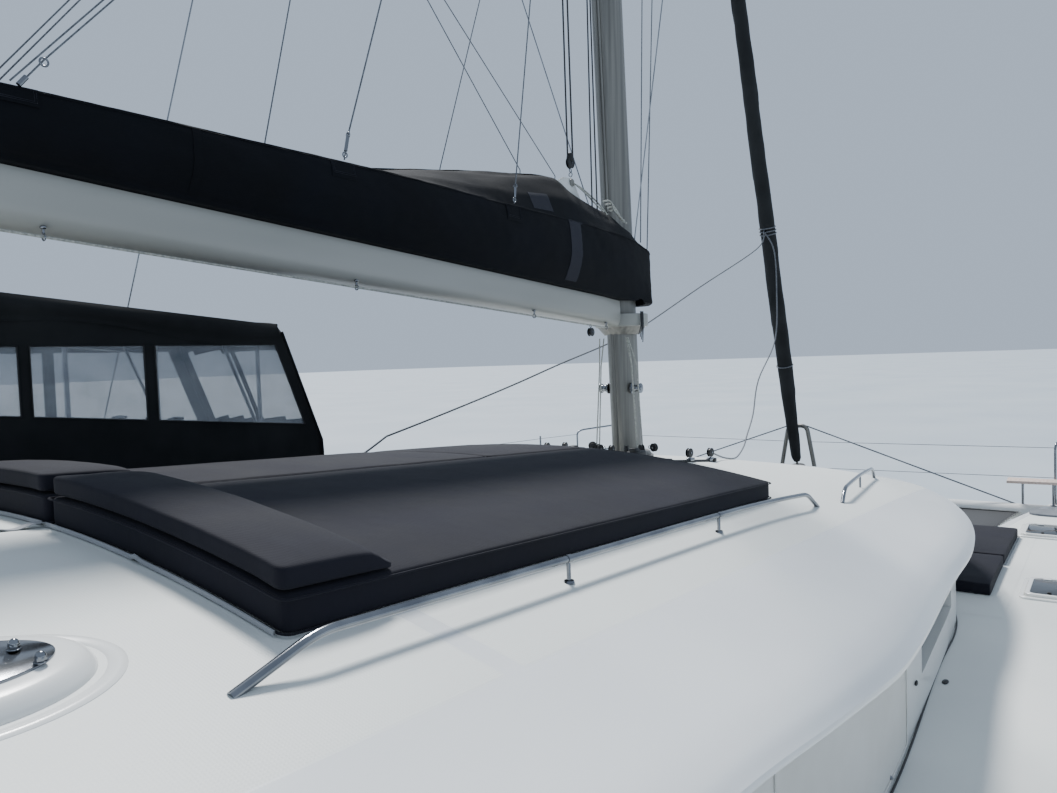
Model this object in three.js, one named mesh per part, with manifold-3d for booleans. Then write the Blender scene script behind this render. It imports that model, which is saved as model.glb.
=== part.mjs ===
// Cruising sailing catamaran, afloat, sails stowed. Millimetres, +X forward, +Y port, +Z up.
// The origin is on the centreline at the waterline, half way along the hulls.
import * as THREE from "three";
import { mergeVertices } from "three/addons/utils/BufferGeometryUtils.js";
import Module from "manifold-3d";

const wasm = await Module();
wasm.setup();

// Driving dimensions
const SEAT_GAP = 0.3;
const PORT = 1;
const STARBOARD = -1;
const SIDES = [["port", PORT], ["starboard", STARBOARD]];
const HULL_CENTRE_Y = 2930;
const DECK_Z = 1650;
const SALOON_FLOOR_Z = 800;
const BRIDGE_BOTTOM_Z = 620;
const FOREDECK_FRONT_X = 4000;
const BULKHEAD_X = -4200;
const BEAM_X = 5330;
const MAST_FOOT_X = 1065;
const MAST_FOOT_Z = 2620;
const MAST_RAKE = 0.034;
const MAST_TOP_Z = 20000;
const HOUNDS_Z = 16400;
const ROOF_CROWN_Z = 2880;
const ROOF_CROWN_X = -3430;
const ROOF_SLOPE = 0.06;
const ROOF_CAMBER = 0.0664 / 1000;
const ROOF_FLAT_HALF = 2000;
const ROOF_AFT_HALF = 2500;
const ROOF_THICKNESS = 60;
const WALL_THICKNESS = 50;
const PAD_THICKNESS = 105;
const BOLSTER_THICKNESS = 68;
const RAIL_RADIUS = 12.5;

// Finishes
const FINISHES = {
  gelcoat: [0xf2f2ee, 0.3, 0],
  antifoul: [0x26303a, 0.85, 0],
  dark_glass: [0x1a1d20, 0.08, 0],
  white_cover: [0xe6e6e0, 0.8, 0],
  navy_canvas: [0x14161f, 0.85, 0],
  navy_cushion: [0x22222e, 0.9, 0],
  stainless: [0xc9ccd0, 0.2, 1],
  anodised: [0xa9a8a0, 0.4, 0.6],
  boom_white: [0xd9dad8, 0.4, 0.2],
  netting: [0x2b2b2b, 0.9, 0],
  sailcloth: [0xdfe1e2, 0.7, 0],
  plank: [0xcdb8ac, 0.6, 0],
  bronze: [0x9a7b3e, 0.35, 1],
  black_plastic: [0x1c1c1c, 0.5, 0],
  laminate: [0x9c7b56, 0.5, 0],
};

const boat = new THREE.Group();

function finishOf(name) {
  const [color, roughness, metalness] = FINISHES[name];
  return new THREE.MeshStandardMaterial({ color, roughness, metalness });
}

// A closed three.js geometry as a solid that can be joined and cut
function solid(geometry) {
  const bare = geometry.clone();
  bare.deleteAttribute("normal");
  bare.deleteAttribute("uv");
  const merged = mergeVertices(bare, 1e-3);
  return new wasm.Manifold(new wasm.Mesh({
    numProp: 3,
    vertProperties: new Float32Array(merged.attributes.position.array),
    triVerts: new Uint32Array(merged.index.array),
  }));
}

function join(pieces) {
  return pieces.reduce((whole, piece) => whole.add(piece));
}

// After a cut, the piece that reaches lowest or highest
function lowest(piece) {
  return piece.decompose().sort((a, b) => a.boundingBox().min[2] - b.boundingBox().min[2])[0];
}

function highest(piece) {
  return piece.decompose().sort((a, b) => b.boundingBox().max[2] - a.boundingBox().max[2])[0];
}

function addPart(name, piece, finish, place = [0, 0, 0]) {
  const mesh = piece.getMesh();
  const geometry = new THREE.BufferGeometry();
  geometry.setAttribute("position", new THREE.BufferAttribute(new Float32Array(mesh.vertProperties), 3));
  geometry.setIndex(new THREE.BufferAttribute(new Uint32Array(mesh.triVerts), 1));
  geometry.computeVertexNormals();
  const node = new THREE.Mesh(geometry, finishOf(finish));
  node.name = name;
  node.position.set(...place);
  boat.add(node);
  return node;
}

const at = (x, y, z) => new THREE.Vector3(x, y, z);

function block(x0, x1, y0, y1, z0, z1) {
  const box = new THREE.BoxGeometry(x1 - x0, y1 - y0, z1 - z0);
  box.translate((x0 + x1) / 2, (y0 + y1) / 2, (z0 + z1) / 2);
  return solid(box);
}

function outlineShape(points) {
  return new THREE.Shape(points.map(([a, b]) => new THREE.Vector2(a, b)));
}

// An outline in plan, raised from z0 to z1
function plate(points, z0, z1) {
  const raised = new THREE.ExtrudeGeometry(outlineShape(points), { depth: z1 - z0, bevelEnabled: false });
  raised.translate(0, 0, z0);
  return solid(raised);
}

// A side outline of x and z, carried across the boat from y0 to y1
function acrossBoat(points, y0, y1) {
  const raised = new THREE.ExtrudeGeometry(outlineShape(points), { depth: y1 - y0, bevelEnabled: false });
  raised.rotateX(Math.PI / 2);
  raised.translate(0, y1, 0);
  return solid(raised);
}

// An end outline of y and z, carried along the boat from x0 to x1
function alongBoat(points, x0, x1) {
  const raised = new THREE.ExtrudeGeometry(outlineShape(points), { depth: x1 - x0, bevelEnabled: false });
  raised.applyMatrix4(new THREE.Matrix4().set(0, 0, 1, x0, 1, 0, 0, 0, 0, 1, 0, 0, 0, 0, 0, 1));
  return solid(raised);
}

function rod(a, b, radius, sides = 8, radiusB = radius) {
  const length = a.distanceTo(b);
  const bar = new THREE.CylinderGeometry(radiusB, radius, length, sides);
  const turn = new THREE.Quaternion().setFromUnitVectors(at(0, 1, 0), b.clone().sub(a).normalize());
  bar.applyQuaternion(turn);
  bar.translate((a.x + b.x) / 2, (a.y + b.y) / 2, (a.z + b.z) / 2);
  return solid(bar);
}

function capTriangles(ring) {
  const normal = at(0, 0, 0);
  ring.forEach((p, i) => {
    normal.add(p.clone().cross(ring[(i + 1) % ring.length]));
  });
  normal.normalize();
  const across = Math.abs(normal.z) < 0.9 ? at(0, 0, 1).cross(normal).normalize() : at(1, 0, 0);
  const up = normal.clone().cross(across);
  const flat = ring.map((p) => new THREE.Vector2(p.dot(across), p.dot(up)));
  return THREE.ShapeUtils.triangulateShape(flat, []);
}

// A skin through rings of equal point count, capped at both ends or closed on itself
function loft(rings, endless = false) {
  const count = rings[0].length;
  const triangles = [];
  const spans = endless ? rings.length : rings.length - 1;
  for (let r = 0; r < spans; r += 1) {
    const here = r * count;
    const next = ((r + 1) % rings.length) * count;
    for (let i = 0; i < count; i += 1) {
      const j = (i + 1) % count;
      triangles.push(here + i, here + j, next + j, here + i, next + j, next + i);
    }
  }
  if (!endless) {
    const last = (rings.length - 1) * count;
    capTriangles(rings[0]).forEach(([a, b, c]) => triangles.push(a, c, b));
    capTriangles(rings[rings.length - 1]).forEach(([a, b, c]) => {
      triangles.push(last + a, last + b, last + c);
    });
  }
  const points = rings.flat();
  let volume = 0;
  for (let t = 0; t < triangles.length; t += 3) {
    const [a, b, c] = [points[triangles[t]], points[triangles[t + 1]], points[triangles[t + 2]]];
    volume += a.clone().cross(b).dot(c);
  }
  if (volume < 0) {
    triangles.reverse();
  }
  const skin = new THREE.BufferGeometry();
  const numbers = new Float32Array(points.flatMap((p) => [p.x, p.y, p.z]));
  skin.setAttribute("position", new THREE.BufferAttribute(numbers, 3));
  skin.setIndex(triangles);
  return solid(skin);
}

// A round tube through points, with its rings square to the bisector at each bend
function tube(points, radius, sides = 8) {
  const rings = points.map((p, i) => {
    const back = points[Math.max(i - 1, 0)];
    const ahead = points[Math.min(i + 1, points.length - 1)];
    const along = ahead.clone().sub(back).normalize();
    const across = Math.abs(along.z) < 0.95 ? at(0, 0, 1).cross(along).normalize() : at(0, 1, 0);
    const up = along.clone().cross(across).normalize();
    const side = up.clone().cross(along).normalize();
    return Array.from({ length: sides }, (_, k) => {
      const angle = (2 * Math.PI * k) / sides;
      return p.clone()
        .addScaledVector(side, radius * Math.cos(angle))
        .addScaledVector(up, radius * Math.sin(angle));
    });
  });
  return loft(rings);
}

// Hulls: x, half width at the waterline, half width at the deck, depth of the bottom
const HULL_STATIONS = [
  [-6500, 560, 790, -110],
  [-5200, 640, 880, -330],
  [-3400, 700, 920, -520],
  [-1000, 720, 920, -600],
  [1200, 680, 905, -590],
  [2900, 560, 820, -540],
  [4300, 380, 610, -480],
  [5500, 185, 330, -400],
  [6200, 70, 140, -300],
  [6500, 22, 55, -180],
];
// Section points: height by name, share of the waterline or deck half width
const HULL_SECTION = [
  { share: 0.45, depth: 0.93 },
  { share: 0.8, depth: 0.66 },
  { share: 0.96, depth: 0.25 },
];
const TOPSIDE = [
  { z: 60, toDeck: 0 },
  { z: 700, toDeck: 0.55 },
  { z: 1150, toDeck: 1 },
  { z: DECK_Z - 50, toDeck: 1 },
];
const DECK_EDGE_RADIUS = 40;

function hullRing([x, waterHalf, deckHalf, bottom], side, grow) {
  const half = [];
  HULL_SECTION.forEach(({ share, depth }) => half.push([waterHalf * share + grow, bottom * depth - grow]));
  TOPSIDE.forEach(({ z, toDeck }) => half.push([waterHalf + (deckHalf - waterHalf) * toDeck + grow, z]));
  half.push([Math.max(deckHalf - DECK_EDGE_RADIUS, deckHalf * 0.6) + grow, DECK_Z + grow]);
  const outer = half.map(([y, z]) => at(x, side * HULL_CENTRE_Y + y, z));
  const inner = half.map(([y, z]) => at(x, side * HULL_CENTRE_Y - y, z)).reverse();
  return [at(x, side * HULL_CENTRE_Y, bottom - grow), ...outer, ...inner];
}

function hullForm(side, grow = 0) {
  return loft(HULL_STATIONS.map((station) => hullRing(station, side, grow)));
}

const KEEL = { front: 1300, back: -1700, half: 110, top: -450, bottom: -1300 };

function keelForm(side) {
  const middle = side * HULL_CENTRE_Y;
  const outline = (shrink, z) => [
    at(KEEL.front - shrink * 2, middle, z),
    at(KEEL.front - 500, middle + KEEL.half - shrink * 0.1, z),
    at(KEEL.back + 900, middle + KEEL.half * 0.8 - shrink * 0.1, z),
    at(KEEL.back + shrink, middle, z),
    at(KEEL.back + 900, middle - KEEL.half * 0.8 + shrink * 0.1, z),
    at(KEEL.front - 500, middle - KEEL.half + shrink * 0.1, z),
  ];
  return loft([outline(0, KEEL.top), outline(150, KEEL.bottom)]);
}

// Transom steps: x where the step starts, height of its tread
const TRANSOM_STEPS = [
  [BULKHEAD_X - 5, 1380],
  [-4480, 1110],
  [-5650, 850],
  [-5930, 590],
  [-6210, 330],
];
const STEP_HALF_WIDTH = 470;
const STERN_X = -6500;

function hull(side) {
  const middle = side * HULL_CENTRE_Y;
  const rakeCut = acrossBoat(
    [[-4900, DECK_Z + 100], [-4900, DECK_Z], [-5150, DECK_Z - 20], [-6400, 800], [-6700, 620], [-6900, 2000]],
    middle - 1200,
    middle + 1200,
  );
  const outer = middle + side * STEP_HALF_WIDTH;
  const inner = middle - side * 1000;
  const stepCuts = TRANSOM_STEPS.map(([x, z]) => block(
    STERN_X - 200, x, Math.min(inner, outer), Math.max(inner, outer), z, DECK_Z + 200));
  let form = hullForm(side).add(keelForm(side)).subtract(rakeCut);
  stepCuts.forEach((cut) => {
    form = form.subtract(cut);
  });
  return form;
}

// The roof dips at its front middle: where the dip starts, how fast it grows, side fall it is taken from
const ROOF_DIP = { startX: -270, rate: 19 / 1e6, fall: 245 };

// Roof surface
function roofZ(x, y) {
  const dip = ROOF_DIP.rate * Math.max(x - ROOF_DIP.startX, 0) ** 2;
  const crown = ROOF_CROWN_Z - ROOF_SLOPE * (x - ROOF_CROWN_X) - dip;
  const reach = Math.abs(y);
  const inner = Math.min(reach, ROOF_FLAT_HALF);
  const outer = Math.max(reach - ROOF_FLAT_HALF, 0);
  const fall = ROOF_CAMBER * inner * inner + 2 * ROOF_CAMBER * ROOF_FLAT_HALF * outer;
  return crown - fall * (1 - dip / ROOF_DIP.fall);
}

const ROOF_FRONT = { startX: 400, reach: 2900, half: 2500, power: 2.5, steps: 9 };
const ROOF_AFT = { startX: -5300, reach: 600, power: 3.5, steps: 3 };
// Side edge of the roof: x, half width
const ROOF_SIDE = [
  [BULKHEAD_X, ROOF_AFT_HALF],
  [-2900, 2512],
  [-2200, 2548],
  [-1500, 2574],
];
// Shoulder of the roof: distance in from the edge, share of the lip's drop
const SHOULDER_WIDTH = 580;
const SHOULDER = [
  [0, 1],
  [40, 0.64],
  [130, 0.32],
  [290, 0.17],
  [SHOULDER_WIDTH, 0],
];
// The crown's rings: share of the flat's half width
const CROWN_SHARES = [0.62, 0.3, 0.02];
// How far the saloon walls stand in from the roof's edge, and how much more at the front
const WALL_INSET = 80;
const FRONT_WALL_INSET = 820;

function lipDrop(x) {
  const grown = Math.min(Math.max((x + 2900) / 1400, 0), 1);
  const shrunk = Math.min(Math.max(x / 2000, 0), 1);
  return 72 + 66 * grown - 50 * shrunk;
}

function roofHalf(x) {
  const table = [...ROOF_SIDE, [ROOF_FRONT.startX, ROOF_FRONT.half]];
  if (x <= table[0][0]) {
    return table[0][1];
  }
  for (let i = 1; i < table.length; i += 1) {
    if (x < table[i][0]) {
      const [xa, ya] = table[i - 1];
      const [xb, yb] = table[i];
      return ya + ((yb - ya) * (x - xa)) / (xb - xa);
    }
  }
  return ROOF_FRONT.half;
}

// One loop round the roof at a distance in from its edge, which may be larger at the front
function roofRing(inset, heightOf, frontInset = inset) {
  const half = [];
  for (let i = 0; i <= ROOF_AFT.steps; i += 1) {
    const angle = (Math.PI / 2) * (i / ROOF_AFT.steps);
    const power = 2 / ROOF_AFT.power;
    half.push([
      ROOF_AFT.startX - (ROOF_AFT.reach - inset) * Math.cos(angle) ** power,
      (ROOF_AFT_HALF - inset) * Math.sin(angle) ** power,
    ]);
  }
  ROOF_SIDE.forEach(([x, width]) => half.push([x, width - inset]));
  for (let i = 0; i <= ROOF_FRONT.steps; i += 1) {
    const angle = (Math.PI / 2) * (i / ROOF_FRONT.steps);
    const power = 2 / ROOF_FRONT.power;
    half.push([
      ROOF_FRONT.startX + (ROOF_FRONT.reach - frontInset) * Math.sin(angle) ** power,
      (ROOF_FRONT.half - inset) * Math.cos(angle) ** power,
    ]);
  }
  const port = half.map(([x, y]) => [x, Math.abs(y) < 1 ? 0 : y]);
  const starboard = port.slice(1, -1).reverse().map(([x, y]) => [x, -y]);
  return [...port, ...starboard].map(([x, y]) => at(x, y, heightOf(x, y)));
}

const FIRST_WALL_POINT = ROOF_AFT.steps + 1;

const lipZ = (x, y) => roofZ(x, y) - lipDrop(x);
// Underside of the overhang, level round the front
const soffitZ = (x) => {
  const back = Math.min(x, ROOF_FRONT.startX);
  return roofZ(back, roofHalf(back)) - lipDrop(back) + 20;
};

// The last flat ring, narrowed towards the centreline
function narrowed(ring, share, heightOf) {
  return ring.map((p) => at(p.x, p.y * share, heightOf(p.x, p.y * share)));
}

function coachroof() {
  const top = SHOULDER.map(([inset, share]) => roofRing(inset, (x, y) => roofZ(x, y) - lipDrop(x) * share));
  const flat = top[top.length - 1];
  const crown = CROWN_SHARES.map((share) => narrowed(flat, share, roofZ));
  const ceilingZ = (x, y) => roofZ(x, y) - ROOF_THICKNESS;
  const ceiling = roofRing(SHOULDER_WIDTH, ceilingZ, SHOULDER_WIDTH + FRONT_WALL_INSET);
  const outerSoffit = WALL_INSET - 60;
  const innerSoffit = WALL_INSET + WALL_THICKNESS + 40;
  const under = [
    roofRing(20, (x, y) => lipZ(x, y) - 30),
    roofRing(outerSoffit, (x) => soffitZ(x), outerSoffit + FRONT_WALL_INSET),
    roofRing(innerSoffit, (x) => soffitZ(x), innerSoffit + FRONT_WALL_INSET),
    ceiling,
    ...CROWN_SHARES.map((share) => narrowed(ceiling, share, ceilingZ)),
  ];
  return loft([...crown.reverse(), ...top.reverse(), ...under]);
}

const roof = coachroof();

// What stands on the roof, fitted to its surface
function onRoof(piece) {
  return highest(piece.subtract(roof.translate([0, 0, SEAT_GAP])));
}

// Saloon walls: a band that follows the roof's edge from the bulkhead round the front
function wallBand(inset, thickness, bottomOf, topOf) {
  const outer = roofRing(inset, () => 0, inset + FRONT_WALL_INSET);
  const inner = roofRing(inset + thickness, () => 0, inset + thickness + FRONT_WALL_INSET);
  const total = outer.length;
  const rings = [];
  for (let i = FIRST_WALL_POINT; i <= total - FIRST_WALL_POINT; i += 1) {
    const o = outer[i];
    const n = inner[i];
    rings.push([
      at(o.x, o.y, bottomOf(o.x)),
      at(o.x, o.y, topOf(o.x)),
      at(n.x, n.y, topOf(n.x)),
      at(n.x, n.y, bottomOf(n.x)),
    ]);
  }
  return loft(rings);
}

const DOOR = { halfOpening: 650, top: 2680, leaf: 1320, thickness: 40 };

function bulkhead() {
  const topAt = (y) => roofZ(BULKHEAD_X + WALL_THICKNESS, y) - ROOF_THICKNESS - SEAT_GAP;
  const crownY = [1, ...CROWN_SHARES].map((share) => share * (ROOF_AFT_HALF - SHOULDER_WIDTH));
  const crownTop = [...crownY, ...crownY.map((y) => -y).reverse()].map((y) => [y, topAt(y)]);
  const soffit = soffitZ(BULKHEAD_X + WALL_THICKNESS) - SEAT_GAP;
  const soffitHalf = ROOF_AFT_HALF - WALL_INSET - WALL_THICKNESS - 40;
  const wallHalf = ROOF_AFT_HALF - WALL_INSET - 10;
  const outline = [
    [-1980, SALOON_FLOOR_Z + SEAT_GAP],
    [1980, SALOON_FLOOR_Z + SEAT_GAP],
    [1980, DECK_Z + SEAT_GAP],
    [wallHalf, DECK_Z + SEAT_GAP],
    [wallHalf, soffit],
    [soffitHalf, soffit],
    ...crownTop,
    [-soffitHalf, soffit],
    [-wallHalf, soffit],
    [-wallHalf, DECK_Z + SEAT_GAP],
    [-1980, DECK_Z + SEAT_GAP],
  ];
  const doorway = block(
    BULKHEAD_X - 100, BULKHEAD_X + 200, -DOOR.halfOpening, DOOR.halfOpening, SALOON_FLOOR_Z + 40, DOOR.top);
  return alongBoat(outline, BULKHEAD_X, BULKHEAD_X + WALL_THICKNESS).subtract(doorway);
}

// Windows: low x, high x, low z, high z of each side opening
const SIDE_WINDOWS = [
  [-3850, -2600, 1830, 2150],
  [-2450, -1200, 1830, 2100],
  [-550, 600, 1830, 2010],
];
// Front windows: middle y and half width of each opening
const FRONT_WINDOWS = [-1180, 0, 1180];
const FRONT_WINDOW_HALF = 500;

function saloonWalls() {
  let walls = wallBand(WALL_INSET, WALL_THICKNESS, () => DECK_Z + SEAT_GAP, (x) => soffitZ(x) - SEAT_GAP);
  SIDE_WINDOWS.forEach(([x0, x1, z0, z1]) => {
    walls = walls.subtract(block(x0, x1, -2700, 2700, z0, z1));
  });
  FRONT_WINDOWS.forEach((y) => {
    walls = walls.subtract(block(1500, 3000, y - FRONT_WINDOW_HALF, y + FRONT_WINDOW_HALF, 1780, 1960));
  });
  return walls.add(bulkhead());
}

function saloonWindows() {
  return wallBand(WALL_INSET + WALL_THICKNESS + SEAT_GAP, 8, () => 1740, (x) => soffitZ(x) - 12)
    .subtract(block(-5000, BULKHEAD_X + WALL_THICKNESS + 5, -3000, 3000, 0, 4000));
}

// Fitted covers over the side windows
function windowCover(side) {
  const band = wallBand(WALL_INSET - 5 - SEAT_GAP, 5, () => 1700, (x) => soffitZ(x) - 12);
  const y0 = side > 0 ? 1500 : -3000;
  const y1 = side > 0 ? 3000 : -1500;
  return band.intersect(block(-4150, -1050, y0, y1, 0, 4000));
}

// Bridge deck, saloon floor, cockpit floor and foredeck
const COCKPIT_AFT_X = -5900;
const BRIDGE_HALF = 2400;

function bridgeDeck() {
  const outline = [
    [COCKPIT_AFT_X, BRIDGE_BOTTOM_Z + 60],
    [-5500, BRIDGE_BOTTOM_Z],
    [2500, BRIDGE_BOTTOM_Z],
    [3500, 900],
    [FOREDECK_FRONT_X, 1320],
    [FOREDECK_FRONT_X, DECK_Z],
    [1700, DECK_Z],
    [1700, SALOON_FLOOR_Z],
    [COCKPIT_AFT_X, SALOON_FLOOR_Z],
  ];
  const deck = acrossBoat(outline, -BRIDGE_HALF, BRIDGE_HALF);
  return deck.subtract(hullForm(PORT, SEAT_GAP)).subtract(hullForm(STARBOARD, SEAT_GAP));
}

const COAMING_Z = 1560;

// Cockpit mouldings: side coamings with seats, aft bench and table
function cockpitFurniture() {
  const floor = SALOON_FLOOR_Z + SEAT_GAP;
  const seatTop = 1230;
  return join([
    block(COCKPIT_AFT_X, BULKHEAD_X - 60, -1950, 1950, floor, floor + 20),
    block(-5850, -5250, -1300, 1300, floor, seatTop),
    block(COCKPIT_AFT_X, -5780, -1950, 1950, floor, COAMING_Z),
    block(-5300, -4300, 1250, 1950, floor, seatTop),
    block(-4780, -4620, 500, 620, floor, 1440),
    block(-5200, -4400, 120, 1050, 1430, 1470),
  ]);
}

function saloonFurniture() {
  const floor = SALOON_FLOOR_Z + SEAT_GAP;
  return join([
    block(-3900, 1400, -1960, -1330, floor, 1640),
    block(-1500, 1250, 1350, 1960, floor, 1280),
    block(900, 1500, -1400, 1860, floor, 1280),
    block(-300, 300, 380, 520, floor, 1500),
    block(-300, 1000, 440, 470, floor, floor + 30),
    block(-700, 700, 50, 1000, 1490, 1530),
  ]);
}

// Posts that carry the aft end of the roof
function roofPost(side) {
  const y = side * 1860;
  const foot = COAMING_Z + SEAT_GAP;
  const post = rod(at(-5840, y, foot), at(-5700, y, 2800), 30, 10)
    .add(block(-5890, -5790, y - 50, y + 50, foot, foot + 14));
  const belowFoot = block(-5950, -5700, y - 90, y + 90, 1400, foot);
  return lowest(post.subtract(roof.translate([0, 0, -SEAT_GAP])).subtract(belowFoot));
}

// Sliding door leaf, on the cockpit side of the bulkhead
function slidingDoor() {
  const half = DOOR.leaf / 2;
  const z0 = SALOON_FLOOR_Z + 50;
  const x1 = BULKHEAD_X - SEAT_GAP;
  const leaf = block(x1 - DOOR.thickness, x1, -half, half, z0, DOOR.top + 20);
  const pane = block(x1 - 15, x1 + 5, -half + 90, half - 90, z0 + 90, DOOR.top - 70);
  const handle = block(x1 - DOOR.thickness - 35, x1 - DOOR.thickness, half - 60, half - 40, 1650, 1950);
  return leaf.subtract(pane).add(handle);
}

// Helm station set into the port side of the roof
const HELM = { x0: -4150, x1: -2000, y0: 1040, y1: 2160, floor: 1800, wall: 45 };

function helmWell(grow) {
  return block(HELM.x0 - grow, HELM.x1 + grow, HELM.y0 - grow, HELM.y1 + grow, HELM.floor - 60, 3300);
}

function helmPod() {
  const { x0, x1, y0, y1, floor, wall } = HELM;
  const coaming = acrossBoat([[x0, floor - 50], [x1, floor - 50], [x1, 2860], [x0, 2960]], y0, y1)
    .subtract(acrossBoat([[x0 + wall, floor], [x1 - wall, floor], [x1 - wall, 3100], [x0 + wall, 3100]],
      y0 + wall, y1 - wall));
  const entry = block(x0 - 100, x0 + 650, y1 - 200, y1 + 100, 2060, 3200);
  const console = acrossBoat([
    [x1 - 430, floor + 5], [x1 - 10, floor + 5], [x1 - 10, 2990], [x1 - 120, 3030], [x1 - 300, 2960],
    [x1 - 340, 2700],
  ], y0 + 10, y1 - 10);
  const bench = block(x0 + 10, x0 + 520, y0 + 10, y1 - 320, floor + 5, 2330);
  return coaming.subtract(entry).add(console).add(bench);
}

const WHEEL = { x: HELM.x1 - 430, y: 1600, z: 2640, radius: 370, rim: 15 };

function steeringWheel() {
  const rim = new THREE.TorusGeometry(WHEEL.radius, WHEEL.rim, 6, 24);
  const spokes = [0, 1, 2, 3, 4].map((i) => {
    const angle = (2 * Math.PI * i) / 5;
    return rod(at(0, 0, 0), at(WHEEL.radius * Math.cos(angle), WHEEL.radius * Math.sin(angle), 0), 8, 6);
  });
  const hub = rod(at(0, 0, -25), at(0, 0, 45), 45, 10);
  const shaft = rod(at(0, 0, -131.8), at(0, 0, 0), 20, 10);
  return join([solid(rim), ...spokes, hub, shaft]);
}

function helmSeat() {
  const { x0, y0, y1 } = HELM;
  const z0 = 2330 + SEAT_GAP;
  return block(x0 + 120, x0 + 520, y0 + 60, y1 - 340, z0, 2430)
    .add(block(x0 + 60, x0 + 150, y0 + 60, y1 - 340, z0, 2780));
}

// Canopy over the helm: windscreen, starboard and port sides and a crowned top
const CANOPY = {
  footX: -1200, topX: -1500, aftX: -4350, y0: 1000, y1: 2220, frontZ: 3662, rise: 0.086, crown: 35,
};
const CANOPY_SKIN = 12;

const canopyTopZ = (x) => CANOPY.frontZ + CANOPY.rise * (CANOPY.topX - x);

function canopyRing(x, inset, footZ) {
  const y0 = CANOPY.y0 + inset;
  const y1 = CANOPY.y1 - inset;
  const top = canopyTopZ(x) - inset;
  const middle = (y0 + y1) / 2;
  return [
    at(x, y0, footZ), at(x, y0, top - 60), at(x, y0 + 50, top - 10), at(x, middle, top + CANOPY.crown),
    at(x, y1 - 50, top - 10), at(x, y1, top - 60), at(x, y1, footZ),
  ];
}

function canopy() {
  const outer = loft([canopyRing(CANOPY.aftX, 0, 2500), canopyRing(-1200, 0, 2500)]);
  const inner = loft([
    canopyRing(CANOPY.aftX - 200, CANOPY_SKIN, 2300),
    canopyRing(-1100, CANOPY_SKIN, 2300),
  ]);
  const screenFace = (shift) => acrossBoat([
    [CANOPY.footX - shift, 2300], [CANOPY.footX - shift, 2890], [CANOPY.topX - shift, CANOPY.frontZ + 5],
    [CANOPY.topX - shift + 60, 4200], [0, 4200], [0, 2300],
  ], 500, 2800);
  const footCut = acrossBoat([
    [-5000, 2000], [-500, 2000], [-500, roofZ(-500, 2300) - 30], [-5000, roofZ(-5000, 2300) - 30],
  ], 500, 2800);
  const sideOpening = acrossBoat([
    [-5000, 2000], [-3500, 2000], [-3450, canopyTopZ(-3450) - 170], [-5000, canopyTopZ(-5000) - 170],
  ], 1500, 2900);
  const hollow = inner.subtract(screenFace(CANOPY_SKIN));
  return onRoof(outer.subtract(hollow).subtract(screenFace(0)).subtract(footCut).subtract(sideOpening));
}

// Tube hoops that carry the canopy, joined by fore and aft bars
const HOOP_X = [-1640, -2750, -4250];

function canopyFrame() {
  const y0 = CANOPY.y0 + 26;
  const y1 = CANOPY.y1 - 26;
  const hoops = HOOP_X.map((x) => {
    const top = canopyTopZ(x) - 45;
    const foot = roofZ(x, CANOPY.y0) - 25;
    const outerFoot = roofZ(x, CANOPY.y1) - 40;
    return tube([
      at(x, y0, foot), at(x, y0, top - 110), at(x, y0 + 70, top - 20), at(x, (y0 + y1) / 2, top + 8),
      at(x, y1 - 70, top - 20), at(x, y1, top - 110), at(x, y1, outerFoot),
    ], RAIL_RADIUS);
  });
  const bars = [y0 + 4, y1 - 4].map((y) => rod(
    at(HOOP_X[0], y, canopyTopZ(HOOP_X[0]) - 165),
    at(HOOP_X[2], y, canopyTopZ(HOOP_X[2]) - 165), 10, 6));
  return onRoof(join([...hoops, ...bars]));
}

// Pads that lie on the roof: node, low x, high x, low y, high y, height above the roof
const PADS = [
  ["sunpad_starboard", -3435, -40, -1585, -325, 0],
  ["sunpad_centre", -3435, -1090, -319, 960, 0],
  ["sunpad_forward", -1084, -40, -319, 1600, 0],
  ["bolster_starboard", -3435, -3035, -1585, -335, PAD_THICKNESS],
  ["bolster_centre", -3435, -3035, -309, 960, PAD_THICKNESS],
];

function pad(x0, x1, y0, y1, lift, thickness) {
  const steps = 5;
  const ring = (x) => {
    const low = [];
    const high = [];
    for (let i = 0; i <= steps; i += 1) {
      const y = y0 + ((y1 - y0) * i) / steps;
      low.push(at(x, y, roofZ(x, y) + lift - 20));
      high.push(at(x, y, roofZ(x, y) + lift + thickness));
    }
    return [...low, ...high.reverse()];
  };
  return loft([ring(x0), ring(x1)]);
}

function bolsterOn(lower, row) {
  const [, x0, x1, y0, y1, lift] = row;
  return highest(pad(x0, x1, y0, y1, lift, BOLSTER_THICKNESS).subtract(lower.translate([0, 0, SEAT_GAP])));
}

// Roof handrails: one tube on posts, bending outboard at the front
const RAIL_UPPER = 80;

function roofHandrail(side) {
  const ends = { aft: side < 0 ? -3690 : -1060, forward: 165, reach: 330 };
  const railY = (x) => 1720 + 60 * Math.max((x + 1100) / 1250, 0) ** 2;
  const point = (x, lift) => at(x, side * railY(x), roofZ(x, railY(x)) + lift);
  const postsX = side < 0 ? [-2400, -1150] : [-450];
  const topRail = tube([
    point(ends.aft, -25),
    point(ends.aft + ends.reach * 0.55, RAIL_UPPER * 0.86),
    point(ends.aft + ends.reach * 0.8, RAIL_UPPER),
    ...postsX.map((x) => point(x, RAIL_UPPER)),
    point(ends.forward - ends.reach * 0.6, RAIL_UPPER),
    point(ends.forward - ends.reach * 0.35, RAIL_UPPER * 0.86),
    point(ends.forward, -25),
  ], RAIL_RADIUS);
  const posts = postsX.map((x) => rod(point(x, -25), point(x, RAIL_UPPER), 9, 6));
  return onRoof(join([topRail, ...posts]));
}

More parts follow.
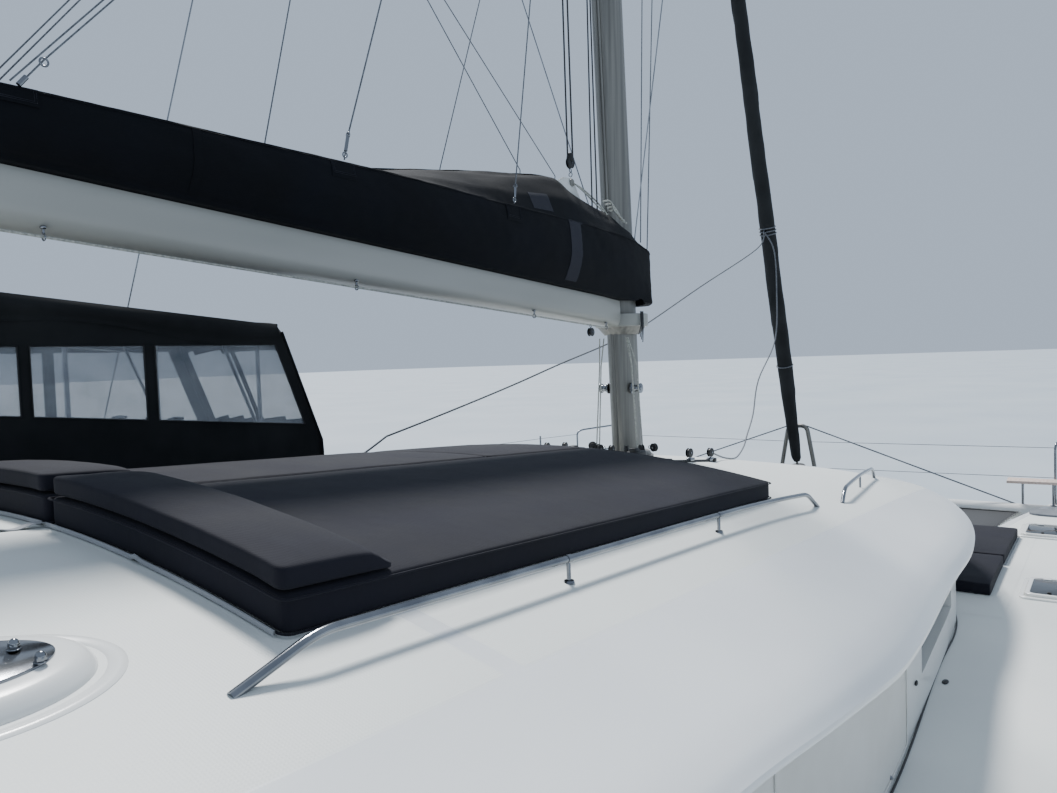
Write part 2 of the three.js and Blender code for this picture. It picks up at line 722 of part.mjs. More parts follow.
function frontHandrail(side) {
  const along = (x) => {
    const y = 1830 - (x - 480) * 0.12;
    return [y, roofZ(x, y)];
  };
  const rail = (x, lift) => {
    const [y, z] = along(x);
    return at(x, side * y, z + lift);
  };
  return onRoof(tube([
    rail(480, -25), rail(560, 60), rail(700, 78), rail(1300, 86), rail(1950, 78), rail(2090, 60),
    rail(2170, -25),
  ], RAIL_RADIUS).add(rod(rail(1320, -25), rail(1320, 80), 9, 6)));
}

// Moulded oval boss with a bolted plate
function roofFitting() {
  const centre = { x: -4100, y: -1420 };
  const ovals = [[300, 170, -25], [296, 166, 12], [275, 148, 30], [225, 105, 34], [222, 102, 41]];
  const rings = ovals.map(([long, wide, lift]) => Array.from({ length: 20 }, (_, i) => {
    const angle = (2 * Math.PI * i) / 20;
    const x = centre.x + long * Math.cos(angle);
    const y = centre.y + wide * Math.sin(angle);
    return at(x, y, roofZ(x, y) + lift);
  }));
  return onRoof(loft(rings));
}

// Mast with spreaders and a foot collar, raked aft
const MAST_HALF = { long: 155, wide: 105 };
const mastX = (z) => MAST_FOOT_X - MAST_RAKE * (z - MAST_FOOT_Z);

function mastRing(z, share) {
  return Array.from({ length: 14 }, (_, i) => {
    const angle = (2 * Math.PI * i) / 14;
    const { long, wide } = MAST_HALF;
    return at(mastX(z) + long * share * Math.cos(angle), wide * share * Math.sin(angle), z);
  });
}

// Spreaders: height, reach to the side, sweep aft
const SPREADERS = [
  [7600, 1000, 380],
  [12000, 820, 320],
];

function mast() {
  const foot = roofZ(MAST_FOOT_X, 0) - 25;
  const tubeBody = loft([mastRing(foot, 1), mastRing(HOUNDS_Z, 1), mastRing(MAST_TOP_Z, 0.72)]);
  const collar = rod(at(MAST_FOOT_X, 0, foot), at(MAST_FOOT_X, 0, foot + 62), 210, 16);
  const ledge = rod(
    at(BOOM_PIVOT_X, 0, BOOM_COLLAR.z - 60), at(BOOM_PIVOT_X, 0, BOOM_COLLAR.z - SEAT_GAP), 140, 20, 190);
  const tangX = mastX(STAY.topZ + 40);
  const tang = block(tangX + 110, tangX + 200, -16, 16, STAY.topZ + 5, STAY.topZ + 75);
  const arms = SPREADERS.flatMap(([z, reach, sweep]) => [PORT, STARBOARD].map((side) => rod(
    at(mastX(z), 0, z), at(mastX(z) - sweep, side * reach, z + 60), 42, 8, 26)));
  return onRoof(join([tubeBody, collar, ledge, tang, ...arms]));
}

// Boom, its cover bag and the head of the stowed sail turn about an upright axis at the mast
const BOOM_PIVOT_X = 1030;
const BOOM = { aftX: -4950, startX: BOOM_PIVOT_X - 195, startZ: 3600, rise: 0.071, half: 130, height: 150 };
const boomUnderZ = (x) => BOOM.startZ + BOOM.rise * (700 - x);
const BOOM_COLLAR = { z: boomUnderZ(BOOM_PIVOT_X) + 30, height: 100, inner: 170, outer: 210 };

function boom() {
  const ring = (x, share) => {
    const z = boomUnderZ(x);
    return [[-0.5, 0.12], [0.5, 0.12], [0.95, 0.45], [1, 1.6], [-1, 1.6], [-0.95, 0.45]]
      .map(([a, b]) => at(x, a * BOOM.half * share, z + b * BOOM.height * 0.9 * share));
  };
  const spar = loft([
    ring(BOOM.startX, 0.8), ring(BOOM.startX - 300, 1), ring(BOOM.aftX + 200, 1), ring(BOOM.aftX, 0.85),
  ]);
  const { z, height, inner, outer } = BOOM_COLLAR;
  const collarOuter = rod(at(BOOM_PIVOT_X, 0, z), at(BOOM_PIVOT_X, 0, z + height), outer, 20);
  const collarInner = rod(at(BOOM_PIVOT_X, 0, z - 50), at(BOOM_PIVOT_X, 0, z + height + 200), inner, 20);
  return spar.add(collarOuter).subtract(collarInner);
}

// Bag stations: x, half width low, edge height, half width high, height of the folded sail between the edges
const BAG_LOW = 217;
const BAG_STATIONS = [
  [1285, 130, 4130, 120, 4180],
  [1170, 205, 4200, 205, 4300],
  [800, 175, 4265, 240, 4470],
  [200, 165, 4300, 250, 4560],
  [-700, 165, 4318, 252, 4535],
  [-1300, 165, 4335, 252, 4440],
  [-1750, 165, 4345, 250, 4400],
  [-3400, 165, 4350, 235, 4395],
  [-4750, 150, 4340, 160, 4380],
];

function sailBag() {
  const ring = ([x, lowHalf, edge, topHalf, hump]) => {
    const z0 = boomUnderZ(x) + BAG_LOW;
    const half = [
      [lowHalf, z0], [topHalf, (z0 + edge) / 2], [topHalf * 0.95, edge],
      [topHalf * 0.6, (edge + hump) / 2 + 8],
    ];
    const port = half.map(([y, z]) => at(x, y, z));
    const starboard = half.map(([y, z]) => at(x, -y, z)).reverse();
    return [...port, at(x, 0, hump), ...starboard];
  };
  const clearHole = rod(at(BOOM_PIVOT_X, 0, 3000), at(BOOM_PIVOT_X, 0, 5000), 193, 20);
  return loft(BAG_STATIONS.map(ring)).subtract(clearHole);
}

function sailHead() {
  const head = acrossBoat([[200, 4450], [520, 4450], [450, 4590], [365, 4690], [325, 4690]], -22, 22);
  return highest(head.subtract(sailBag().translate([0, 0, SEAT_GAP])));
}

// Furled headsail on its stay, and its drum
const STAY = { tackX: 5357, tackZ: 1810, topX: mastX(HOUNDS_Z - 150) + 178, topZ: HOUNDS_Z - 150 };

function stayPoint(height) {
  const share = (height - STAY.tackZ) / (STAY.topZ - STAY.tackZ);
  return at(STAY.tackX + (STAY.topX - STAY.tackX) * share, 0, height);
}

function furledSail() {
  return join([
    rod(stayPoint(2010), stayPoint(3300), 58, 10, 92),
    rod(stayPoint(3299), stayPoint(6800), 92, 10, 82),
    rod(stayPoint(6799), stayPoint(15600), 82, 10, 38),
    rod(stayPoint(1950), stayPoint(STAY.topZ), 14, 8),
  ]);
}

function furlerDrum() {
  return join([
    rod(stayPoint(1830), stayPoint(1844), 95, 14),
    rod(stayPoint(1840), stayPoint(1936), 50, 12),
    rod(stayPoint(1930), stayPoint(1944), 95, 14),
  ]);
}

// Cap shrouds, each from a chainplate on the side deck to the hounds
const CHAINPLATE = { x: -1600, y: 3780 };

function shroud(side) {
  const foot = at(CHAINPLATE.x, side * CHAINPLATE.y, DECK_Z + 60);
  const cap = at(mastX(HOUNDS_Z) - 30, side * (MAST_HALF.wide + 12), HOUNDS_Z + 100);
  const plateBlock = block(
    foot.x - 40, foot.x + 40, foot.y - 12, foot.y + 12, DECK_Z + SEAT_GAP, DECK_Z + 110);
  return join([rod(foot, cap, 6, 6), plateBlock]);
}

// Crossbeam between the bows, with the frame on its middle that spreads its straps
const BEAM = { z: DECK_Z - 80, radius: 85, halfLength: HULL_CENTRE_Y - 230 };
const STRIKER = { footY: 255, topY: 112, topZ: DECK_Z + 790 };

function beamRod(grow) {
  const end = (side) => at(BEAM_X, side * BEAM.halfLength, BEAM.z);
  return rod(end(STARBOARD), end(PORT), BEAM.radius + grow, 12);
}

function crossbeam() {
  const top = (side) => at(BEAM_X + 15, side * STRIKER.topY, STRIKER.topZ);
  const legs = [PORT, STARBOARD].map((side) => rod(
    at(BEAM_X, side * STRIKER.footY, BEAM.z + 60), top(side), 26, 10));
  const cap = rod(top(STARBOARD), top(PORT), 26, 10);
  const straps = [PORT, STARBOARD].map((side) => rod(
    at(BEAM_X, side * (BEAM.halfLength - 330), BEAM.z + 60), top(side), 9, 6));
  const tack = rod(stayPoint(BEAM.z + 40), stayPoint(STAY.tackZ + 19.7), 22, 8);
  return join([beamRod(0), ...legs, cap, ...straps, tack])
    .subtract(hullForm(PORT, SEAT_GAP)).subtract(hullForm(STARBOARD, SEAT_GAP));
}

const LONGERON_HALF = 90;

function longeron() {
  return block(FOREDECK_FRONT_X + SEAT_GAP, BEAM_X, -LONGERON_HALF, LONGERON_HALF, DECK_Z - 160, DECK_Z - 20)
    .subtract(beamRod(SEAT_GAP))
    .intersect(block(FOREDECK_FRONT_X, BEAM_X - 40, -500, 500, 0, 3000));
}

function trampoline(side) {
  const x0 = FOREDECK_FRONT_X + SEAT_GAP;
  const x1 = BEAM_X - 100;
  const inner = LONGERON_HALF + 20;
  const z = DECK_Z - 75;
  const outlinePoints = [[x0, inner], [x1, inner], [x1, 2380], [x0, 2230]].map(([x, y]) => [x, side * y]);
  return plate(side > 0 ? outlinePoints : outlinePoints.reverse(), z, z + 8);
}

// Guard rail: pulpit at the bow, posts and two wires to the stern
const POSTS_X = [4600, 3100, 1500, -100, -1700, -3300, -4800];

function deckEdgeY(x, side) {
  const table = HULL_STATIONS;
  let i = 0;
  while (i < table.length - 2 && table[i + 1][0] < x) {
    i += 1;
  }
  const [xa, , da] = table[i];
  const [xb, , db] = table[i + 1];
  const half = da + ((db - da) * (x - xa)) / (xb - xa);
  return side * (HULL_CENTRE_Y + half - 80);
}

function guardRail(side) {
  const railZ = DECK_Z + 620;
  const foot = DECK_Z + SEAT_GAP;
  const posts = POSTS_X.map((x) => rod(
    at(x, deckEdgeY(x, side), foot), at(x, deckEdgeY(x, side), railZ + 20), 12.5, 8));
  const centre = side * HULL_CENTRE_Y;
  const inboard = (x) => 2 * centre - deckEdgeY(x, side);
  const pulpit = [
    tube([
      at(5300, deckEdgeY(5300, side), foot), at(5300, deckEdgeY(5300, side), railZ),
      at(5400, deckEdgeY(5400, side), railZ + 40), at(6150, centre + side * 90, railZ + 60),
      at(6230, centre, railZ + 60), at(6150, centre - side * 90, railZ + 60),
      at(5550, inboard(5550), railZ + 40), at(5460, inboard(5460), railZ), at(5460, inboard(5460), foot),
    ], 12.5),
    rod(at(6165, centre + side * 40, foot), at(6165, centre + side * 40, railZ + 60), 12.5, 8),
  ];
  const path = [5300, ...POSTS_X];
  const wires = [290, 600].flatMap((lift) => path.slice(1).map((x, i) => rod(
    at(path[i], deckEdgeY(path[i], side), DECK_Z + lift), at(x, deckEdgeY(x, side), DECK_Z + lift), 4, 5)));
  return join([...posts, ...pulpit, ...wires]);
}

function bowSeat(side) {
  const seatZ = DECK_Z + 240;
  const seat = plate([
    [5170, side * 2250], [5425, side * 2240], [5425, side * 2740], [5210, side * 2760],
  ], seatZ, seatZ + 30);
  const inner = rod(at(BEAM_X, side * 2385, BEAM.z), at(BEAM_X, side * 2385, seatZ + 10), 15, 8);
  const outer = rod(at(BEAM_X, side * 2660, DECK_Z + SEAT_GAP), at(BEAM_X, side * 2660, seatZ + 10), 15, 8);
  return highest(join([seat, inner, outer]).subtract(beamRod(SEAT_GAP)));
}

// Foredeck pads and hatches
function foredeckPad(side) {
  const [inner, outer] = [300, 2505];
  const y0 = side > 0 ? inner : -outer;
  const y1 = side > 0 ? outer : -inner;
  const band = plate([[2500, y0], [3620, y0], [3620, y1], [2500, y1]], DECK_Z + SEAT_GAP, DECK_Z + 90);
  const wrap = plate([
    [1570, side * 2165], [1800, side * 1985], [2000, side * 1765], [2500, side * 1400],
    [2500, side * outer], [1570, side * outer],
  ], DECK_Z + SEAT_GAP, DECK_Z + 90);
  return band.add(wrap);
}

const HATCHES = [
  { name: "hatch_fore", x: 3905, y: 2765, half: 255 },
  { name: "hatch_mid", x: 1893, y: 2930, half: 240 },
];
const HATCH_THICKNESS = 34;

function hatchLid(half) {
  const lid = block(0, half * 2, -half, half, SEAT_GAP, HATCH_THICKNESS);
  const pane = block(45, half * 2 - 45, -half + 45, half - 45, HATCH_THICKNESS - 6, HATCH_THICKNESS + 10);
  return lid.subtract(pane);
}

// Saildrive legs, propellers and rudders under each hull
const DRIVE = { x: -3700, bottom: -1020, shaftZ: -900 };

function saildrive(side) {
  const y = side * HULL_CENTRE_Y;
  const topZ = -470;
  const outline = (z, long, wide) => [
    at(DRIVE.x + long, y, z), at(DRIVE.x + long * 0.4, y + wide, z),
    at(DRIVE.x - long, y, z), at(DRIVE.x + long * 0.4, y - wide, z),
  ];
  const leg = loft([outline(topZ, 150, 50), outline(DRIVE.bottom, 110, 36)]);
  const gear = rod(at(DRIVE.x + 190, y, DRIVE.shaftZ), at(DRIVE.x - 170, y, DRIVE.shaftZ), 58, 12, 48);
  return leg.add(gear).subtract(hullForm(side, SEAT_GAP));
}

function propeller() {
  const hub = rod(at(0, 0, 0), at(-110, 0, 0), 48, 12, 30);
  const blades = [0, 1, 2].map((i) => {
    const blade = new THREE.BoxGeometry(16, 110, 170);
    blade.rotateZ(0.45);
    blade.translate(-55, 0, 110);
    blade.rotateX((2 * Math.PI * i) / 3);
    return solid(blade);
  });
  return join([hub, ...blades]);
}

const RUDDER = { x: -5200, stockTop: -333, top: -385, bottom: -1210, front: 170, back: -400, half: 34 };

function rudder() {
  const outline = (z, share) => [
    at(RUDDER.front * share, 0, z), at(60 * share, RUDDER.half * share, z),
    at(RUDDER.back * share, 0, z), at(60 * share, -RUDDER.half * share, z),
  ];
  const stock = rod(at(0, 0, RUDDER.top - 20), at(0, 0, RUDDER.stockTop), 25, 10);
  return loft([outline(RUDDER.top, 1), outline(RUDDER.bottom, 0.8)]).add(stock);
}

// Boarding ladder hung from the starboard transom
const LADDER = { x: STERN_X - 14 - SEAT_GAP, y: STARBOARD * HULL_CENTRE_Y, z: 300, length: 900 };

function swimLadder() {
  const rails = [-180, 180].map((y) => rod(at(0, y, 0), at(0, y, LADDER.length), 14, 8));
  const steps = [150, 400, 650, 850].map((z) => block(-30, 20, -180, 180, z - 12, z + 12));
  const pin = rod(at(0, -190, 0), at(0, 190, 0), 12, 8);
  return join([...rails, ...steps, pin]);
}

SIDES.forEach(([name, side]) => {
  addPart(`hull_${name}`, hull(side), "gelcoat");
});
addPart("bridge_deck", bridgeDeck(), "gelcoat");
addPart("coachroof", roof.subtract(helmWell(SEAT_GAP)), "gelcoat");
addPart("saloon_walls", saloonWalls(), "gelcoat");
addPart("saloon_windows", saloonWindows(), "dark_glass");
SIDES.forEach(([name, side]) => {
  addPart(`window_cover_${name}`, windowCover(side), "white_cover");
});
addPart("cockpit_furniture", cockpitFurniture(), "gelcoat");
addPart("saloon_furniture", saloonFurniture(), "laminate");

SIDES.forEach(([name, side]) => {
  addPart(`roof_post_${name}`, roofPost(side), "stainless");
});
addPart("sliding_door", slidingDoor(), "dark_glass");
addPart("helm_pod", helmPod(), "gelcoat");
addPart("helm_seat", helmSeat(), "navy_cushion");
const wheel = addPart("steering_wheel", steeringWheel(), "stainless", [WHEEL.x - 50, WHEEL.y, WHEEL.z]);
wheel.rotation.y = -Math.PI / 2;
addPart("helm_canopy", canopy(), "navy_canvas");
addPart("canopy_frame", canopyFrame(), "stainless");
const lowerPads = {};
PADS.filter((row) => row[5] === 0).forEach(([name, x0, x1, y0, y1]) => {
  lowerPads[name] = onRoof(pad(x0, x1, y0, y1, 0, PAD_THICKNESS));
  addPart(name, lowerPads[name], "navy_cushion");
});
addPart("bolster_starboard", bolsterOn(lowerPads.sunpad_starboard, PADS[3]), "navy_cushion");
addPart("bolster_centre", bolsterOn(lowerPads.sunpad_centre, PADS[4]), "navy_cushion");
SIDES.forEach(([name, side]) => {
  addPart(`roof_handrail_${name}`, roofHandrail(side), "stainless");
  addPart(`front_handrail_${name}`, frontHandrail(side), "stainless");
});
addPart("roof_fitting", roofFitting(), "gelcoat");
addPart("mast", mast(), "anodised");
addPart("boom", boom(), "boom_white");
addPart("sail_bag", sailBag(), "navy_canvas");
addPart("sail_head", sailHead(), "sailcloth");
addPart("furled_headsail", furledSail(), "navy_canvas");
addPart("furler_drum", furlerDrum(), "black_plastic");
addPart("crossbeam", crossbeam(), "anodised");
addPart("longeron", longeron(), "anodised");
SIDES.forEach(([name, side]) => {
  addPart(`shroud_${name}`, shroud(side), "stainless");
  addPart(`trampoline_${name}`, trampoline(side), "netting");
  addPart(`guard_rail_${name}`, guardRail(side), "stainless");
  addPart(`bow_seat_${name}`, bowSeat(side), "plank");
  addPart(`foredeck_pad_${name}`, foredeckPad(side), "navy_cushion");
  HATCHES.forEach((hatch) => {
    addPart(`${hatch.name}_${name}`, hatchLid(hatch.half), "dark_glass",
      [hatch.x - hatch.half, side * hatch.y, DECK_Z]);
  });
  addPart(`saildrive_${name}`, saildrive(side), "antifoul");
  addPart(`propeller_${name}`, propeller(), "bronze",
    [DRIVE.x - 170 - SEAT_GAP, side * HULL_CENTRE_Y, DRIVE.shaftZ]);
  addPart(`rudder_${name}`, rudder(), "antifoul", [RUDDER.x, side * HULL_CENTRE_Y, 0]);
});
addPart("swim_ladder", swimLadder(), "stainless", [LADDER.x, LADDER.y, LADDER.z]);

export default boat;
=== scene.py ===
"""Cruising sailing catamaran, afloat with its sails stowed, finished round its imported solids.

Metres, +X forward, +Y port, +Z up. The origin is on the centreline at the waterline.
"""
import math

import bpy
from mathutils import Matrix, Vector, noise


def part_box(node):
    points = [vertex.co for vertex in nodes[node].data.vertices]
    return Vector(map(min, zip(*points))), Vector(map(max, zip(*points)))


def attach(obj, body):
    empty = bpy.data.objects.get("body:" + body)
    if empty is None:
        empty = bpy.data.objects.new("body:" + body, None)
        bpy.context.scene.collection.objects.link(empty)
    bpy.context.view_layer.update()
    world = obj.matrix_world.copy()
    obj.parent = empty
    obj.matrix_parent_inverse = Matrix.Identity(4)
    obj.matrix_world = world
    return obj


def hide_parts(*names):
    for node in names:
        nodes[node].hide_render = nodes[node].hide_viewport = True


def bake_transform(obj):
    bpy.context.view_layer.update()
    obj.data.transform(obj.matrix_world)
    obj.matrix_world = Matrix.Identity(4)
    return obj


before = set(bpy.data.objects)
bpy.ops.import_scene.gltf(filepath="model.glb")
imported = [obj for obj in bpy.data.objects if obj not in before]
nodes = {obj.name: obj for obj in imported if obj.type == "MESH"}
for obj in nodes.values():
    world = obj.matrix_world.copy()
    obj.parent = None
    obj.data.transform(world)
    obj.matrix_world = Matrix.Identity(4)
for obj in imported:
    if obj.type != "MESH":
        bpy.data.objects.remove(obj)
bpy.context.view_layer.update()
PORT, STARBOARD = 1, -1
SIDES = (("port", PORT), ("starboard", STARBOARD))


# Working on a piece


def pick(*pieces):
    """Selects only these pieces, the last of them active."""
    if bpy.context.object and bpy.context.object.mode != "OBJECT":
        bpy.ops.object.mode_set(mode="OBJECT")
    bpy.ops.object.select_all(action="DESELECT")
    for piece in pieces:
        piece.select_set(True)
        bpy.context.view_layer.objects.active = piece


def modify(piece, kind, **settings):
    """Adds a modifier with its settings and applies it."""
    pick(piece)
    modifier = piece.modifiers.new(kind.title(), kind)
    for name, value in settings.items():
        setattr(modifier, name, value)
    bpy.ops.object.modifier_apply(modifier=modifier.name)
    return piece


def skin(surface, across, along, round_way=False, capped=False):
    """A grid whose corner (u, v), each from 0 to 1, is moved to surface(u, v)."""
    pick()
    bpy.ops.mesh.primitive_grid_add(x_subdivisions=across, y_subdivisions=along, size=2)
    piece = bpy.context.object
    for corner in piece.data.vertices:
        corner.co = surface((corner.co.x + 1) / 2, (corner.co.y + 1) / 2)
    bpy.ops.object.mode_set(mode="EDIT")
    bpy.ops.mesh.select_all(action="SELECT")
    if round_way:
        bpy.ops.mesh.remove_doubles(threshold=1e-5)
    if capped:
        bpy.ops.mesh.fill_holes(sides=0)
    bpy.ops.mesh.normals_make_consistent(inside=False)
    bpy.ops.object.mode_set(mode="OBJECT")
    return piece


def block(low, high, bevel=0.004, segments=3):
    """A box from corner to corner with rounded edges."""
    pick()
    size = [b - a for a, b in zip(low, high)]
    middle = [(a + b) / 2 for a, b in zip(low, high)]
    bpy.ops.mesh.primitive_cube_add(size=1, location=middle, scale=size)
    piece = bpy.context.object
    bpy.ops.object.transform_apply(location=True, rotation=True, scale=True)
    if bevel:
        modify(piece, "BEVEL", width=bevel, segments=segments, limit_method="ANGLE")
    return piece


def rod(a, b, radius, tip=None, sides=24, bevel=0.0):
    """A round bar from a to b, which may taper to a tip radius."""
    pick()
    a, b = Vector(a), Vector(b)
    bpy.ops.mesh.primitive_cone_add(
        vertices=sides, radius1=radius, radius2=radius if tip is None else tip,
        depth=(b - a).length, location=(a + b) / 2,
        rotation=(b - a).to_track_quat("Z", "Y").to_euler())
    piece = bpy.context.object
    bpy.ops.object.transform_apply(location=True, rotation=True, scale=True)
    if bevel:
        modify(piece, "BEVEL", width=bevel, segments=3, limit_method="ANGLE")
    return piece


def ball(middle, radii, rings=12):
    """A rounded knob with its own radius along each axis."""
    pick()
    bpy.ops.mesh.primitive_uv_sphere_add(segments=rings * 2, ring_count=rings, location=middle, scale=radii)
    piece = bpy.context.object
    bpy.ops.object.transform_apply(location=True, rotation=True, scale=True)
    return piece


def hoop(middle, radius, thickness, axis, sides=12, turns=32):
    """A ring about an axis."""
    pick()
    bpy.ops.mesh.primitive_torus_add(
        major_radius=radius, minor_radius=thickness, major_segments=turns, minor_segments=sides,
        location=middle, rotation=Vector(axis).to_track_quat("Z", "Y").to_euler())
    piece = bpy.context.object
    bpy.ops.object.transform_apply(location=True, rotation=True, scale=True)
    return piece


def pipe(runs, radius, fineness=3):
    """Round tubes or lines along runs of points, as one mesh."""
    pick()
    bpy.ops.curve.primitive_nurbs_path_add()
    path = bpy.context.object
    curve = path.data
    curve.splines.clear()
    for run in runs:
        spline = curve.splines.new("POLY")
        spline.points.add(len(run) - 1)
        for point, spot in zip(spline.points, run):
            point.co = (*spot, 1)
    curve.dimensions = "3D"
    curve.bevel_depth = radius
    curve.bevel_resolution = fineness
    curve.use_fill_caps = True
    pick(path)
    bpy.ops.object.convert(target="MESH")
    return bpy.context.object


def rounded(points, radius, steps=6):
    """The points of a path, each inner corner turned into an arc that starts radius from it."""
    points = [Vector(p) for p in points]
    path = [points[0]]
    for before, corner, after in zip(points, points[1:], points[2:]):
        reach = min(radius, (corner - before).length / 2, (after - corner).length / 2)
        start = corner + (before - corner).normalized() * reach
        end = corner + (after - corner).normalized() * reach
        for i in range(steps + 1):
            t = i / steps
            path.append(start * (1 - t) ** 2 + corner * 2 * t * (1 - t) + end * t * t)
    path.append(points[-1])
    return path


def joined(pieces):
    """The pieces as one."""
    pieces = list(pieces)
    pick(*pieces)
    bpy.ops.object.join()
    return bpy.context.object


def cut(piece, cutter):
    """Cuts one solid out of another."""
    modify(piece, "BOOLEAN", object=cutter, operation="DIFFERENCE", solver="EXACT")
    bpy.data.objects.remove(cutter)
    return piece


def cut_into(piece, axis, places):
    """Cuts a mesh's faces along planes square to an axis, so that it can bend."""
    pick(piece)
    bpy.ops.object.mode_set(mode="EDIT")
    normal = [float(i == axis) for i in range(3)]
    for place in places:
        spot = [place if i == axis else 0.0 for i in range(3)]
        bpy.ops.mesh.select_all(action="SELECT")
        bpy.ops.mesh.bisect(plane_co=spot, plane_no=normal)
    bpy.ops.object.mode_set(mode="OBJECT")
    return piece


def steps_between(low, high, size):
    """Even places between two limits, about size apart."""
    count = max(round((high - low) / size), 1)
    return [low + (high - low) * i / count for i in range(1, count)]


def moved(piece, change):
    """Moves each point of a mesh to change(point)."""
    for corner in piece.data.vertices:
        corner.co = change(corner.co.copy())
    piece.data.update()
    return piece


def done(piece, name, body, finish, smooth=38):
    """Names a finished piece and gives it its finish. It rides on its body; a piece given two bodies keeps
    its place.
    """
    pick(piece)
    bpy.ops.object.transform_apply(location=True, rotation=True, scale=True)
    bpy.ops.object.shade_smooth_by_angle(angle=math.radians(smooth))
    piece.name = name
    if finish:
        piece.data.materials.clear()
        piece.data.materials.append(finish)
    if isinstance(body, tuple):
        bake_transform(piece)
    else:
        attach(piece, body)
    return piece


def eased(table, place, column=1):
    """A smooth value between the rows of a table, which never overshoots them."""
    xs = [row[0] for row in table]
    ys = [row[column] for row in table]
    if place <= xs[0]:
        return ys[0]
    if place >= xs[-1]:
        return ys[-1]
    slopes = [(ys[i + 1] - ys[i]) / (xs[i + 1] - xs[i]) for i in range(len(xs) - 1)]
    inner = [0 if a * b <= 0 else 2 * a * b / (a + b) for a, b in zip(slopes, slopes[1:])]
    lean = [slopes[0], *inner, slopes[-1]]
    i = next(k for k in range(len(xs) - 1) if place <= xs[k + 1])
    span = xs[i + 1] - xs[i]
    t = (place - xs[i]) / span
    return (ys[i] * (1 + 2 * t) * (1 - t) ** 2 + ys[i + 1] * t * t * (3 - 2 * t)
            + span * (lean[i] * t * (1 - t) ** 2 - lean[i + 1] * t * t * (1 - t)))


def mixed(a, b, share):
    """The value or point at a share of the way from a to b."""
    return a + (b - a) * share


def clamped(value):
    """The value, kept between 0 and 1."""
    return min(max(value, 0), 1)


def lumps(place, size, height):
    """A soft bump of about this height, from lumps of about this size."""
    return noise.noise(Vector(place) / size) * height


# Camera at the photograph's place: heading to port of forward, pitch down, roll

CAMERA_PLACE = Vector((-4.6, -3.2, 3.37))
CAMERA_HEADING, CAMERA_PITCH, CAMERA_ROLL = (math.radians(a) for a in (36.4, 2.6, 2.0))
CAMERA_LENS = 27.25

ahead = Vector((math.cos(CAMERA_HEADING) * math.cos(CAMERA_PITCH),
                math.sin(CAMERA_HEADING) * math.cos(CAMERA_PITCH), -math.sin(CAMERA_PITCH)))
level = Vector((math.sin(CAMERA_HEADING), -math.cos(CAMERA_HEADING), 0))
above = level.cross(ahead)
right = level * math.cos(CAMERA_ROLL) - above * math.sin(CAMERA_ROLL)
up = above * math.cos(CAMERA_ROLL) + level * math.sin(CAMERA_ROLL)
pick()
bpy.ops.object.camera_add()
camera = bpy.context.object
camera.data.lens = CAMERA_LENS
camera.data.sensor_width = 36
camera.data.clip_end = 600
turn = Matrix((right, up, -ahead)).transposed().to_4x4()
camera.matrix_world = Matrix.Translation(CAMERA_PLACE) @ turn
bpy.context.scene.camera = camera


# Materials


def paint(code):
    """A colour from its sRGB hex value."""
    shares = [(code >> shift & 255) / 255 for shift in (16, 8, 0)]
    return (*(s / 12.92 if s < 0.04045 else ((s + 0.055) / 1.055) ** 2.4 for s in shares), 1)


def add(tree, kind, values=None, links=None, **settings):
    """Adds a node: its settings, its inputs' values and what feeds them."""
    made = tree.nodes.new("ShaderNode" + kind)
    for name, value in settings.items():
        setattr(made, name, value)
    for name, value in (values or {}).items():
        made.inputs[name].default_value = value
    for name, source in (links or {}).items():
        tree.links.new(source, made.inputs[name])
    return made


def new_finish(name, colour, roughness, metallic=0.0, values=None):
    """A material with its shader, and the place of each point on the piece."""
    material = bpy.data.materials.new(name)
    material.use_nodes = True
    tree = material.node_tree
    shader = tree.nodes["Principled BSDF"]
    inputs = {"Base Color": paint(colour), "Roughness": roughness, "Metallic": metallic}
    for socket, value in {**inputs, **(values or {})}.items():
        shader.inputs[socket].default_value = value
    spot = add(tree, "TexCoord").outputs["Object"]
    return material, tree, shader, spot


def spread(tree, source, low, high, start=0.0, end=1.0):
    """A value that goes from start to end while its source goes from low to high."""
    limits = {"From Min": low, "From Max": high, "To Min": start, "To Max": end}
    return add(tree, "MapRange", limits, {"Value": source}).outputs[0]


def maths(tree, operation, *terms):
    """One value from terms that are sockets or constants."""
    constants = {i: term for i, term in enumerate(terms) if isinstance(term, (int, float))}
    sockets = {i: term for i, term in enumerate(terms) if i not in constants}
    return add(tree, "Math", constants, sockets, operation=operation).outputs[0]


def shades(tree, source, low, high, start=0.3, end=0.7):
    """A colour between two shades, while its source goes from start to end."""
    ramp = add(tree, "ValToRGB", links={"Fac": source})
    for stop, place, colour in zip(ramp.color_ramp.elements, (start, end), (low, high)):
        stop.position = place
        stop.color = paint(colour)
    return ramp.outputs[0]


def painted_over(tree, share, under, colour):
    """A second colour over the first, by a share."""
    tone = add(tree, "Mix", links={"Factor": share}, data_type="RGBA")
    tree.links.new(under, tone.inputs[6])
    tone.inputs[7].default_value = paint(colour)
    return tone.outputs[2]


def mottle(tree, shader, spot, low, high, size, stretch=(1, 1, 1), detail=3):
    """Lets the colour drift between two shades, in patches of about size metres."""
    long_way = add(tree, "Mapping", {"Scale": stretch}, {"Vector": spot})
    patch = add(tree, "TexNoise", {"Scale": 1 / size, "Detail": detail}, {"Vector": long_way.outputs[0]})
    tone = shades(tree, patch.outputs[0], low, high)
    tree.links.new(tone, shader.inputs["Base Color"])
    return tone, patch


def worn(tree, shader, patch, low, high):
    """Lets the roughness drift with the same patches."""
    tree.links.new(spread(tree, patch.outputs[0], 0, 1, low, high), shader.inputs["Roughness"])


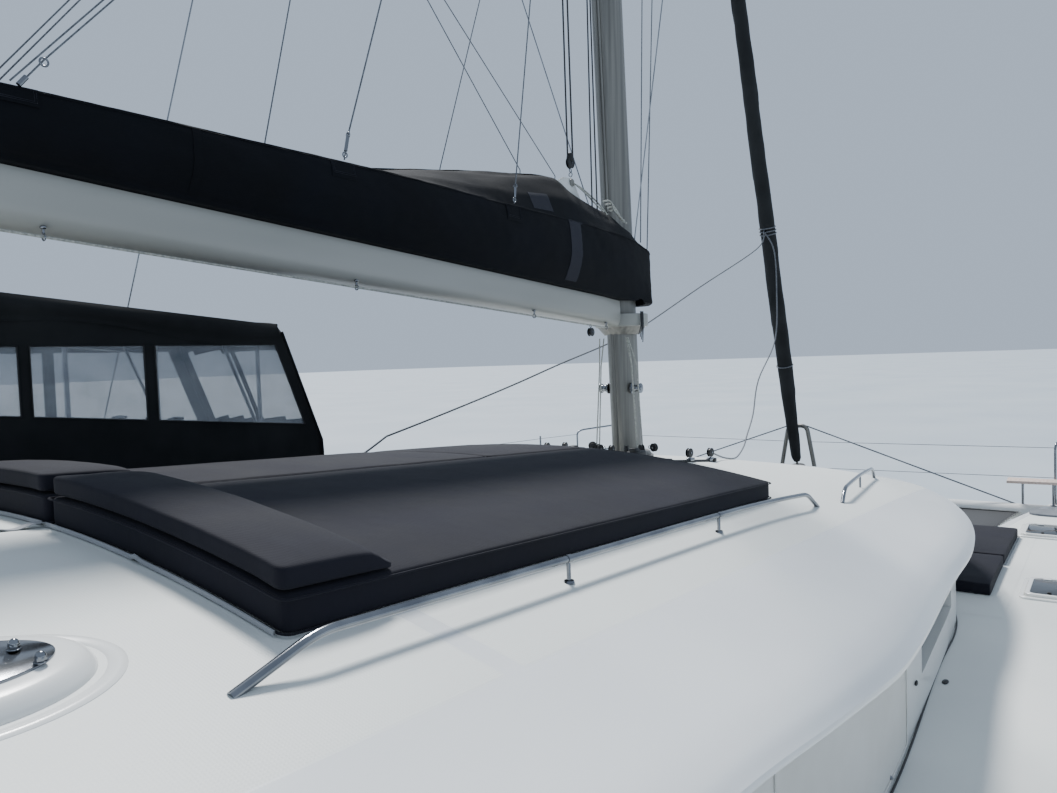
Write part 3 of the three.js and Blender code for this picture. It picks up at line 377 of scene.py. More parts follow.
def raise_by(tree, shader, height, distance, strength=1.0, under=None):
    """Raises the surface by a height pattern, over an earlier one if there is one."""
    links = {"Height": height}
    if under:
        links["Normal"] = under.outputs[0]
    bump = add(tree, "Bump", {"Distance": distance, "Strength": strength}, links)
    tree.links.new(bump.outputs[0], shader.inputs["Normal"])
    return bump


def weave_height(tree, spot, pitch):
    """Threads over and under at a pitch, on all three faces of a piece."""
    thread = {"Scale": 1 / pitch / 3.14, "Distortion": 0.6, "Detail": 1.0}
    waves = [add(tree, "TexWave", thread, {"Vector": spot}, bands_direction=axis).outputs["Fac"]
             for axis in "XYZ"]
    return maths(tree, "ADD", maths(tree, "ADD", waves[0], waves[1]), waves[2])


def noisy(scale, detail=2.0):
    """An uneven pattern for a raised surface."""
    return "TexNoise", {"Scale": scale, "Detail": detail}


def studded(scale, randomness=0.0):
    """A pattern of cells for a raised surface, in even rows unless it is random."""
    return "TexVoronoi", {"Scale": scale, "Randomness": randomness}


def finish(name, shade, size, roughness, raised=(), metallic=0.0, stretch=(1, 1, 1), detail=3, values=None):
    """A finish whose colour drifts between two shades in patches, and its roughness with them.

    Each raised pattern has its height and strength. Without a pattern the patches themselves are raised.
    """
    material, tree, shader, spot = new_finish(name, shade[0], roughness[0], metallic, values)
    _, patch = mottle(tree, shader, spot, *shade, size, stretch, detail)
    worn(tree, shader, patch, *roughness)
    under = None
    for pattern, height, strength in raised:
        source = add(tree, *pattern, {"Vector": spot}) if pattern else patch
        under = raise_by(tree, shader, source.outputs[0], height, strength, under)
    return material


# The anti-slip field of the roof: half width, aft and front ends, and the smooth strip across it
FIELD_HALF, FIELD_AFT, FIELD_FRONT = 1.985, -5.5, 2.4
STRIP_X, STRIP_HALF = -3.05, 0.04
FIELD_EDGE = 0.006


def roof_finish():
    """Gelcoat with an anti-slip field: a crossed pattern of small moulded studs, duller than the gloss."""
    material, tree, shader, spot = new_finish("roof_gelcoat", 0xE9EAE7, 0.2)
    gloss_tone, patch = mottle(tree, shader, spot, 0xE3E6E7, 0xECEEED, 1.1)
    axes = add(tree, "SeparateXYZ", links={"Vector": spot})
    across = maths(tree, "ABSOLUTE", axes.outputs["Y"])
    along = axes.outputs["X"]
    from_strip = maths(tree, "ABSOLUTE", maths(tree, "SUBTRACT", along, STRIP_X))
    inside = [spread(tree, source, limit - FIELD_EDGE, limit + FIELD_EDGE, start, 1 - start)
              for source, limit, start in ((across, FIELD_HALF, 1), (along, FIELD_FRONT, 1),
                                           (along, FIELD_AFT, 0), (from_strip, STRIP_HALF, 0))]
    field = inside[0]
    for part in inside[1:]:
        field = maths(tree, "MULTIPLY", field, part)
    # Studs are 3 mm apart on the real roof and 9 mm here, so that they show
    rows = [add(tree, "TexWave", {"Scale": 35.0}, {"Vector": spot}, bands_direction=axis).outputs["Fac"]
            for axis in "XY"]
    raised = maths(tree, "MULTIPLY_ADD", maths(tree, "MULTIPLY", *rows), 0.6, 0.4)
    wave = add(tree, *noisy(7.0, 1.0), {"Vector": spot})
    under = raise_by(tree, shader, wave.outputs[0], 0.0005, 0.35)
    raise_by(tree, shader, maths(tree, "MULTIPLY", raised, field), 0.0009, 0.5, under)
    gloss = spread(tree, patch.outputs[0], 0, 1, 0.16, 0.24)
    dull = maths(tree, "MULTIPLY", field, 0.34)
    tree.links.new(maths(tree, "ADD", gloss, dull), shader.inputs["Roughness"])
    tree.links.new(painted_over(tree, field, gloss_tone, 0xE1E4E0), shader.inputs["Base Color"])
    return material


# Heights of the antifouling paint's edge and of the stripe over it
PAINT_LINE, STRIPE_LOW, STRIPE_HIGH = 0.05, 0.075, 0.125


def hull_finish():
    """White gelcoat with a thin stripe, over blue-black antifouling paint from just above the water."""
    material, tree, shader, spot = new_finish("hull_gelcoat", 0xE9EAE7, 0.2)
    gloss_tone, patch = mottle(tree, shader, spot, 0xE4E6E5, 0xEEEEEB, 1.4)
    height = add(tree, "SeparateXYZ", links={"Vector": spot}).outputs["Z"]
    coated = spread(tree, height, PAINT_LINE - 0.002, PAINT_LINE + 0.002, 1, 0)
    stripe = maths(tree, "MULTIPLY", maths(tree, "GREATER_THAN", height, STRIPE_LOW),
                   maths(tree, "LESS_THAN", height, STRIPE_HIGH))
    striped_tone = painted_over(tree, stripe, gloss_tone, 0x2C3440)
    tree.links.new(painted_over(tree, coated, striped_tone, 0x20262E), shader.inputs["Base Color"])
    gloss = spread(tree, patch.outputs[0], 0, 1, 0.15, 0.25)
    dull = maths(tree, "MULTIPLY", coated, 0.6)
    tree.links.new(maths(tree, "ADD", gloss, dull), shader.inputs["Roughness"])
    wave = add(tree, *noisy(4.0, 1.0), {"Vector": spot})
    raise_by(tree, shader, wave.outputs[0], 0.0008, 0.35)
    return material


def canvas_finish(name, low, high, sheen, gloss=0.25):
    """Solution-dyed acrylic canvas: a dull close weave, a little faded where it catches the sun."""
    soft = {"Sheen Weight": sheen, "Sheen Roughness": 0.5, "Specular IOR Level": gloss}
    material, tree, shader, spot = new_finish(name, low, 0.85, values=soft)
    _, patch = mottle(tree, shader, spot, low, high, 0.35, detail=5)
    worn(tree, shader, patch, 0.75, 0.95)
    # Threads are 0.5 mm apart on the real cloth and 3 mm here, so that they show
    folds = add(tree, *noisy(14.0, 3.0), {"Vector": spot})
    under = raise_by(tree, shader, folds.outputs[0], 0.003, 0.5)
    raise_by(tree, shader, weave_height(tree, spot, 0.003), 0.0003, 0.6, under)
    return material


def rope_finish(name, low, high):
    """Braided polyester rope: short crossed strands with a soft shine."""
    material, tree, shader, spot = new_finish(name, low, 0.7, values={"Sheen Weight": 0.2})
    mottle(tree, shader, spot, low, high, 0.012, detail=1)
    # Strands are 1.5 mm on the real rope and 8 mm here, so that they show
    strand = add(tree, *studded(120.0, 1.0), {"Vector": spot})
    raise_by(tree, shader, strand.outputs[0], 0.002, 0.6)
    return material


def net_finish():
    """Trampoline netting: dark polyester braid in a close square mesh, with light between the strands."""
    material, tree, shader, spot = new_finish("trampoline_netting", 0x2A2B2D, 0.8)
    grid = add(tree, *studded(50.0), {"Vector": spot}).outputs[0]
    tree.links.new(shades(tree, grid, 0x0A0B0C, 0x35373A, 0.22, 0.32), shader.inputs["Base Color"])
    raise_by(tree, shader, grid, 0.004, 0.8)
    return material


def timber_finish(name, low, high, grain, roughness):
    """Timber: long grain along the piece under oil or varnish."""
    return finish(name, (low, high), grain, (roughness - 0.1, roughness + 0.1), [(None, 0.0006, 0.4)],
                  stretch=(0.12, 1, 1), detail=6)


# Polyester gelcoat out of a polished mould: hard gloss over the faint waviness of the laminate
GELCOAT = finish("moulded_gelcoat", (0xE4E6E4, 0xEEEEEA), 0.8, (0.14, 0.3), [(noisy(9.0, 1.0), 0.0006, 0.4)])
ROOF_GELCOAT = roof_finish()
HULL_GELCOAT = hull_finish()
# Anti-slip deck gelcoat: a dull field of moulded studs, 3 mm apart on the real deck and 9 mm here
DECK_GELCOAT = finish("anti_slip_gelcoat", (0xDDE0DC, 0xE6E7E3), 0.9, (0.45, 0.65),
                      [(studded(110.0), 0.001, 0.5)])
BAG_CANVAS = canvas_finish("bag_canvas", 0x06080D, 0x0D1017, 0.03, 0.15)
CANOPY_CANVAS = canvas_finish("canopy_canvas", 0x181A1C, 0x292B2D, 0.06, 0.2)
PAD_CLOTH = canvas_finish("pad_cloth", 0x11111A, 0x191924, 0.035)
PATCH_CLOTH = canvas_finish("patch_cloth", 0x20212A, 0x2A2B34, 0.06)
TRIM_WEBBING = canvas_finish("trim_webbing", 0x8F9296, 0xA6A8AB, 0.2)
# Clear window vinyl, hazy with salt and handling, with soft ripples from being rolled up
VINYL = finish("clear_vinyl", (0x8E99A6, 0xCDD3DA), 0.25, (0.08, 0.3), [(noisy(5.0), 0.01, 0.5)],
               stretch=(1, 1, 2.2), detail=4, values={"Alpha": 0.34, "IOR": 1.45})
# Polished stainless tube with the fine lines of the polishing wheel; its colour is darkened as painted
# reflection of the dark surroundings that the real tube mirrors
STAINLESS = finish("polished_stainless", (0x74777D, 0x94979B), 0.12, (0.09, 0.22),
                   [(noisy(420.0), 0.0001, 0.15)], metallic=1.0)
# Anodised mast extrusion: satin grey-beige metal with faint lines from the die along its length
ANODISED = finish("anodised_aluminium", (0x6C6B67, 0x8E8C86), 0.03, (0.36, 0.5), [(None, 0.0004, 0.25)],
                  metallic=0.55, stretch=(1, 1, 0.02))
# Two-part paint on the boom extrusion, even satin: its colour is set darker than the real light grey paint
# as painted shade, in faint patches drawn out along the boom
BOOM_PAINT = finish("boom_paint", (0x979791, 0xABABA6), 0.5, (0.3, 0.46), [(noisy(60.0), 0.0003, 0.2)],
                    stretch=(0.25, 1, 1))
# Woven polyester sailcloth: crisp, off-white, with a faint grid of heavier threads
SAILCLOTH = finish("sailcloth", (0xCBCDCB, 0xE2E3E0), 0.15, (0.5, 0.7), [(studded(120.0), 0.0006, 0.4)],
                   values={"Sheen Weight": 0.15})
# White coated polyester of the window covers: an open mesh with a plastic shine, 1 mm fine and 4 mm here
COVER_MESH = finish("coated_mesh", (0xDADAD4, 0xEAEAE6), 0.4, (0.45, 0.65),
                    [(noisy(6.0), 0.006, 0.5), (studded(250.0), 0.0008, 0.5)], values={"Alpha": 0.86})
# Smoked cast acrylic: nearly black, very glossy, with fine salt haze
ACRYLIC = finish("smoked_acrylic", (0x101316, 0x1B1F23), 0.3, (0.04, 0.14), values={"IOR": 1.49})
# Black glass-filled nylon: moulded, satin, with a fine stipple
BLACK_NYLON = finish("moulded_black", (0x131416, 0x202124), 0.05, (0.38, 0.6), [(noisy(700.0), 0.0003, 0.3)])
BLACK_ROPE = rope_finish("black_rope", 0x15171B, 0x24272D)
GREY_ROPE = rope_finish("grey_rope", 0x4A4E55, 0x6E7278)
PALE_ROPE = rope_finish("pale_rope", 0x8E8F88, 0xBDBDB4)
NETTING = net_finish()
PLANK = timber_finish("weathered_plank", 0xC4AFA2, 0xD8C7BC, 0.02, 0.6)
JOINERY = timber_finish("varnished_joinery", 0x8C6A47, 0xA9845C, 0.03, 0.35)
# Antifouling paint: matt blue-black, rolled on in overlapping coats
ANTIFOUL = finish("antifouling_paint", (0x1A2028, 0x2A323B), 0.1, (0.75, 0.95), [(None, 0.001, 0.4)])
# Cast and polished bronze, browned by sea water
BRONZE = finish("cast_bronze", (0x6E5228, 0xB08A48), 0.04, (0.25, 0.5), [(None, 0.0005, 0.3)], metallic=1.0)
# Stitched leather on the wheel rim: fine creased grain, darkened by hands
LEATHER = finish("rim_leather", (0x1F1C1A, 0x3A3430), 0.05, (0.4, 0.6), [(studded(350.0, 1.0), 0.0008, 0.4)])
# Grey anti-slip paint on a locker lid: dull and sandy, in uneven patches
LID_PAINT = finish("grey_lid", (0x62666C, 0x767A80), 0.12, (0.65, 0.85), [(noisy(260.0), 0.001, 0.5)])


# Floor at the waterline and soft studio light


def floor_finish():
    """Pale matt studio floor."""
    material, tree, shader, spot = new_finish("studio_floor", 0xAEB8C0, 0.7)
    mottle(tree, shader, spot, 0xA8B3BC, 0xB4BDC4, 6.0)
    return material


pick()
bpy.ops.mesh.primitive_plane_add(size=900)
floor = bpy.context.object
floor.name = "floor"
floor.data.materials.append(floor_finish())

world = bpy.data.worlds.new("soft_sky")
world.use_nodes = True
world.node_tree.nodes["Background"].inputs["Color"].default_value = paint(0xC9DAF0)
world.node_tree.nodes["Background"].inputs["Strength"].default_value = 0.8
bpy.context.scene.world = world
pick()
bpy.ops.object.light_add(type="SUN", location=(0, 0, 30), rotation=(math.radians(-26), math.radians(24), 0))
key_light = bpy.context.object
key_light.data.energy = 5.2
key_light.data.angle = math.radians(12)


# Roof: its surface, outline and overhang

ROOF_CROWN_Z, ROOF_CROWN_X, ROOF_SLOPE = 2.88, -3.43, 0.06
ROOF_CAMBER, ROOF_FLAT_HALF = 0.0664, 2.0
DIP_START, DIP_RATE, DIP_FALL = -0.27, 0.019, 0.245
ROOF_THICKNESS = 0.06
SHOULDER_WIDTH = 0.58
# Distance in from the roof's edge, share of the lip's drop
SHOULDER = [(0, 1), (0.04, 0.64), (0.13, 0.32), (0.29, 0.17), (SHOULDER_WIDTH, 0), (0.8, 0)]
# Side edge of the roof: x, half width
ROOF_HALF = 2.5
ROOF_SIDE = [(-5.3, ROOF_HALF), (-4.2, ROOF_HALF), (-2.9, 2.512), (-2.2, 2.548), (-1.5, 2.574),
             (0.4, ROOF_HALF), (0.5, ROOF_HALF)]
ROOF_AFT_X, ROOF_AFT_REACH, ROOF_AFT_POWER, ROOF_AFT_SHARE = -5.3, 0.6, 2 / 3.5, 0.14
ROOF_FRONT_X, ROOF_FRONT_REACH, ROOF_FRONT_POWER, ROOF_FRONT_SHARE = 0.4, 2.9, 0.8, 0.5
FRONT_WALL_INSET = 0.82


def roof_z(x, y):
    """Height of the roof: it slopes and dips forward, and is cambered across."""
    dip = DIP_RATE * max(x - DIP_START, 0) ** 2
    crown = ROOF_CROWN_Z - ROOF_SLOPE * (x - ROOF_CROWN_X) - dip
    inner = min(abs(y), ROOF_FLAT_HALF)
    outer = max(abs(y) - ROOF_FLAT_HALF, 0)
    fall = ROOF_CAMBER * inner * inner + 2 * ROOF_CAMBER * ROOF_FLAT_HALF * outer
    return crown - fall * (1 - dip / DIP_FALL)


def lip_drop(x):
    """How far the roof's rounded edge comes down: most amidships."""
    grown = clamped((x + 2.9) / 1.4)
    shrunk = clamped(x / 2)
    return 0.072 + 0.066 * grown - 0.05 * shrunk


def soffit_z(x):
    """Height of the overhang's underside."""
    x = min(x, ROOF_FRONT_X)
    return roof_z(x, eased(ROOF_SIDE, x)) - lip_drop(x) + 0.02


def roof_outline(share, inset, front_inset=None):
    """A point of the outline on the port side, from aft middle to front middle, moved in."""
    front_inset = inset if front_inset is None else front_inset
    if share < ROOF_AFT_SHARE:
        angle = math.pi / 2 * share / ROOF_AFT_SHARE
        return (ROOF_AFT_X - (ROOF_AFT_REACH - inset) * max(math.cos(angle), 0) ** ROOF_AFT_POWER,
                (ROOF_HALF - inset) * math.sin(angle) ** ROOF_AFT_POWER)
    if share > ROOF_FRONT_SHARE:
        angle = math.pi / 2 * (share - ROOF_FRONT_SHARE) / (1 - ROOF_FRONT_SHARE)
        return (ROOF_FRONT_X + (ROOF_FRONT_REACH - front_inset) * math.sin(angle) ** ROOF_FRONT_POWER,
                (ROOF_HALF - inset) * max(math.cos(angle), 0) ** ROOF_FRONT_POWER)
    x = mixed(ROOF_AFT_X, ROOF_FRONT_X, (share - ROOF_AFT_SHARE) / (ROOF_FRONT_SHARE - ROOF_AFT_SHARE))
    return x, eased(ROOF_SIDE, x) - inset


def roof_ring(turn_share, inset, front_inset=None):
    """A point of the whole outline, once round for 0 to 1 from the aft middle by the port side."""
    side = PORT if turn_share <= 0.5 else STARBOARD
    x, y = roof_outline(2 * turn_share if side == PORT else 2 - 2 * turn_share, inset, front_inset)
    return x, side * (0 if y < 0.001 else y)


# Insets at which the rows of the shoulder lie, inset and drop of the rows round the lip
SHOULDER_ROWS = (0.52, 0.46, 0.4, 0.345, 0.29, 0.245, 0.205, 0.165, 0.13, 0.1, 0.075, 0.055, 0.04, 0.028,
                 0.018, 0.01, 0.004, 0)
LIP_ROWS = ((0.006, 0.005), (0.005, 0.01), (0.003, 0.014), (0.003, 0.026), (0.006, 0.03), (0.03, 0.03),
            (0.036, 0.026), (0.04, 0.01))


def roof_rows():
    """Rows of the roof's skin from the middle of its top, over the lip, to the middle underneath."""
    crown = [("crown", share) for share in (0, 0.12, 0.24, 0.36, 0.48, 0.6, 0.72, 0.86, 1)]
    shoulder = [("shoulder", inset) for inset in SHOULDER_ROWS]
    lip = [("lip", place) for place in LIP_ROWS]
    soffit = [("soffit", inset) for inset in (0.05, 0.17)]
    return crown + shoulder + lip + soffit + [("ceiling", share) for share in (1, 0.8, 0.6, 0.4, 0.2, 0)]


def roof_shell():
    """The whole roof as one shell, with the opening for the helm."""
    rows = roof_rows()

    def surface(u, v):
        kind, value = rows[round(v * (len(rows) - 1))]
        if kind == "crown":
            x, y = roof_ring(u, SHOULDER_WIDTH)
            return x, y * value, roof_z(x, y * value)
        if kind == "shoulder":
            x, y = roof_ring(u, value)
            return x, y, roof_z(x, y) - lip_drop(x) * eased(SHOULDER, value)
        if kind == "lip":
            x, y = roof_ring(u, value[0])
            return x, y, roof_z(x, y) - lip_drop(x) - value[1]
        if kind == "soffit":
            x, y = roof_ring(u, value, value + FRONT_WALL_INSET)
            return x, y, soffit_z(x)
        x, y = roof_ring(u, SHOULDER_WIDTH, SHOULDER_WIDTH + FRONT_WALL_INSET)
        return x, y * value, roof_z(x, y * value) - ROOF_THICKNESS

    shell = skin(surface, 240, len(rows) - 1, round_way=True)
    gap = 0.0003
    well_low, well_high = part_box("helm_pod")
    well = block((well_low.x - gap, well_low.y - gap, 1.74), (well_high.x + gap, well_high.y + gap, 3.3),
                 bevel=0)
    return cut(shell, well)


roof = done(roof_shell(), "roof_shell", "boat", ROOF_GELCOAT)
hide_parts("coachroof")


# Sun pads and bolsters


def marked(piece, chosen):
    """Selects the edges that a test of their two ends chooses."""
    pick(piece)
    mesh = piece.data
    for face in mesh.polygons:
        face.select = False
    for corner in mesh.vertices:
        corner.select = False
    for edge in mesh.edges:
        edge.select = chosen(mesh.vertices[edge.vertices[0]].co, mesh.vertices[edge.vertices[1]].co)
    bpy.context.tool_settings.mesh_select_mode = (False, True, False)


def bevel_marked(piece, chosen, width, segments=4):
    """Rounds the edges that a test chooses."""
    marked(piece, chosen)
    bpy.ops.object.mode_set(mode="EDIT")
    bpy.ops.mesh.bevel(offset=width, segments=segments, affect="EDGES")
    bpy.ops.object.mode_set(mode="OBJECT")
    return piece


def puffed(piece, cap, pressure=4.0, frames=16):
    """Lets a stuffed cover swell under pressure, no point further than cap."""
    rest = [corner.co.copy() for corner in piece.data.vertices]
    pick(piece)
    cloth = piece.modifiers.new("Cloth", "CLOTH")
    cloth.settings.use_pressure = True
    cloth.settings.uniform_pressure_force = pressure
    cloth.settings.effector_weights.gravity = 0
    cloth.point_cache.frame_start = 1
    cloth.point_cache.frame_end = frames
    for step in range(1, frames + 1):
        bpy.context.scene.frame_set(step)
    bpy.ops.object.modifier_apply(modifier=cloth.name)
    bpy.context.scene.frame_set(1)
    for corner, start in zip(piece.data.vertices, rest):
        shift = corner.co - start
        if shift.length > cap:
            corner.co = start + shift.normalized() * cap
    return piece


PAD_SWELL = 0.009
SEAM_RADIUS = 0.0035


def boxed_pad(low, high, thickness, corner=0.028, cell=0.045, edge=0.011):
    """A boxed cushion lying flat at height 0: cut in cells, rounded at corners and edges, then stuffed."""
    pull = PAD_SWELL * 0.8
    pad = block((low[0] + pull, low[1] + pull, 0.002), (high[0] - pull, high[1] - pull, thickness - pull),
                bevel=0)
    bevel_marked(pad, lambda a, b: abs(a.z - b.z) > 0.01, corner)
    bevel_marked(pad, lambda a, b: abs(a.z - b.z) < 1e-6, edge, 3)
    cut_into(pad, 0, steps_between(low[0] + 0.06, high[0] - 0.06, cell))
    cut_into(pad, 1, steps_between(low[1] + 0.06, high[1] - 0.06, cell))
    cut_into(pad, 2, [thickness * 0.35, thickness * 0.62])
    return modify(puffed(pad, PAD_SWELL), "SUBSURF", levels=1, render_levels=1)


def creased(place, height=0.0016):
    """Small pulls and dents in a tight cushion cover."""
    pulls = lumps((place.x * 0.7, place.y, 0), 0.16, height)
    return pulls + lumps((place.x, place.y * 0.6, 5), 0.05, height * 0.5)


def laid(place, height):
    """A point of a flat pad, laid at a height, with the creases of its cover."""
    return Vector((place.x, place.y, height + place.z + creased(place) * min(place.z * 20, 1)))


def lie_on_roof(pad, lift, top_shape=None):
    """Bends a flat pad to the roof's curve."""
    def bent(place):
        height = place.z * (top_shape(place) if top_shape else 1)
        return Vector((place.x, place.y,
                       roof_z(place.x, place.y) + lift + height + creased(place) * min(place.z * 20, 1)))
    return moved(pad, bent)


def corner_arcs(low, high, radius):
    """The points of a rectangle's outline with rounded corners, once round from its far side."""
    (x0, y0), (x1, y1) = (low[0] + radius, low[1] + radius), (high[0] - radius, high[1] - radius)
    points = []
    for x, y, start in ((x1, y1, 0), (x0, y1, 90), (x0, y0, 180), (x1, y0, 270)):
        turns = [math.radians(start + 15 * i) for i in range(7)]
        points += [(x + radius * math.cos(turn_by), y + radius * math.sin(turn_by)) for turn_by in turns]
    return points


def border(low, high, corner, height):
    """A closed path round a pad's edge at a height above the roof."""
    inset = 0.004
    path = corner_arcs((low[0] + inset, low[1] + inset), (high[0] - inset, high[1] - inset), corner)
    path.append(path[0])
    fine = []
    for (xa, ya), (xb, yb) in zip(path, path[1:]):
        count = max(int(math.hypot(xb - xa, yb - ya) / 0.1), 1)
        fine += [(mixed(xa, xb, i / count), mixed(ya, yb, i / count)) for i in range(count)]
    fine.append(path[0])
    return [(x, y, roof_z(x, y) + height) for x, y in fine]


def cushion_done(pad, name, body, node=None):
    """Finishes a stuffed cushion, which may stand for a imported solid."""
    pad = done(pad, name, body, PAD_CLOTH, smooth=60)
    if node:
        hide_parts(node)
    return pad


PAD_THICKNESS, BOLSTER_THICKNESS, PAD_FOOT = 0.105, 0.068, 0.002

for name in ("sunpad_starboard", "sunpad_centre", "sunpad_forward"):
    low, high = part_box(name)
    pad = boxed_pad(low, high, PAD_THICKNESS)
    cushion_done(lie_on_roof(pad, PAD_FOOT), name + "_pad", "boat", name)
    seams = pipe([border(low, high, 0.03, PAD_FOOT + level)
                  for level in (0.008, PAD_THICKNESS - 0.012)], SEAM_RADIUS, 1)
    done(seams, name + "_welt", "boat", PAD_CLOTH, smooth=80)

BOLSTER_DROP = 0.16


def bolster_shape(front):
    """The bolster's top runs out in an S at its forward end."""
    slope = [(front - BOLSTER_DROP, 1.0), (front - 0.09, 0.9), (front - 0.03, 0.35), (front + 0.01, 0.16)]
    return lambda place: eased(slope, place.x)


for name in ("bolster_starboard", "bolster_centre"):
    low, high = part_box(name)
    pad = boxed_pad(low, high, BOLSTER_THICKNESS, cell=0.035)
    lie_on_roof(pad, PAD_THICKNESS + PAD_FOOT + 0.002, bolster_shape(high.x))
    cushion_done(pad, name + "_pad", "boat", name)

# Pale hem tape along the pads' aft foot, with the turned-up loop where two lengths meet
pad_low, pad_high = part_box("sunpad_starboard")
centre_low, centre_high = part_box("sunpad_centre")


def hem_tape(y0, y1):
    """Tape along the pads' foot from y0 to y1."""
    x = pad_low.x - 0.002

    def surface(u, v):
        y = mixed(y0, y1, v)
        notch = 0.012 * math.exp(-((y + 0.92) / 0.02) ** 2)
        out, lift = ((-0.003, 0), (-0.005, 0.006), (-0.004, 0.013), (0, 0.014), (0, 0))[round(u * 4)]
        return x + out - notch * 0.6, y, roof_z(x, y) + 0.003 + lift + notch
    return skin(surface, 4, 90)


tapes = [hem_tape(pad_low.y + 0.03, pad_high.y - 0.01), hem_tape(centre_low.y + 0.01, centre_high.y - 0.03)]
done(joined(tapes), "pad_hem_tape", "boat", TRIM_WEBBING, smooth=60)
STRAP_Y = -0.3


def strap_surface(u, v):
    """A short strap that lies loosely on the roof, abaft the pads."""
    return (mixed(pad_low.x - 0.19, pad_low.x - 0.005, v), STRAP_Y - 0.02 + 0.04 * u - 0.03 * v,
            roof_z(pad_low.x, STRAP_Y) + 0.0125 + 0.006 * math.sin(v * 9))


strap = modify(skin(strap_surface, 4, 24), "SOLIDIFY", thickness=0.002)
done(strap, "pad_strap", "boat", TRIM_WEBBING, smooth=60)


# Handrails on the roof

RAIL_RADIUS, RAIL_UPPER = 0.0125, 0.08
RAIL_POSTS = {STARBOARD: (-2.4, -1.15), PORT: (-0.45,)}
# Length over which an end of the rail rises, at the aft end and less at the front
RAIL_RISE = 0.33
# Front rail: x and height over the roof along the tube, x of its post
FRONT_RAIL = ((0.49, -0.005), (0.6, 0.078), (0.9, 0.084), (1.3, 0.088), (1.7, 0.084), (2.05, 0.078),
              (2.16, -0.005))
FRONT_POST = 1.32


def handrail_point(side, x, lift):
    """A point over the roof in the line of a handrail, which bends out forward."""
    y = 1.72 + 0.06 * max((x + 1.1) / 1.25, 0) ** 2
    return Vector((x, side * y, roof_z(x, y) + lift))


def front_point(side, x, lift):
    """A point over the roof in the line of a front rail."""
    y = 1.83 - (x - 0.48) * 0.12
    return Vector((x, side * y, roof_z(x, y) + lift))


for name, side in SIDES:
    low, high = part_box("roof_handrail_" + name)
    aft, forward = low.x + 0.013, high.x - 0.013
    runs = steps_between(aft + RAIL_RISE * 0.85, forward - RAIL_RISE * 0.55, 0.28)
    level_run = [aft + RAIL_RISE * 0.7, *runs, forward - RAIL_RISE * 0.45]
    upper = [handrail_point(side, aft, -0.004), *[handrail_point(side, x, RAIL_UPPER) for x in level_run],
             handrail_point(side, forward, -0.004)]
    pieces = [pipe([rounded(upper, 0.055)], RAIL_RADIUS, 5)]
    for x in RAIL_POSTS[side]:
        foot, head = handrail_point(side, x, 0), handrail_point(side, x, RAIL_UPPER)
        sleeve = [handrail_point(side, x + shift, RAIL_UPPER) for shift in (-0.012, 0.012)]
        pieces += [rod(handrail_point(side, x, 0.002), head, 0.0075, sides=16),
                   rod(foot, handrail_point(side, x, 0.008), 0.02, 0.017, 20),
                   rod(*sleeve, 0.0145, sides=20)]
    rail = done(joined(pieces), f"handrail_{name}", "boat", STAINLESS)
    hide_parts("roof_handrail_" + name)

    hoop_path = [front_point(side, x, lift) for x, lift in FRONT_RAIL]
    front = [pipe([rounded(hoop_path, 0.07)], RAIL_RADIUS, 5),
             rod(front_point(side, FRONT_POST, 0), front_point(side, FRONT_POST, 0.085), 0.0075, sides=16)]
    rail = done(joined(front), f"front_rail_{name}", "boat", STAINLESS)
    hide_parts("front_handrail_" + name)


# Moulded boss on the roof with its bolted plate


def oval_rise(centre, rows, turns=64):
    """A moulded oval that rises from the roof through rows of half length, half width, lift."""
    def surface(u, v):
        long_half, wide_half, lift = rows[round(v * (len(rows) - 1))]
        x = centre[0] + long_half * math.cos(2 * math.pi * u)
        y = centre[1] + wide_half * math.sin(2 * math.pi * u)
        return x, y, roof_z(x, y) + lift
    return skin(surface, turns, len(rows) - 1, round_way=True, capped=True)


BOSS = (-4.1, -1.42)
boss_rows = [(0.3, 0.17, -0.02), (0.3, 0.17, 0.0), (0.2985, 0.1685, 0.006), (0.295, 0.165, 0.012),
             (0.288, 0.159, 0.02), (0.281, 0.153, 0.0265), (0.273, 0.146, 0.031), (0.262, 0.136, 0.034),
             (0.24, 0.117, 0.0355), (0.2, 0.1, 0.036)]
groove_rows = [(0.36, 0.215, -0.01), (0.36, 0.215, 0.0005), (0.352, 0.208, 0.0045), (0.338, 0.197, 0.0045),
               (0.33, 0.19, 0.002), (0.32, 0.182, 0.0005), (0.31, 0.176, -0.01)]
boss = done(joined([oval_rise(BOSS, boss_rows), oval_rise(BOSS, groove_rows)]), "boss_moulding", "boat",
            GELCOAT, smooth=50)
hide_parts("roof_fitting")
PLATE_TOP = 0.0415
plate = [oval_rise(BOSS, [(0.219, 0.1, 0.034), (0.222, 0.102, 0.0355), (0.222, 0.102, 0.04),
                          (0.2195, 0.0995, PLATE_TOP)])]
for x, y in ((-3.944, -1.402), (-3.927, -1.481), (-4.08, -1.36), (-4.1, -1.47)):
    z = roof_z(x, y) + PLATE_TOP
    plate.append(rod((x, y, z), (x, y, z + 0.003), 0.014, sides=24, bevel=0.0008))
    plate.append(rod((x, y, z + 0.003), (x, y, z + 0.012), 0.0115, sides=6, bevel=0.0006))
    plate.append(ball((x, y, z + 0.012), (0.0105, 0.0105, 0.0115)))
eye_z = roof_z(-4.2, BOSS[1])
eye_path = [(x, BOSS[1], eye_z + lift) for x, lift in ((-4.2, 0.04), (-4.19, 0.085), (-4.12, 0.085),
                                                       (-4.11, 0.04))]
plate.append(pipe([rounded(eye_path, 0.03)], 0.006))
done(joined(plate), "boss_plate", "boat", STAINLESS, smooth=30)


# Helm canopy: windscreen, side walls and crowned top over hoops

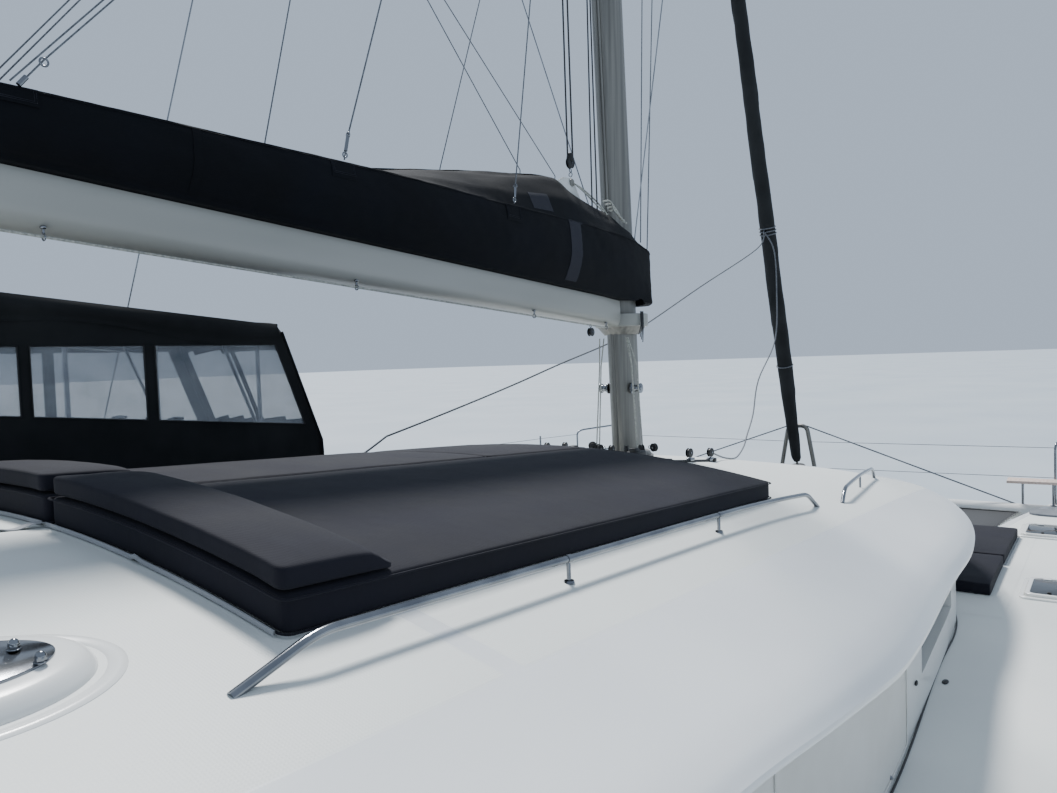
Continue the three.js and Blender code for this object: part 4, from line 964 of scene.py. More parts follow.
CANOPY_Y0, CANOPY_Y1 = 1.0, 2.22
CANOPY_AFT, CANOPY_TOP_X, CANOPY_FOOT_X, CANOPY_KNEE_Z = -4.35, -1.5, -1.2, 2.89
CANOPY_FRONT_Z, CANOPY_RISE, CANOPY_CROWN = 3.662, 0.086, 0.035
CLOTH_THICKNESS = 0.003
HOOPS = (-1.64, -2.75, -4.25)


def canopy_top(x):
    """Height of the canopy's top edge, which rises aft."""
    return CANOPY_FRONT_Z + CANOPY_RISE * (CANOPY_TOP_X - x)


def canopy_front(z):
    """Where the canopy's front stands at a height."""
    share = clamped((z - CANOPY_KNEE_Z) / (CANOPY_FRONT_Z - CANOPY_KNEE_Z))
    return mixed(CANOPY_FOOT_X, CANOPY_TOP_X, share)


def window_foot(x):
    """Height of the side windows' lower edge."""
    return 3.013 - 0.104 * (x + 1.345)


WINDOW_HEAD, WINDOW_FOOT_Z = 3.52, 3.03
# Fore and aft ends of the side windows; the foremost edge follows the slant of the windscreen
SIDE_PANES = ((-1.25, -2.297), (-2.36, -2.92), (-2.975, -3.5))
WINDSCREEN_BAND = 0.085
# Shares of the cloth's length at which those ends lie
PANE_COLUMNS = (0.03, 0.35, 0.37, 0.53, 0.55, 0.7)


def pane_end(x, z):
    """Where a window ends at height z."""
    return min(x, canopy_front(z) - WINDSCREEN_BAND)


def canopy_x(v, z):
    """Where a column of the cloth stands at height z: columns lie along the ends of the windows."""
    ends = [pane_end(x, z) for pane in SIDE_PANES for x in pane]
    stops = [(0, canopy_front(z)), *zip(PANE_COLUMNS, ends), (1, CANOPY_AFT)]
    i = next(k for k in range(len(stops) - 1) if v <= stops[k + 1][0] + 1e-6)
    (v0, x0), (v1, x1) = stops[i], stops[i + 1]
    return mixed(x0, x1, (v - v0) / (v1 - v0))


def wall_height(share, v, top):
    """Height on a side wall: skirt, window and head band each take a set share of it."""
    x = canopy_x(v, WINDOW_FOOT_Z)
    foot = roof_z(x, CANOPY_Y1 if share > 1 else CANOPY_Y0) + 0.004
    part = share if share <= 1 else 2 - share
    if part < 0.12:
        return mixed(foot, window_foot(x), part / 0.12)
    if part < 0.3:
        return mixed(window_foot(x), WINDOW_HEAD, (part - 0.12) / 0.18)
    return mixed(WINDOW_HEAD, top - 0.075, (part - 0.3) / 0.08)


# Radius between a side wall and the top, shares of the sheet for a wall and for that corner
CANOPY_CORNER, WALL_SHARE, CORNER_SHARE = 0.06, 0.38, 0.125


def canopy_surface(u, v):
    """One sheet from the starboard foot, over the top, to the port foot."""
    x = canopy_x(v, CANOPY_FRONT_Z)
    top = canopy_top(x)
    near = min(abs(x - h) for h in HOOPS)
    sag = 0.018 * min(near / 0.5, 1) ** 2
    starboard = u < 0.5
    if u <= WALL_SHARE or u >= 1 - WALL_SHARE:
        part = u if starboard else 1 - u
        z = wall_height(part if starboard else 2 - part, v, top)
        flutter = 0.006 * math.sin(v * 23 + z * 5) * min(part / 0.1, 1) if part < 0.3 else 0
        skirt = max(0, 1 - part / 0.12)
        crease = skirt * lumps((v * 30, z * 2, u > 0.5), 1.0, 0.02)
        y = CANOPY_Y0 + 0.004 + flutter * 0.5 + abs(crease)
        return canopy_x(v, z), y if starboard else CANOPY_Y0 + CANOPY_Y1 - y, z
    across = (u - WALL_SHARE) / (1 - 2 * WALL_SHARE)
    if across < CORNER_SHARE or across > 1 - CORNER_SHARE:
        part = across if across < 0.5 else 1 - across
        angle = math.pi / 2 * part / CORNER_SHARE
        y = CANOPY_Y0 + 0.004 + CANOPY_CORNER * (1 - math.cos(angle))
        z = top - 0.075 + CANOPY_CORNER * math.sin(angle)
        return canopy_x(v, z), y if across < 0.5 else CANOPY_Y0 + CANOPY_Y1 - y, z
    middle = (across - 0.5) / (0.5 - CORNER_SHARE)
    y = (CANOPY_Y0 + CANOPY_Y1) / 2 + middle * ((CANOPY_Y1 - CANOPY_Y0) / 2 - CANOPY_CORNER - 0.004)
    z = top - 0.015 + (CANOPY_CROWN + 0.012) * (1 - middle ** 2) - sag * (1 - middle ** 4)
    return canopy_x(v, z), y, z


def on_pane(middle):
    """Whether a face of the canopy is clear window."""
    if not (middle.y < CANOPY_Y0 + 0.05 or middle.y > CANOPY_Y1 - 0.05):
        return False
    inside = any(pane_end(a, middle.z) > middle.x > pane_end(b, middle.z) for a, b in SIDE_PANES)
    return inside and window_foot(middle.x) < middle.z < WINDOW_HEAD


def glazed(piece, test):
    """Gives the faces that a test chooses the clear vinyl."""
    piece.data.materials.append(VINYL)
    for face in piece.data.polygons:
        if test(face.center):
            face.material_index = 1
    return piece


def drop_faces(piece, test):
    """Takes away the faces that a test chooses."""
    pick(piece)
    for corner in piece.data.vertices:
        corner.select = False
    for edge in piece.data.edges:
        edge.select = False
    for face in piece.data.polygons:
        face.select = test(face.center)
    bpy.context.tool_settings.mesh_select_mode = (False, False, True)
    bpy.ops.object.mode_set(mode="EDIT")
    bpy.ops.mesh.delete(type="FACE")
    bpy.ops.object.mode_set(mode="OBJECT")
    return piece


def in_screen(middle):
    """Whether a face of the windscreen is one of its two clear panes."""
    from_side = min(abs(middle.y - CANOPY_Y0), abs(middle.y - CANOPY_Y1))
    return 3.04 < middle.z < 3.5 and from_side > 0.07 and abs(middle.y - 1.61) > 0.03


body = skin(canopy_surface, 100, 100)
drop_faces(body, lambda m: m.y > CANOPY_Y1 - 0.2 and m.x < -3.47 and m.z < canopy_top(m.x) - 0.17)
done(body, "canopy_cover", "boat", CANOPY_CANVAS, smooth=60)
glazed(body, on_pane)
modify(body, "SOLIDIFY", thickness=CLOTH_THICKNESS, offset=-1)
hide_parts("helm_canopy")


def screen_surface(u, v):
    """The windscreen, from the roof up to the first hoop."""
    y = mixed(CANOPY_Y0 + 0.006, CANOPY_Y1 - 0.006, u)
    foot = roof_z(CANOPY_FOOT_X, y) + 0.004
    middle = 1 - (2 * u - 1) ** 2
    z = mixed(foot, CANOPY_FRONT_Z - 0.012 + CANOPY_CROWN * middle, v)
    edge = max(abs(2 * u - 1) - 0.9, 0) / 0.1
    z -= 0.06 * edge ** 2 * v
    return canopy_front(z) + 0.004 + 0.01 * middle * math.sin(math.pi * v), y, z


screen = skin(screen_surface, 48, 40)
done(screen, "canopy_windscreen", "boat", CANOPY_CANVAS, smooth=60)
glazed(screen, in_screen)
modify(screen, "SOLIDIFY", thickness=CLOTH_THICKNESS, offset=-1)


# Hems, zips and window borders sewn on the canopy


def wall_point(side, x, z, out=0.003):
    """A point just off the canopy's side wall."""
    y = CANOPY_Y0 - out if side == STARBOARD else CANOPY_Y1 + out
    return Vector((pane_end(x, z), y, z))


def canopy_edge(side, i):
    """A point of the seam along the top of a side wall."""
    x = mixed(CANOPY_TOP_X, CANOPY_AFT, i / 40)
    return x, CANOPY_Y0 + 0.02 if side == STARBOARD else CANOPY_Y1 - 0.02, canopy_top(x) - 0.028


def front_edge(side, i):
    """A point of the seam up the front corner."""
    z = mixed(2.76, 3.6, i / 12)
    return canopy_front(z) + 0.004, CANOPY_Y0 + 0.002 if side == STARBOARD else CANOPY_Y1 - 0.002, z


zips, hems = [], []
for side in (PORT, STARBOARD):
    for a, b in SIDE_PANES:
        for x in (a, b):
            foot_z = window_foot(pane_end(x, WINDOW_FOOT_Z))
            zips.append([wall_point(side, x, mixed(foot_z, WINDOW_HEAD, i / 8)) for i in range(9)])
        for level in (WINDOW_HEAD, None):
            run = [mixed(pane_end(a, level or WINDOW_FOOT_Z), b, i / 24) for i in range(25)]
            zips.append([wall_point(side, x, level or window_foot(x)) for x in run])
    hems.append([canopy_edge(side, i) for i in range(41)])
    hems.append([front_edge(side, i) for i in range(13)])
done(pipe(zips, 0.0035, 1), "canopy_zips", "boat", BLACK_NYLON, smooth=60)
hems.append([(CANOPY_TOP_X + 0.006, mixed(CANOPY_Y0 + 0.02, CANOPY_Y1 - 0.02, i / 20),
              CANOPY_FRONT_Z - 0.02 + CANOPY_CROWN * (1 - (i / 10 - 1) ** 2)) for i in range(21)])
done(pipe(hems, 0.009, 2), "canopy_hems", "boat", CANOPY_CANVAS, smooth=60)


def valance(side):
    """The loose flap of the top cover that hangs over a side wall's head."""
    def surface(u, v):
        x = mixed(CANOPY_TOP_X - 0.01, CANOPY_AFT + 0.01, v)
        drop = 0.1 + 0.05 * math.sin(v * 6.5 + 0.6) ** 2
        swing = 0.012 * math.sin(v * 31) * u * u
        y = CANOPY_Y0 - 0.004 - 0.02 * math.sin(math.pi * min(u * 1.2, 1)) + swing * 0.4
        y = y if side == STARBOARD else CANOPY_Y0 + CANOPY_Y1 - y
        return x, y, canopy_top(x) - 0.02 - drop * u
    flap = skin(surface, 10, 90)
    return modify(flap, "SOLIDIFY", thickness=0.002)


for name, side in SIDES:
    flap = done(valance(side), f"canopy_valance_{name}", "boat", CANOPY_CANVAS, smooth=60)

frame_y0, frame_y1 = CANOPY_Y0 + 0.026, CANOPY_Y1 - 0.026
hoops = []
for x in HOOPS:
    top = canopy_top(x) - 0.045
    path = [(x, frame_y0, roof_z(x, CANOPY_Y0) - 0.01), (x, frame_y0, top - 0.02),
            (x, (frame_y0 + frame_y1) / 2, top + 0.012),
            (x, frame_y1, top - 0.02), (x, frame_y1, roof_z(x, CANOPY_Y1) - 0.02)]
    hoops.append(rounded(path, 0.14, 8))
struts = [[(HOOPS[0], y, canopy_top(HOOPS[0]) - 0.165), (HOOPS[2], y, canopy_top(HOOPS[2]) - 0.165)]
          for y in (frame_y0 + 0.004, frame_y1 - 0.004)]
struts += [[(-1.87, y, 3.56), (-1.66, y, 3.05)] for y in (frame_y0 + 0.02, frame_y1 - 0.02)]
canopy_tubes = done(joined([pipe(hoops, RAIL_RADIUS, 5), pipe(struts, 0.01, 4)]), "canopy_hoops", "boat",
                    STAINLESS)
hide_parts("canopy_frame")


# Boom, sail bag and stowed sail

PIVOT_X = 1.03
BOOM_START, BOOM_AFT = 0.835, -4.95
COLLAR_INNER, COLLAR_OUTER, COLLAR_HEIGHT = 0.17, 0.21, 0.1
# Half section of the extrusion: half width, height above its underside
BOOM_SECTION = [(0, 0.016), (0.035, 0.0165), (0.065, 0.018), (0.095, 0.028), (0.115, 0.047), (0.1235, 0.065),
                (0.127, 0.09), (0.128, 0.12), (0.13, 0.16), (0.13, 0.19), (0.124, 0.212), (0.1, 0.2155),
                (0, 0.2155)]


def boom_under(x):
    """Height of the boom's underside."""
    return 3.6 + 0.071 * (0.7 - x)


def boom_share(x):
    """How much of its full section the boom has: it narrows at both ends."""
    share = min(1, 0.8 + 0.2 * (BOOM_START - x) / 0.3)
    return min(share, 0.85 + 0.15 * max((x - BOOM_AFT) / 0.2, 0))


def boom_surface(u, v):
    """The extrusion: its flat top keeps its height where the section narrows."""
    x = mixed(BOOM_AFT, BOOM_START, v)
    count = len(BOOM_SECTION) - 1
    place = abs(2 * u - 1) * count
    row = min(int(place), count - 1)
    y, z = (mixed(a, b, place - row) for a, b in zip(BOOM_SECTION[row], BOOM_SECTION[row + 1]))
    height = z * boom_share(x) if z < 0.2 else z
    return x, y * boom_share(x) * (1 if u > 0.5 else -1), boom_under(x) + height


def mast_bore(radius, sides):
    """A bar round the mast's line, to cut out what the mast goes through."""
    return rod((PIVOT_X, 0, 3), (PIVOT_X, 0, 5), radius, sides=sides)


spar = skin(boom_surface, 24, 60, round_way=True, capped=True)
collar_z = boom_under(PIVOT_X) + 0.03
collar = rod((PIVOT_X, 0, collar_z), (PIVOT_X, 0, collar_z + COLLAR_HEIGHT), COLLAR_OUTER, sides=72,
             bevel=0.008)
cut(spar, mast_bore(COLLAR_OUTER - 0.01, 72))
cut(collar, mast_bore(COLLAR_INNER, 72))
boom_spar = done(joined([spar, collar]), "boom_spar", "boom_body", BOOM_PAINT, smooth=32)
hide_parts("boom")

# End cap with its sheaves, mainsheet straps and the jackline under the boom
cap_z = boom_under(BOOM_AFT)
boom_gear = [block((BOOM_AFT - 0.004, -0.098, cap_z + 0.022), (BOOM_AFT + 0.012, 0.098, cap_z + 0.19),
                   0.012)]
for y in (-0.05, 0, 0.05):
    boom_gear.append(rod((BOOM_AFT - 0.002, y - 0.012, cap_z + 0.1),
                         (BOOM_AFT - 0.002, y + 0.012, cap_z + 0.1), 0.032, sides=32, bevel=0.003))
done(joined(boom_gear), "boom_end_cap", "boom_body", BLACK_NYLON)
EYES_X, EYES_Y = (-4.7, -3.289, -1.827, -0.3, 0.62), -0.1
line_x = (-4.7, -3.9, -3.289, -2.5, -1.827, -1.1, -0.3, 0.3, 0.62)
underline = [(x, EYES_Y, boom_under(x) - 0.0118) for x in line_x]
rings, straps = [], []
for x in EYES_X:
    z = boom_under(x) - 0.003
    rings.append(hoop((x, EYES_Y, z - 0.009), 0.012, 0.003, (1, 0, 0), turns=24))
    rings.append(rod((x, EYES_Y, z + 0.004), (x, EYES_Y, z + 0.032), 0.005, sides=16))
    rings.append(ball((x, EYES_Y, z + 0.026), (0.012, 0.012, 0.008), 8))
# Strap round the boom's underside: y, height over the underside
STRAP_COURSE = ((-0.133, 0.16), (-0.129, 0.06), (-0.1, 0.018), (-0.04, -0.004), (0.04, -0.004), (0.1, 0.018),
                (0.129, 0.06), (0.133, 0.16))
for x in (-4.3, -4.6):
    for shift in (-0.016, -0.008, 0, 0.008, 0.016):
        straps.append([(x + shift, y, boom_under(x) + z) for y, z in STRAP_COURSE])
done(joined(rings), "boom_eyes", "boom_body", STAINLESS)
done(pipe([underline], 0.005, 3), "boom_jackline", "boom_body", PALE_ROPE)
done(pipe(straps, 0.0045, 1), "mainsheet_straps", "boom_body", BLACK_ROPE)

# Bag: height of its foot over the boom's underside, its ends, and the radius of its hole for the mast
BAG_BASE, BAG_AFT, BAG_FORE, BAG_HOLE = 0.217, -4.75, 1.285, 0.193
# Bag stations: x, half width low, edge height, half width high, height of the folded sail between the edges
BAG_STATIONS = [
    (BAG_AFT, 0.15, 4.34, 0.16, 4.38), (-3.4, 0.165, 4.35, 0.235, 4.395), (-1.75, 0.165, 4.345, 0.25, 4.4),
    (-1.3, 0.165, 4.335, 0.252, 4.465), (-0.7, 0.165, 4.318, 0.252, 4.553), (0.08, 0.165, 4.303, 0.25, 4.64),
    (0.22, 0.165, 4.299, 0.249, 4.59), (0.45, 0.168, 4.288, 0.247, 4.538), (0.8, 0.175, 4.265, 0.24, 4.475),
    (1.05, 0.195, 4.225, 0.22, 4.37), (1.17, 0.205, 4.2, 0.205, 4.3), (BAG_FORE, 0.13, 4.13, 0.12, 4.18)]
# Place round the bag where the folded sail starts; 0 is the foot's middle and 1 the top's middle
BAG_RIDGE = 0.62


def bag_half(x):
    """Half section of the bag, from the middle of its foot to the middle of its top."""
    low_half, edge, high_half, hump = (eased(BAG_STATIONS, x, column) for column in (1, 2, 3, 4))
    foot = boom_under(x) + BAG_BASE
    belly = (foot + edge) / 2
    bottom = [(0, foot), (low_half * 0.6, foot), (low_half * 0.96, foot + 0.003), (low_half, foot + 0.02)]
    flank = [(mixed(low_half, high_half, share), mixed(foot, belly, height))
             for share, height in ((0.35, 0.3), (0.72, 0.65))]
    upper = [(high_half * share, mixed(belly, edge, height))
             for share, height in ((0.985, 0), (0.992, 0.4), (0.975, 0.75))]
    lip = [(high_half * share, edge + lift) for share, lift in ((0.955, -0.012), (0.94, 0), (0.9, 0.006))]
    ridge = [(high_half * share, edge + (hump - edge) * height)
             for share, height in ((0.855, 0.1), (0.7, 0.42), (0.5, 0.66), (0.28, 0.88), (0.1, 0.985))]
    return bottom + flank + upper + lip + ridge + [(0, hump)]


def bag_point(side, place, x):
    """A point on the bag, at a place round it."""
    half = bag_half(x)
    along = place * (len(half) - 1)
    row = min(int(along), len(half) - 2)
    y, z = (mixed(a, b, along - row) for a, b in zip(half[row], half[row + 1]))
    return Vector((x, side * y, z))


def bag_wrinkles(place, x, side):
    """Folds over the stowed sail, and tight diagonal pulls in the bag's sides."""
    top = clamped((place - BAG_RIDGE) / 0.2)
    middle = clamped((x + 1.4) / 0.8)
    pleats = lumps((x * 0.7, place * 4, side), 0.32, 0.02) * top * middle
    pulls = lumps((x * 0.8 + place * 0.9, place * 1.6, side * 3), 0.28, 0.007)
    small = lumps((x * 1.4, place * 5, side * 7), 0.11, 0.003)
    firm = clamped((place - 0.15) / 0.1)
    wrinkles = (pleats + (pulls + small) * firm * (1 - 0.5 * top)) - 0.004 * firm
    return wrinkles * min((BAG_FORE - x) / 0.08, 1)


def bag_surface(u, v):
    """The bag's skin, whose wrinkles fade out at the ridge."""
    x = mixed(BAG_AFT, BAG_FORE, v)
    side = PORT if u > 0.5 else STARBOARD
    place = abs(2 * u - 1)
    point = bag_point(side, place, x)
    push = bag_wrinkles(place, x, side)
    if place > BAG_RIDGE:
        return x, point.y, point.z + push * min((1 - abs(side * place - side)) * 2, 1)
    return x, point.y + side * push, point.z


bag = skin(bag_surface, 110, 300, round_way=True, capped=True)
cut(bag, mast_bore(BAG_HOLE, 64))
bag = done(bag, "bag_cover", "boom_body", BAG_CANVAS, smooth=75)
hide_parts("sail_bag")


def on_bag(side, place, x, out):
    """A point just off the bag's skin."""
    point = bag_point(side, place, x)
    push = bag_wrinkles(place, x, side)
    if place > BAG_RIDGE:
        return Vector((x, point.y, point.z + push + out))
    return Vector((x, point.y + side * (push + out), point.z))


def bag_patch(side, x0, x1, low, high, thickness=0.0025, across=10, along=10, lean=0.0):
    """A piece of cloth sewn on the bag between two places along it and two round it."""
    def surface(u, v):
        return on_bag(side, mixed(low, high, v), mixed(x0, x1, u) + lean * v, 0.0035)
    return modify(skin(surface, across, along), "SOLIDIFY", thickness=thickness)


# Square patches where the lazy jacks are tied on
PATCHES_X, PATCH_HALF = (-0.669, -1.999, -3.405, -4.5), 0.075
both = (PORT, STARBOARD)
edge_bands = [bag_patch(side, -4.7, 1.2, 0.545, 0.6, across=200, along=4) for side in both]
patches = [bag_patch(side, x - PATCH_HALF, x + PATCH_HALF, 0.43, 0.592) for x in PATCHES_X for side in both]
edge_bands += [bag_patch(side, -2.77, -2.73, 0.2, 0.592, along=14) for side in both]
done(joined(edge_bands), "bag_edge_bands", "boom_body", BAG_CANVAS, smooth=60)
done(joined(patches), "bag_patches", "boom_body", BAG_CANVAS, smooth=60)
strips = [bag_patch(STARBOARD, -0.04, 0.1, 0.2, 0.592, along=24, lean=-0.012),
          bag_patch(STARBOARD, -0.055, 0.115, 0.535, 0.6, thickness=0.004),
          bag_patch(PORT, -0.04, 0.035, 0.2, 0.592, along=24),
          bag_patch(STARBOARD, -0.42, -0.2, 0.7, 0.78, across=12)]
done(joined(strips), "bag_straps", "boom_body", PATCH_CLOTH, smooth=60)

# Stitching round the patches, and the zip along the ridge
stitches = []
for side in both:
    for x in PATCHES_X:
        for inset in (0.008, 0.016):
            reach, low, high = PATCH_HALF - inset, 0.44 + inset, 0.585 - inset * 0.5
            ring = [(-reach, low), (reach, low), (reach, high), (-reach, high), (-reach, low)]
            stitches.append([on_bag(side, place, x + shift, 0.0065) for shift, place in ring])
done(pipe(stitches, 0.0012, 0), "bag_stitching", "boom_body", PATCH_CLOTH, smooth=60)
zip_line = [on_bag(PORT, 0.998, x, 0.003) for x in steps_between(-4.7, 0.5, 0.05)]
zip_bed = skin(lambda u, v: on_bag(PORT, 0.985 + 0.015 * u, mixed(-4.7, 0.5, v), 0.002), 2, 120)
done(joined([pipe([zip_line], 0.004, 1), zip_bed]), "bag_zip", "boom_body", BLACK_NYLON, smooth=60)

# Head of the sail: folded cloth plies, headboard plate and shackle


# Edges of a ply, aft and forward, from its foot to its top
PLY_AFT = [(0.15, 4.5), (0.14, 4.62), (0.27, 4.675)]
PLY_FRONT = [(0.5, 4.475), (0.43, 4.585), (0.365, 4.675)]


def head_ply(shift, y, lean):
    """One folded ply of the sail's head, standing up out of the bag."""
    def surface(u, v):
        place = v * 2
        row = min(int(place), 1)
        left, right_end = ([mixed(a, b, place - row) for a, b in zip(edge[row], edge[row + 1])]
                           for edge in (PLY_AFT, PLY_FRONT))
        x, z = (mixed(a, b, u) for a, b in zip(left, right_end))
        x += shift
        bow = lean * math.sin(math.pi * u) * (1 - v)
        return x, y * (1 - 0.5 * v) + bow + lumps((x, z, y * 40), 0.07, 0.006), z
    return modify(skin(surface, 14, 14), "SOLIDIFY", thickness=0.0012)


for name, shift, y, lean in (("starboard", 0, -0.012, -0.005), ("middle", -0.012, 0.0, 0.0),
                             ("port", 0.01, 0.011, 0.006)):
    ply = head_ply(shift, y, lean)
    done(ply, f"sail_head_ply_{name}", "boom_body", SAILCLOTH, smooth=60)
    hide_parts("sail_head")
BOARD_X = 0.347
board = [rod((BOARD_X, -0.017, 4.645), (BOARD_X, 0.017, 4.645), 0.028, sides=32, bevel=0.002),
         hoop((BOARD_X, 0, 4.664), 0.014, 0.004, (0, 1, 0), turns=24),
         rod((BOARD_X, -0.02, 4.636), (BOARD_X, 0.02, 4.636), 0.005, sides=16)]
done(joined(board), "headboard", "boom_body", ANODISED)


# Blocks and lines


def pulley(middle, radius=0.036, axle=(0, 1, 0), up=(0, 0, 1)):
    """The dark parts of a block, cheeks and sheave, and its bright ones, axle, eye and strap."""
    middle, axle, up = Vector(middle), Vector(axle).normalized(), Vector(up).normalized()
    cheeks = [rod(middle + axle * s * 0.011, middle + axle * s * 0.016, radius, radius * 0.86, 28, 0.002)
              for s in (-1, 1)]
    sheave = rod(middle - axle * 0.009, middle + axle * 0.009, radius * 0.78, sides=28, bevel=0.003)
    pin = rod(middle - axle * 0.019, middle + axle * 0.019, radius * 0.2, sides=16)
    eye = hoop(middle + up * (radius + 0.012), 0.011, 0.0028, axle, turns=20)
    strap = rod(middle + up * radius * 0.6, middle + up * (radius + 0.004), 0.004, sides=12)
    return [*cheeks, sheave], [pin, eye, strap]


# The mast's line: x and height where it meets the roof, and its rake aft in metres to the metre
MAST_X, MAST_Z, MAST_RAKE = 1.065, 2.62, 0.034
MAST_TOP, HOUNDS = 20.0, 16.4


def at_mast(z, forward=0.0, y=0.0, lift=0.0):
    """A point by the mast's middle line at a height."""
    return Vector((MAST_X - MAST_RAKE * (z - MAST_Z) + forward, y, z + lift))


# Lines from the boom to the mast: the boom's body and the boat's, and a point near each end
BOOM_TO_MAST = ("boom_body", "boat", (0, 0, 4.78), (0, 0, 12.0))

# Halyard block above the head, with the two parts of the halyard up to the masthead
boat_black, boat_bright = [], []
block_black, block_bright = pulley((0.35, 0, 4.79), 0.042, up=(0, 0, -1))
for z, axis in ((4.735, (0, 1, 0)), (4.705, (1, 0, 0))):
    block_bright.append(hoop((0.35, 0, z), 0.014, 0.0035, axis, turns=20))
swivel_cap = rod((0.35, 0, 4.80), (0.35, 0, 4.86), 0.03, 0.022, 24, 0.006)
under_black, under_bright = pulley((0.4, -0.1, boom_under(0.4) - 0.062), 0.032)
boom_black, boom_bright = [swivel_cap, *block_black, *under_black], [*block_bright, *under_bright]
halyards = [[(0.318, 0, 4.83), at_mast(MAST_TOP, -0.17, -0.02, 0.03)],
            [(0.386, 0, 4.83), at_mast(MAST_TOP, -0.14, 0.02, 0.03)]]
done(pipe(halyards, 0.0065, 2), "main_halyard", BOOM_TO_MAST, BLACK_ROPE)

# Lazy jacks: legs from the bag's edges to rings, and from there to the mast by the upper spreaders
JACK_TOP = 12.02
RING_FORE, RING_MIDDLE = Vector((-1.443, 0.27, 6.3)), Vector((-1.552, 0.3, 6.421))
RING_PORT, RING_STARBOARD = Vector((-2.2, 0.3, 5.9)), Vector((-2.075, -0.3, 5.898))
jack_legs, jack_pendants, shackles = [], [], []
for side, ring in ((STARBOARD, RING_STARBOARD), (PORT, RING_PORT)):
    jack_legs.append([(-3.42, side * 0.232, 4.36), ring])
    jack_legs.append([(-3.39, side * 0.232, 4.357), (-3.313, side * 0.24, 4.454),
                      ring + Vector((0.03, 0, 0))])
    shackles.append(hoop((-3.313, side * 0.24, 4.447), 0.014, 0.0035, (0, 1, 0), turns=20))
    shackles.append(rod((-3.395, side * 0.232, 4.352), (-3.37, side * 0.235, 4.384), 0.009, sides=16))
jack_legs += [[(-2.092, 0.24, 4.35), (-2.084, 0.24, 4.508), RING_MIDDLE],
              [(0.005, 0.225, 4.3), (0.005, 0.2, 4.714), RING_MIDDLE],
              [(0.444, 0.235, 4.3), (0.444, 0.2, 4.744), RING_FORE],
              [(-0.834, 0.24, 4.32), (-0.834, 0.2, 4.585), (0.79, 0.12, 8.98)]]
for ring, forward, y in ((RING_STARBOARD, -0.1, -0.3), (RING_PORT, -0.1, 0.3), (RING_MIDDLE, -0.12, 0.34),
                         (RING_FORE, -0.14, 0.38)):
    jack_pendants.append([ring, at_mast(JACK_TOP, forward, y)])
for foot, lead in (((-1.999, -0.245, 4.35), (-1.973, -0.25, 4.471)),
                   ((-0.669, -0.245, 4.325), (-0.659, -0.25, 4.43))):
    foot, lead = Vector(foot), Vector(lead)
    jack_pendants.append([lead, at_mast(JACK_TOP, -0.1, -0.36)])
    jack_legs.append([foot, lead])
    shackles.append(rod(mixed(foot, lead, 0.35), mixed(foot, lead, 0.95), 0.0085, sides=16, bevel=0.002))
    shackles.append(hoop(mixed(foot, lead, 0.2), 0.013, 0.0035, (0, 1, 0), turns=20))
    shackles.append(hoop(lead, 0.012, 0.003, (1, 0, 0), turns=20))
for ring in (RING_FORE, RING_MIDDLE, RING_STARBOARD, RING_PORT):
    shackles.append(hoop(ring, 0.018, 0.005, (0, 1, 0), turns=24))
done(pipe(jack_legs, 0.0035, 1), "lazy_jack_legs", BOOM_TO_MAST, GREY_ROPE)
done(pipe(jack_pendants, 0.004, 1), "lazy_jack_pendants", BOOM_TO_MAST, GREY_ROPE)
done(joined(shackles), "lazy_jack_shackles", BOOM_TO_MAST, STAINLESS)

# Ropes from the bag's fore end up the mast, and the tangle that lies at their foot
reefs = [[(0.472, -0.1, 4.44), (0.49, -0.1, 5.968), at_mast(MAST_TOP, -0.1, -0.06)],
         [(0.543, -0.1, 4.44), (0.532, -0.1, 5.982), at_mast(MAST_TOP, -0.08, -0.07)]]
done(pipe(reefs, 0.0055, 2), "reef_lines", BOOM_TO_MAST, BLACK_ROPE)
hounds_end = at_mast(HOUNDS, 0.16, -0.1, -0.3)
fore_runs = [[(1.033, -0.19, 4.26), (1.305, -0.12, 6.234), hounds_end],
             [(1.12, -0.2, 4.215), (1.481, -0.12, 6.293), hounds_end]]
done(pipe(fore_runs, 0.0045, 2), "spinnaker_lines", BOOM_TO_MAST, GREY_ROPE)
strands = [[(0.347, 0.0, 4.664), (0.42, -0.05, 4.6), (0.53, -0.1, 4.5), (0.6, -0.12, 4.455)],
           [(0.352, 0.01, 4.66), (0.45, -0.03, 4.62), (0.58, -0.09, 4.52), (0.66, -0.115, 4.44)]]
tangle = [[(0.6 + 0.03 * i, -0.115, 4.53 - 0.02 * i), (0.66 + 0.03 * i, -0.15, 4.545 - 0.02 * i),
           (0.71 + 0.035 * i, -0.145, 4.47 - 0.02 * i), (0.76 + 0.035 * i, -0.165, 4.44 - 0.015 * i)]
          for i in range(4)]
lashing = pipe([rounded(run, 0.06) for run in strands + tangle], 0.006, 2)
done(lashing, "head_lashing", "boom_body", PALE_ROPE)


# Mast: oval extrusion with its sail track, spreaders, fittings and lights

MAST_LONG, MAST_WIDE, MAST_TIP_SHARE = 0.155, 0.105, 0.72
MAST_FOOT = roof_z(MAST_X, 0) - 0.025
TRACK_LOW, TRACK_HIGH = 4.5, 19.4
# Spreaders: height, reach to the side, sweep aft
SPREADERS = ((7.6, 1.0, 0.38), (12.0, 0.82, 0.32))


def mast_share(z):
    """How much of its full section the mast has: it tapers above the hounds."""
    return mixed(1, MAST_TIP_SHARE, clamped((z - HOUNDS) / (MAST_TOP - HOUNDS)))


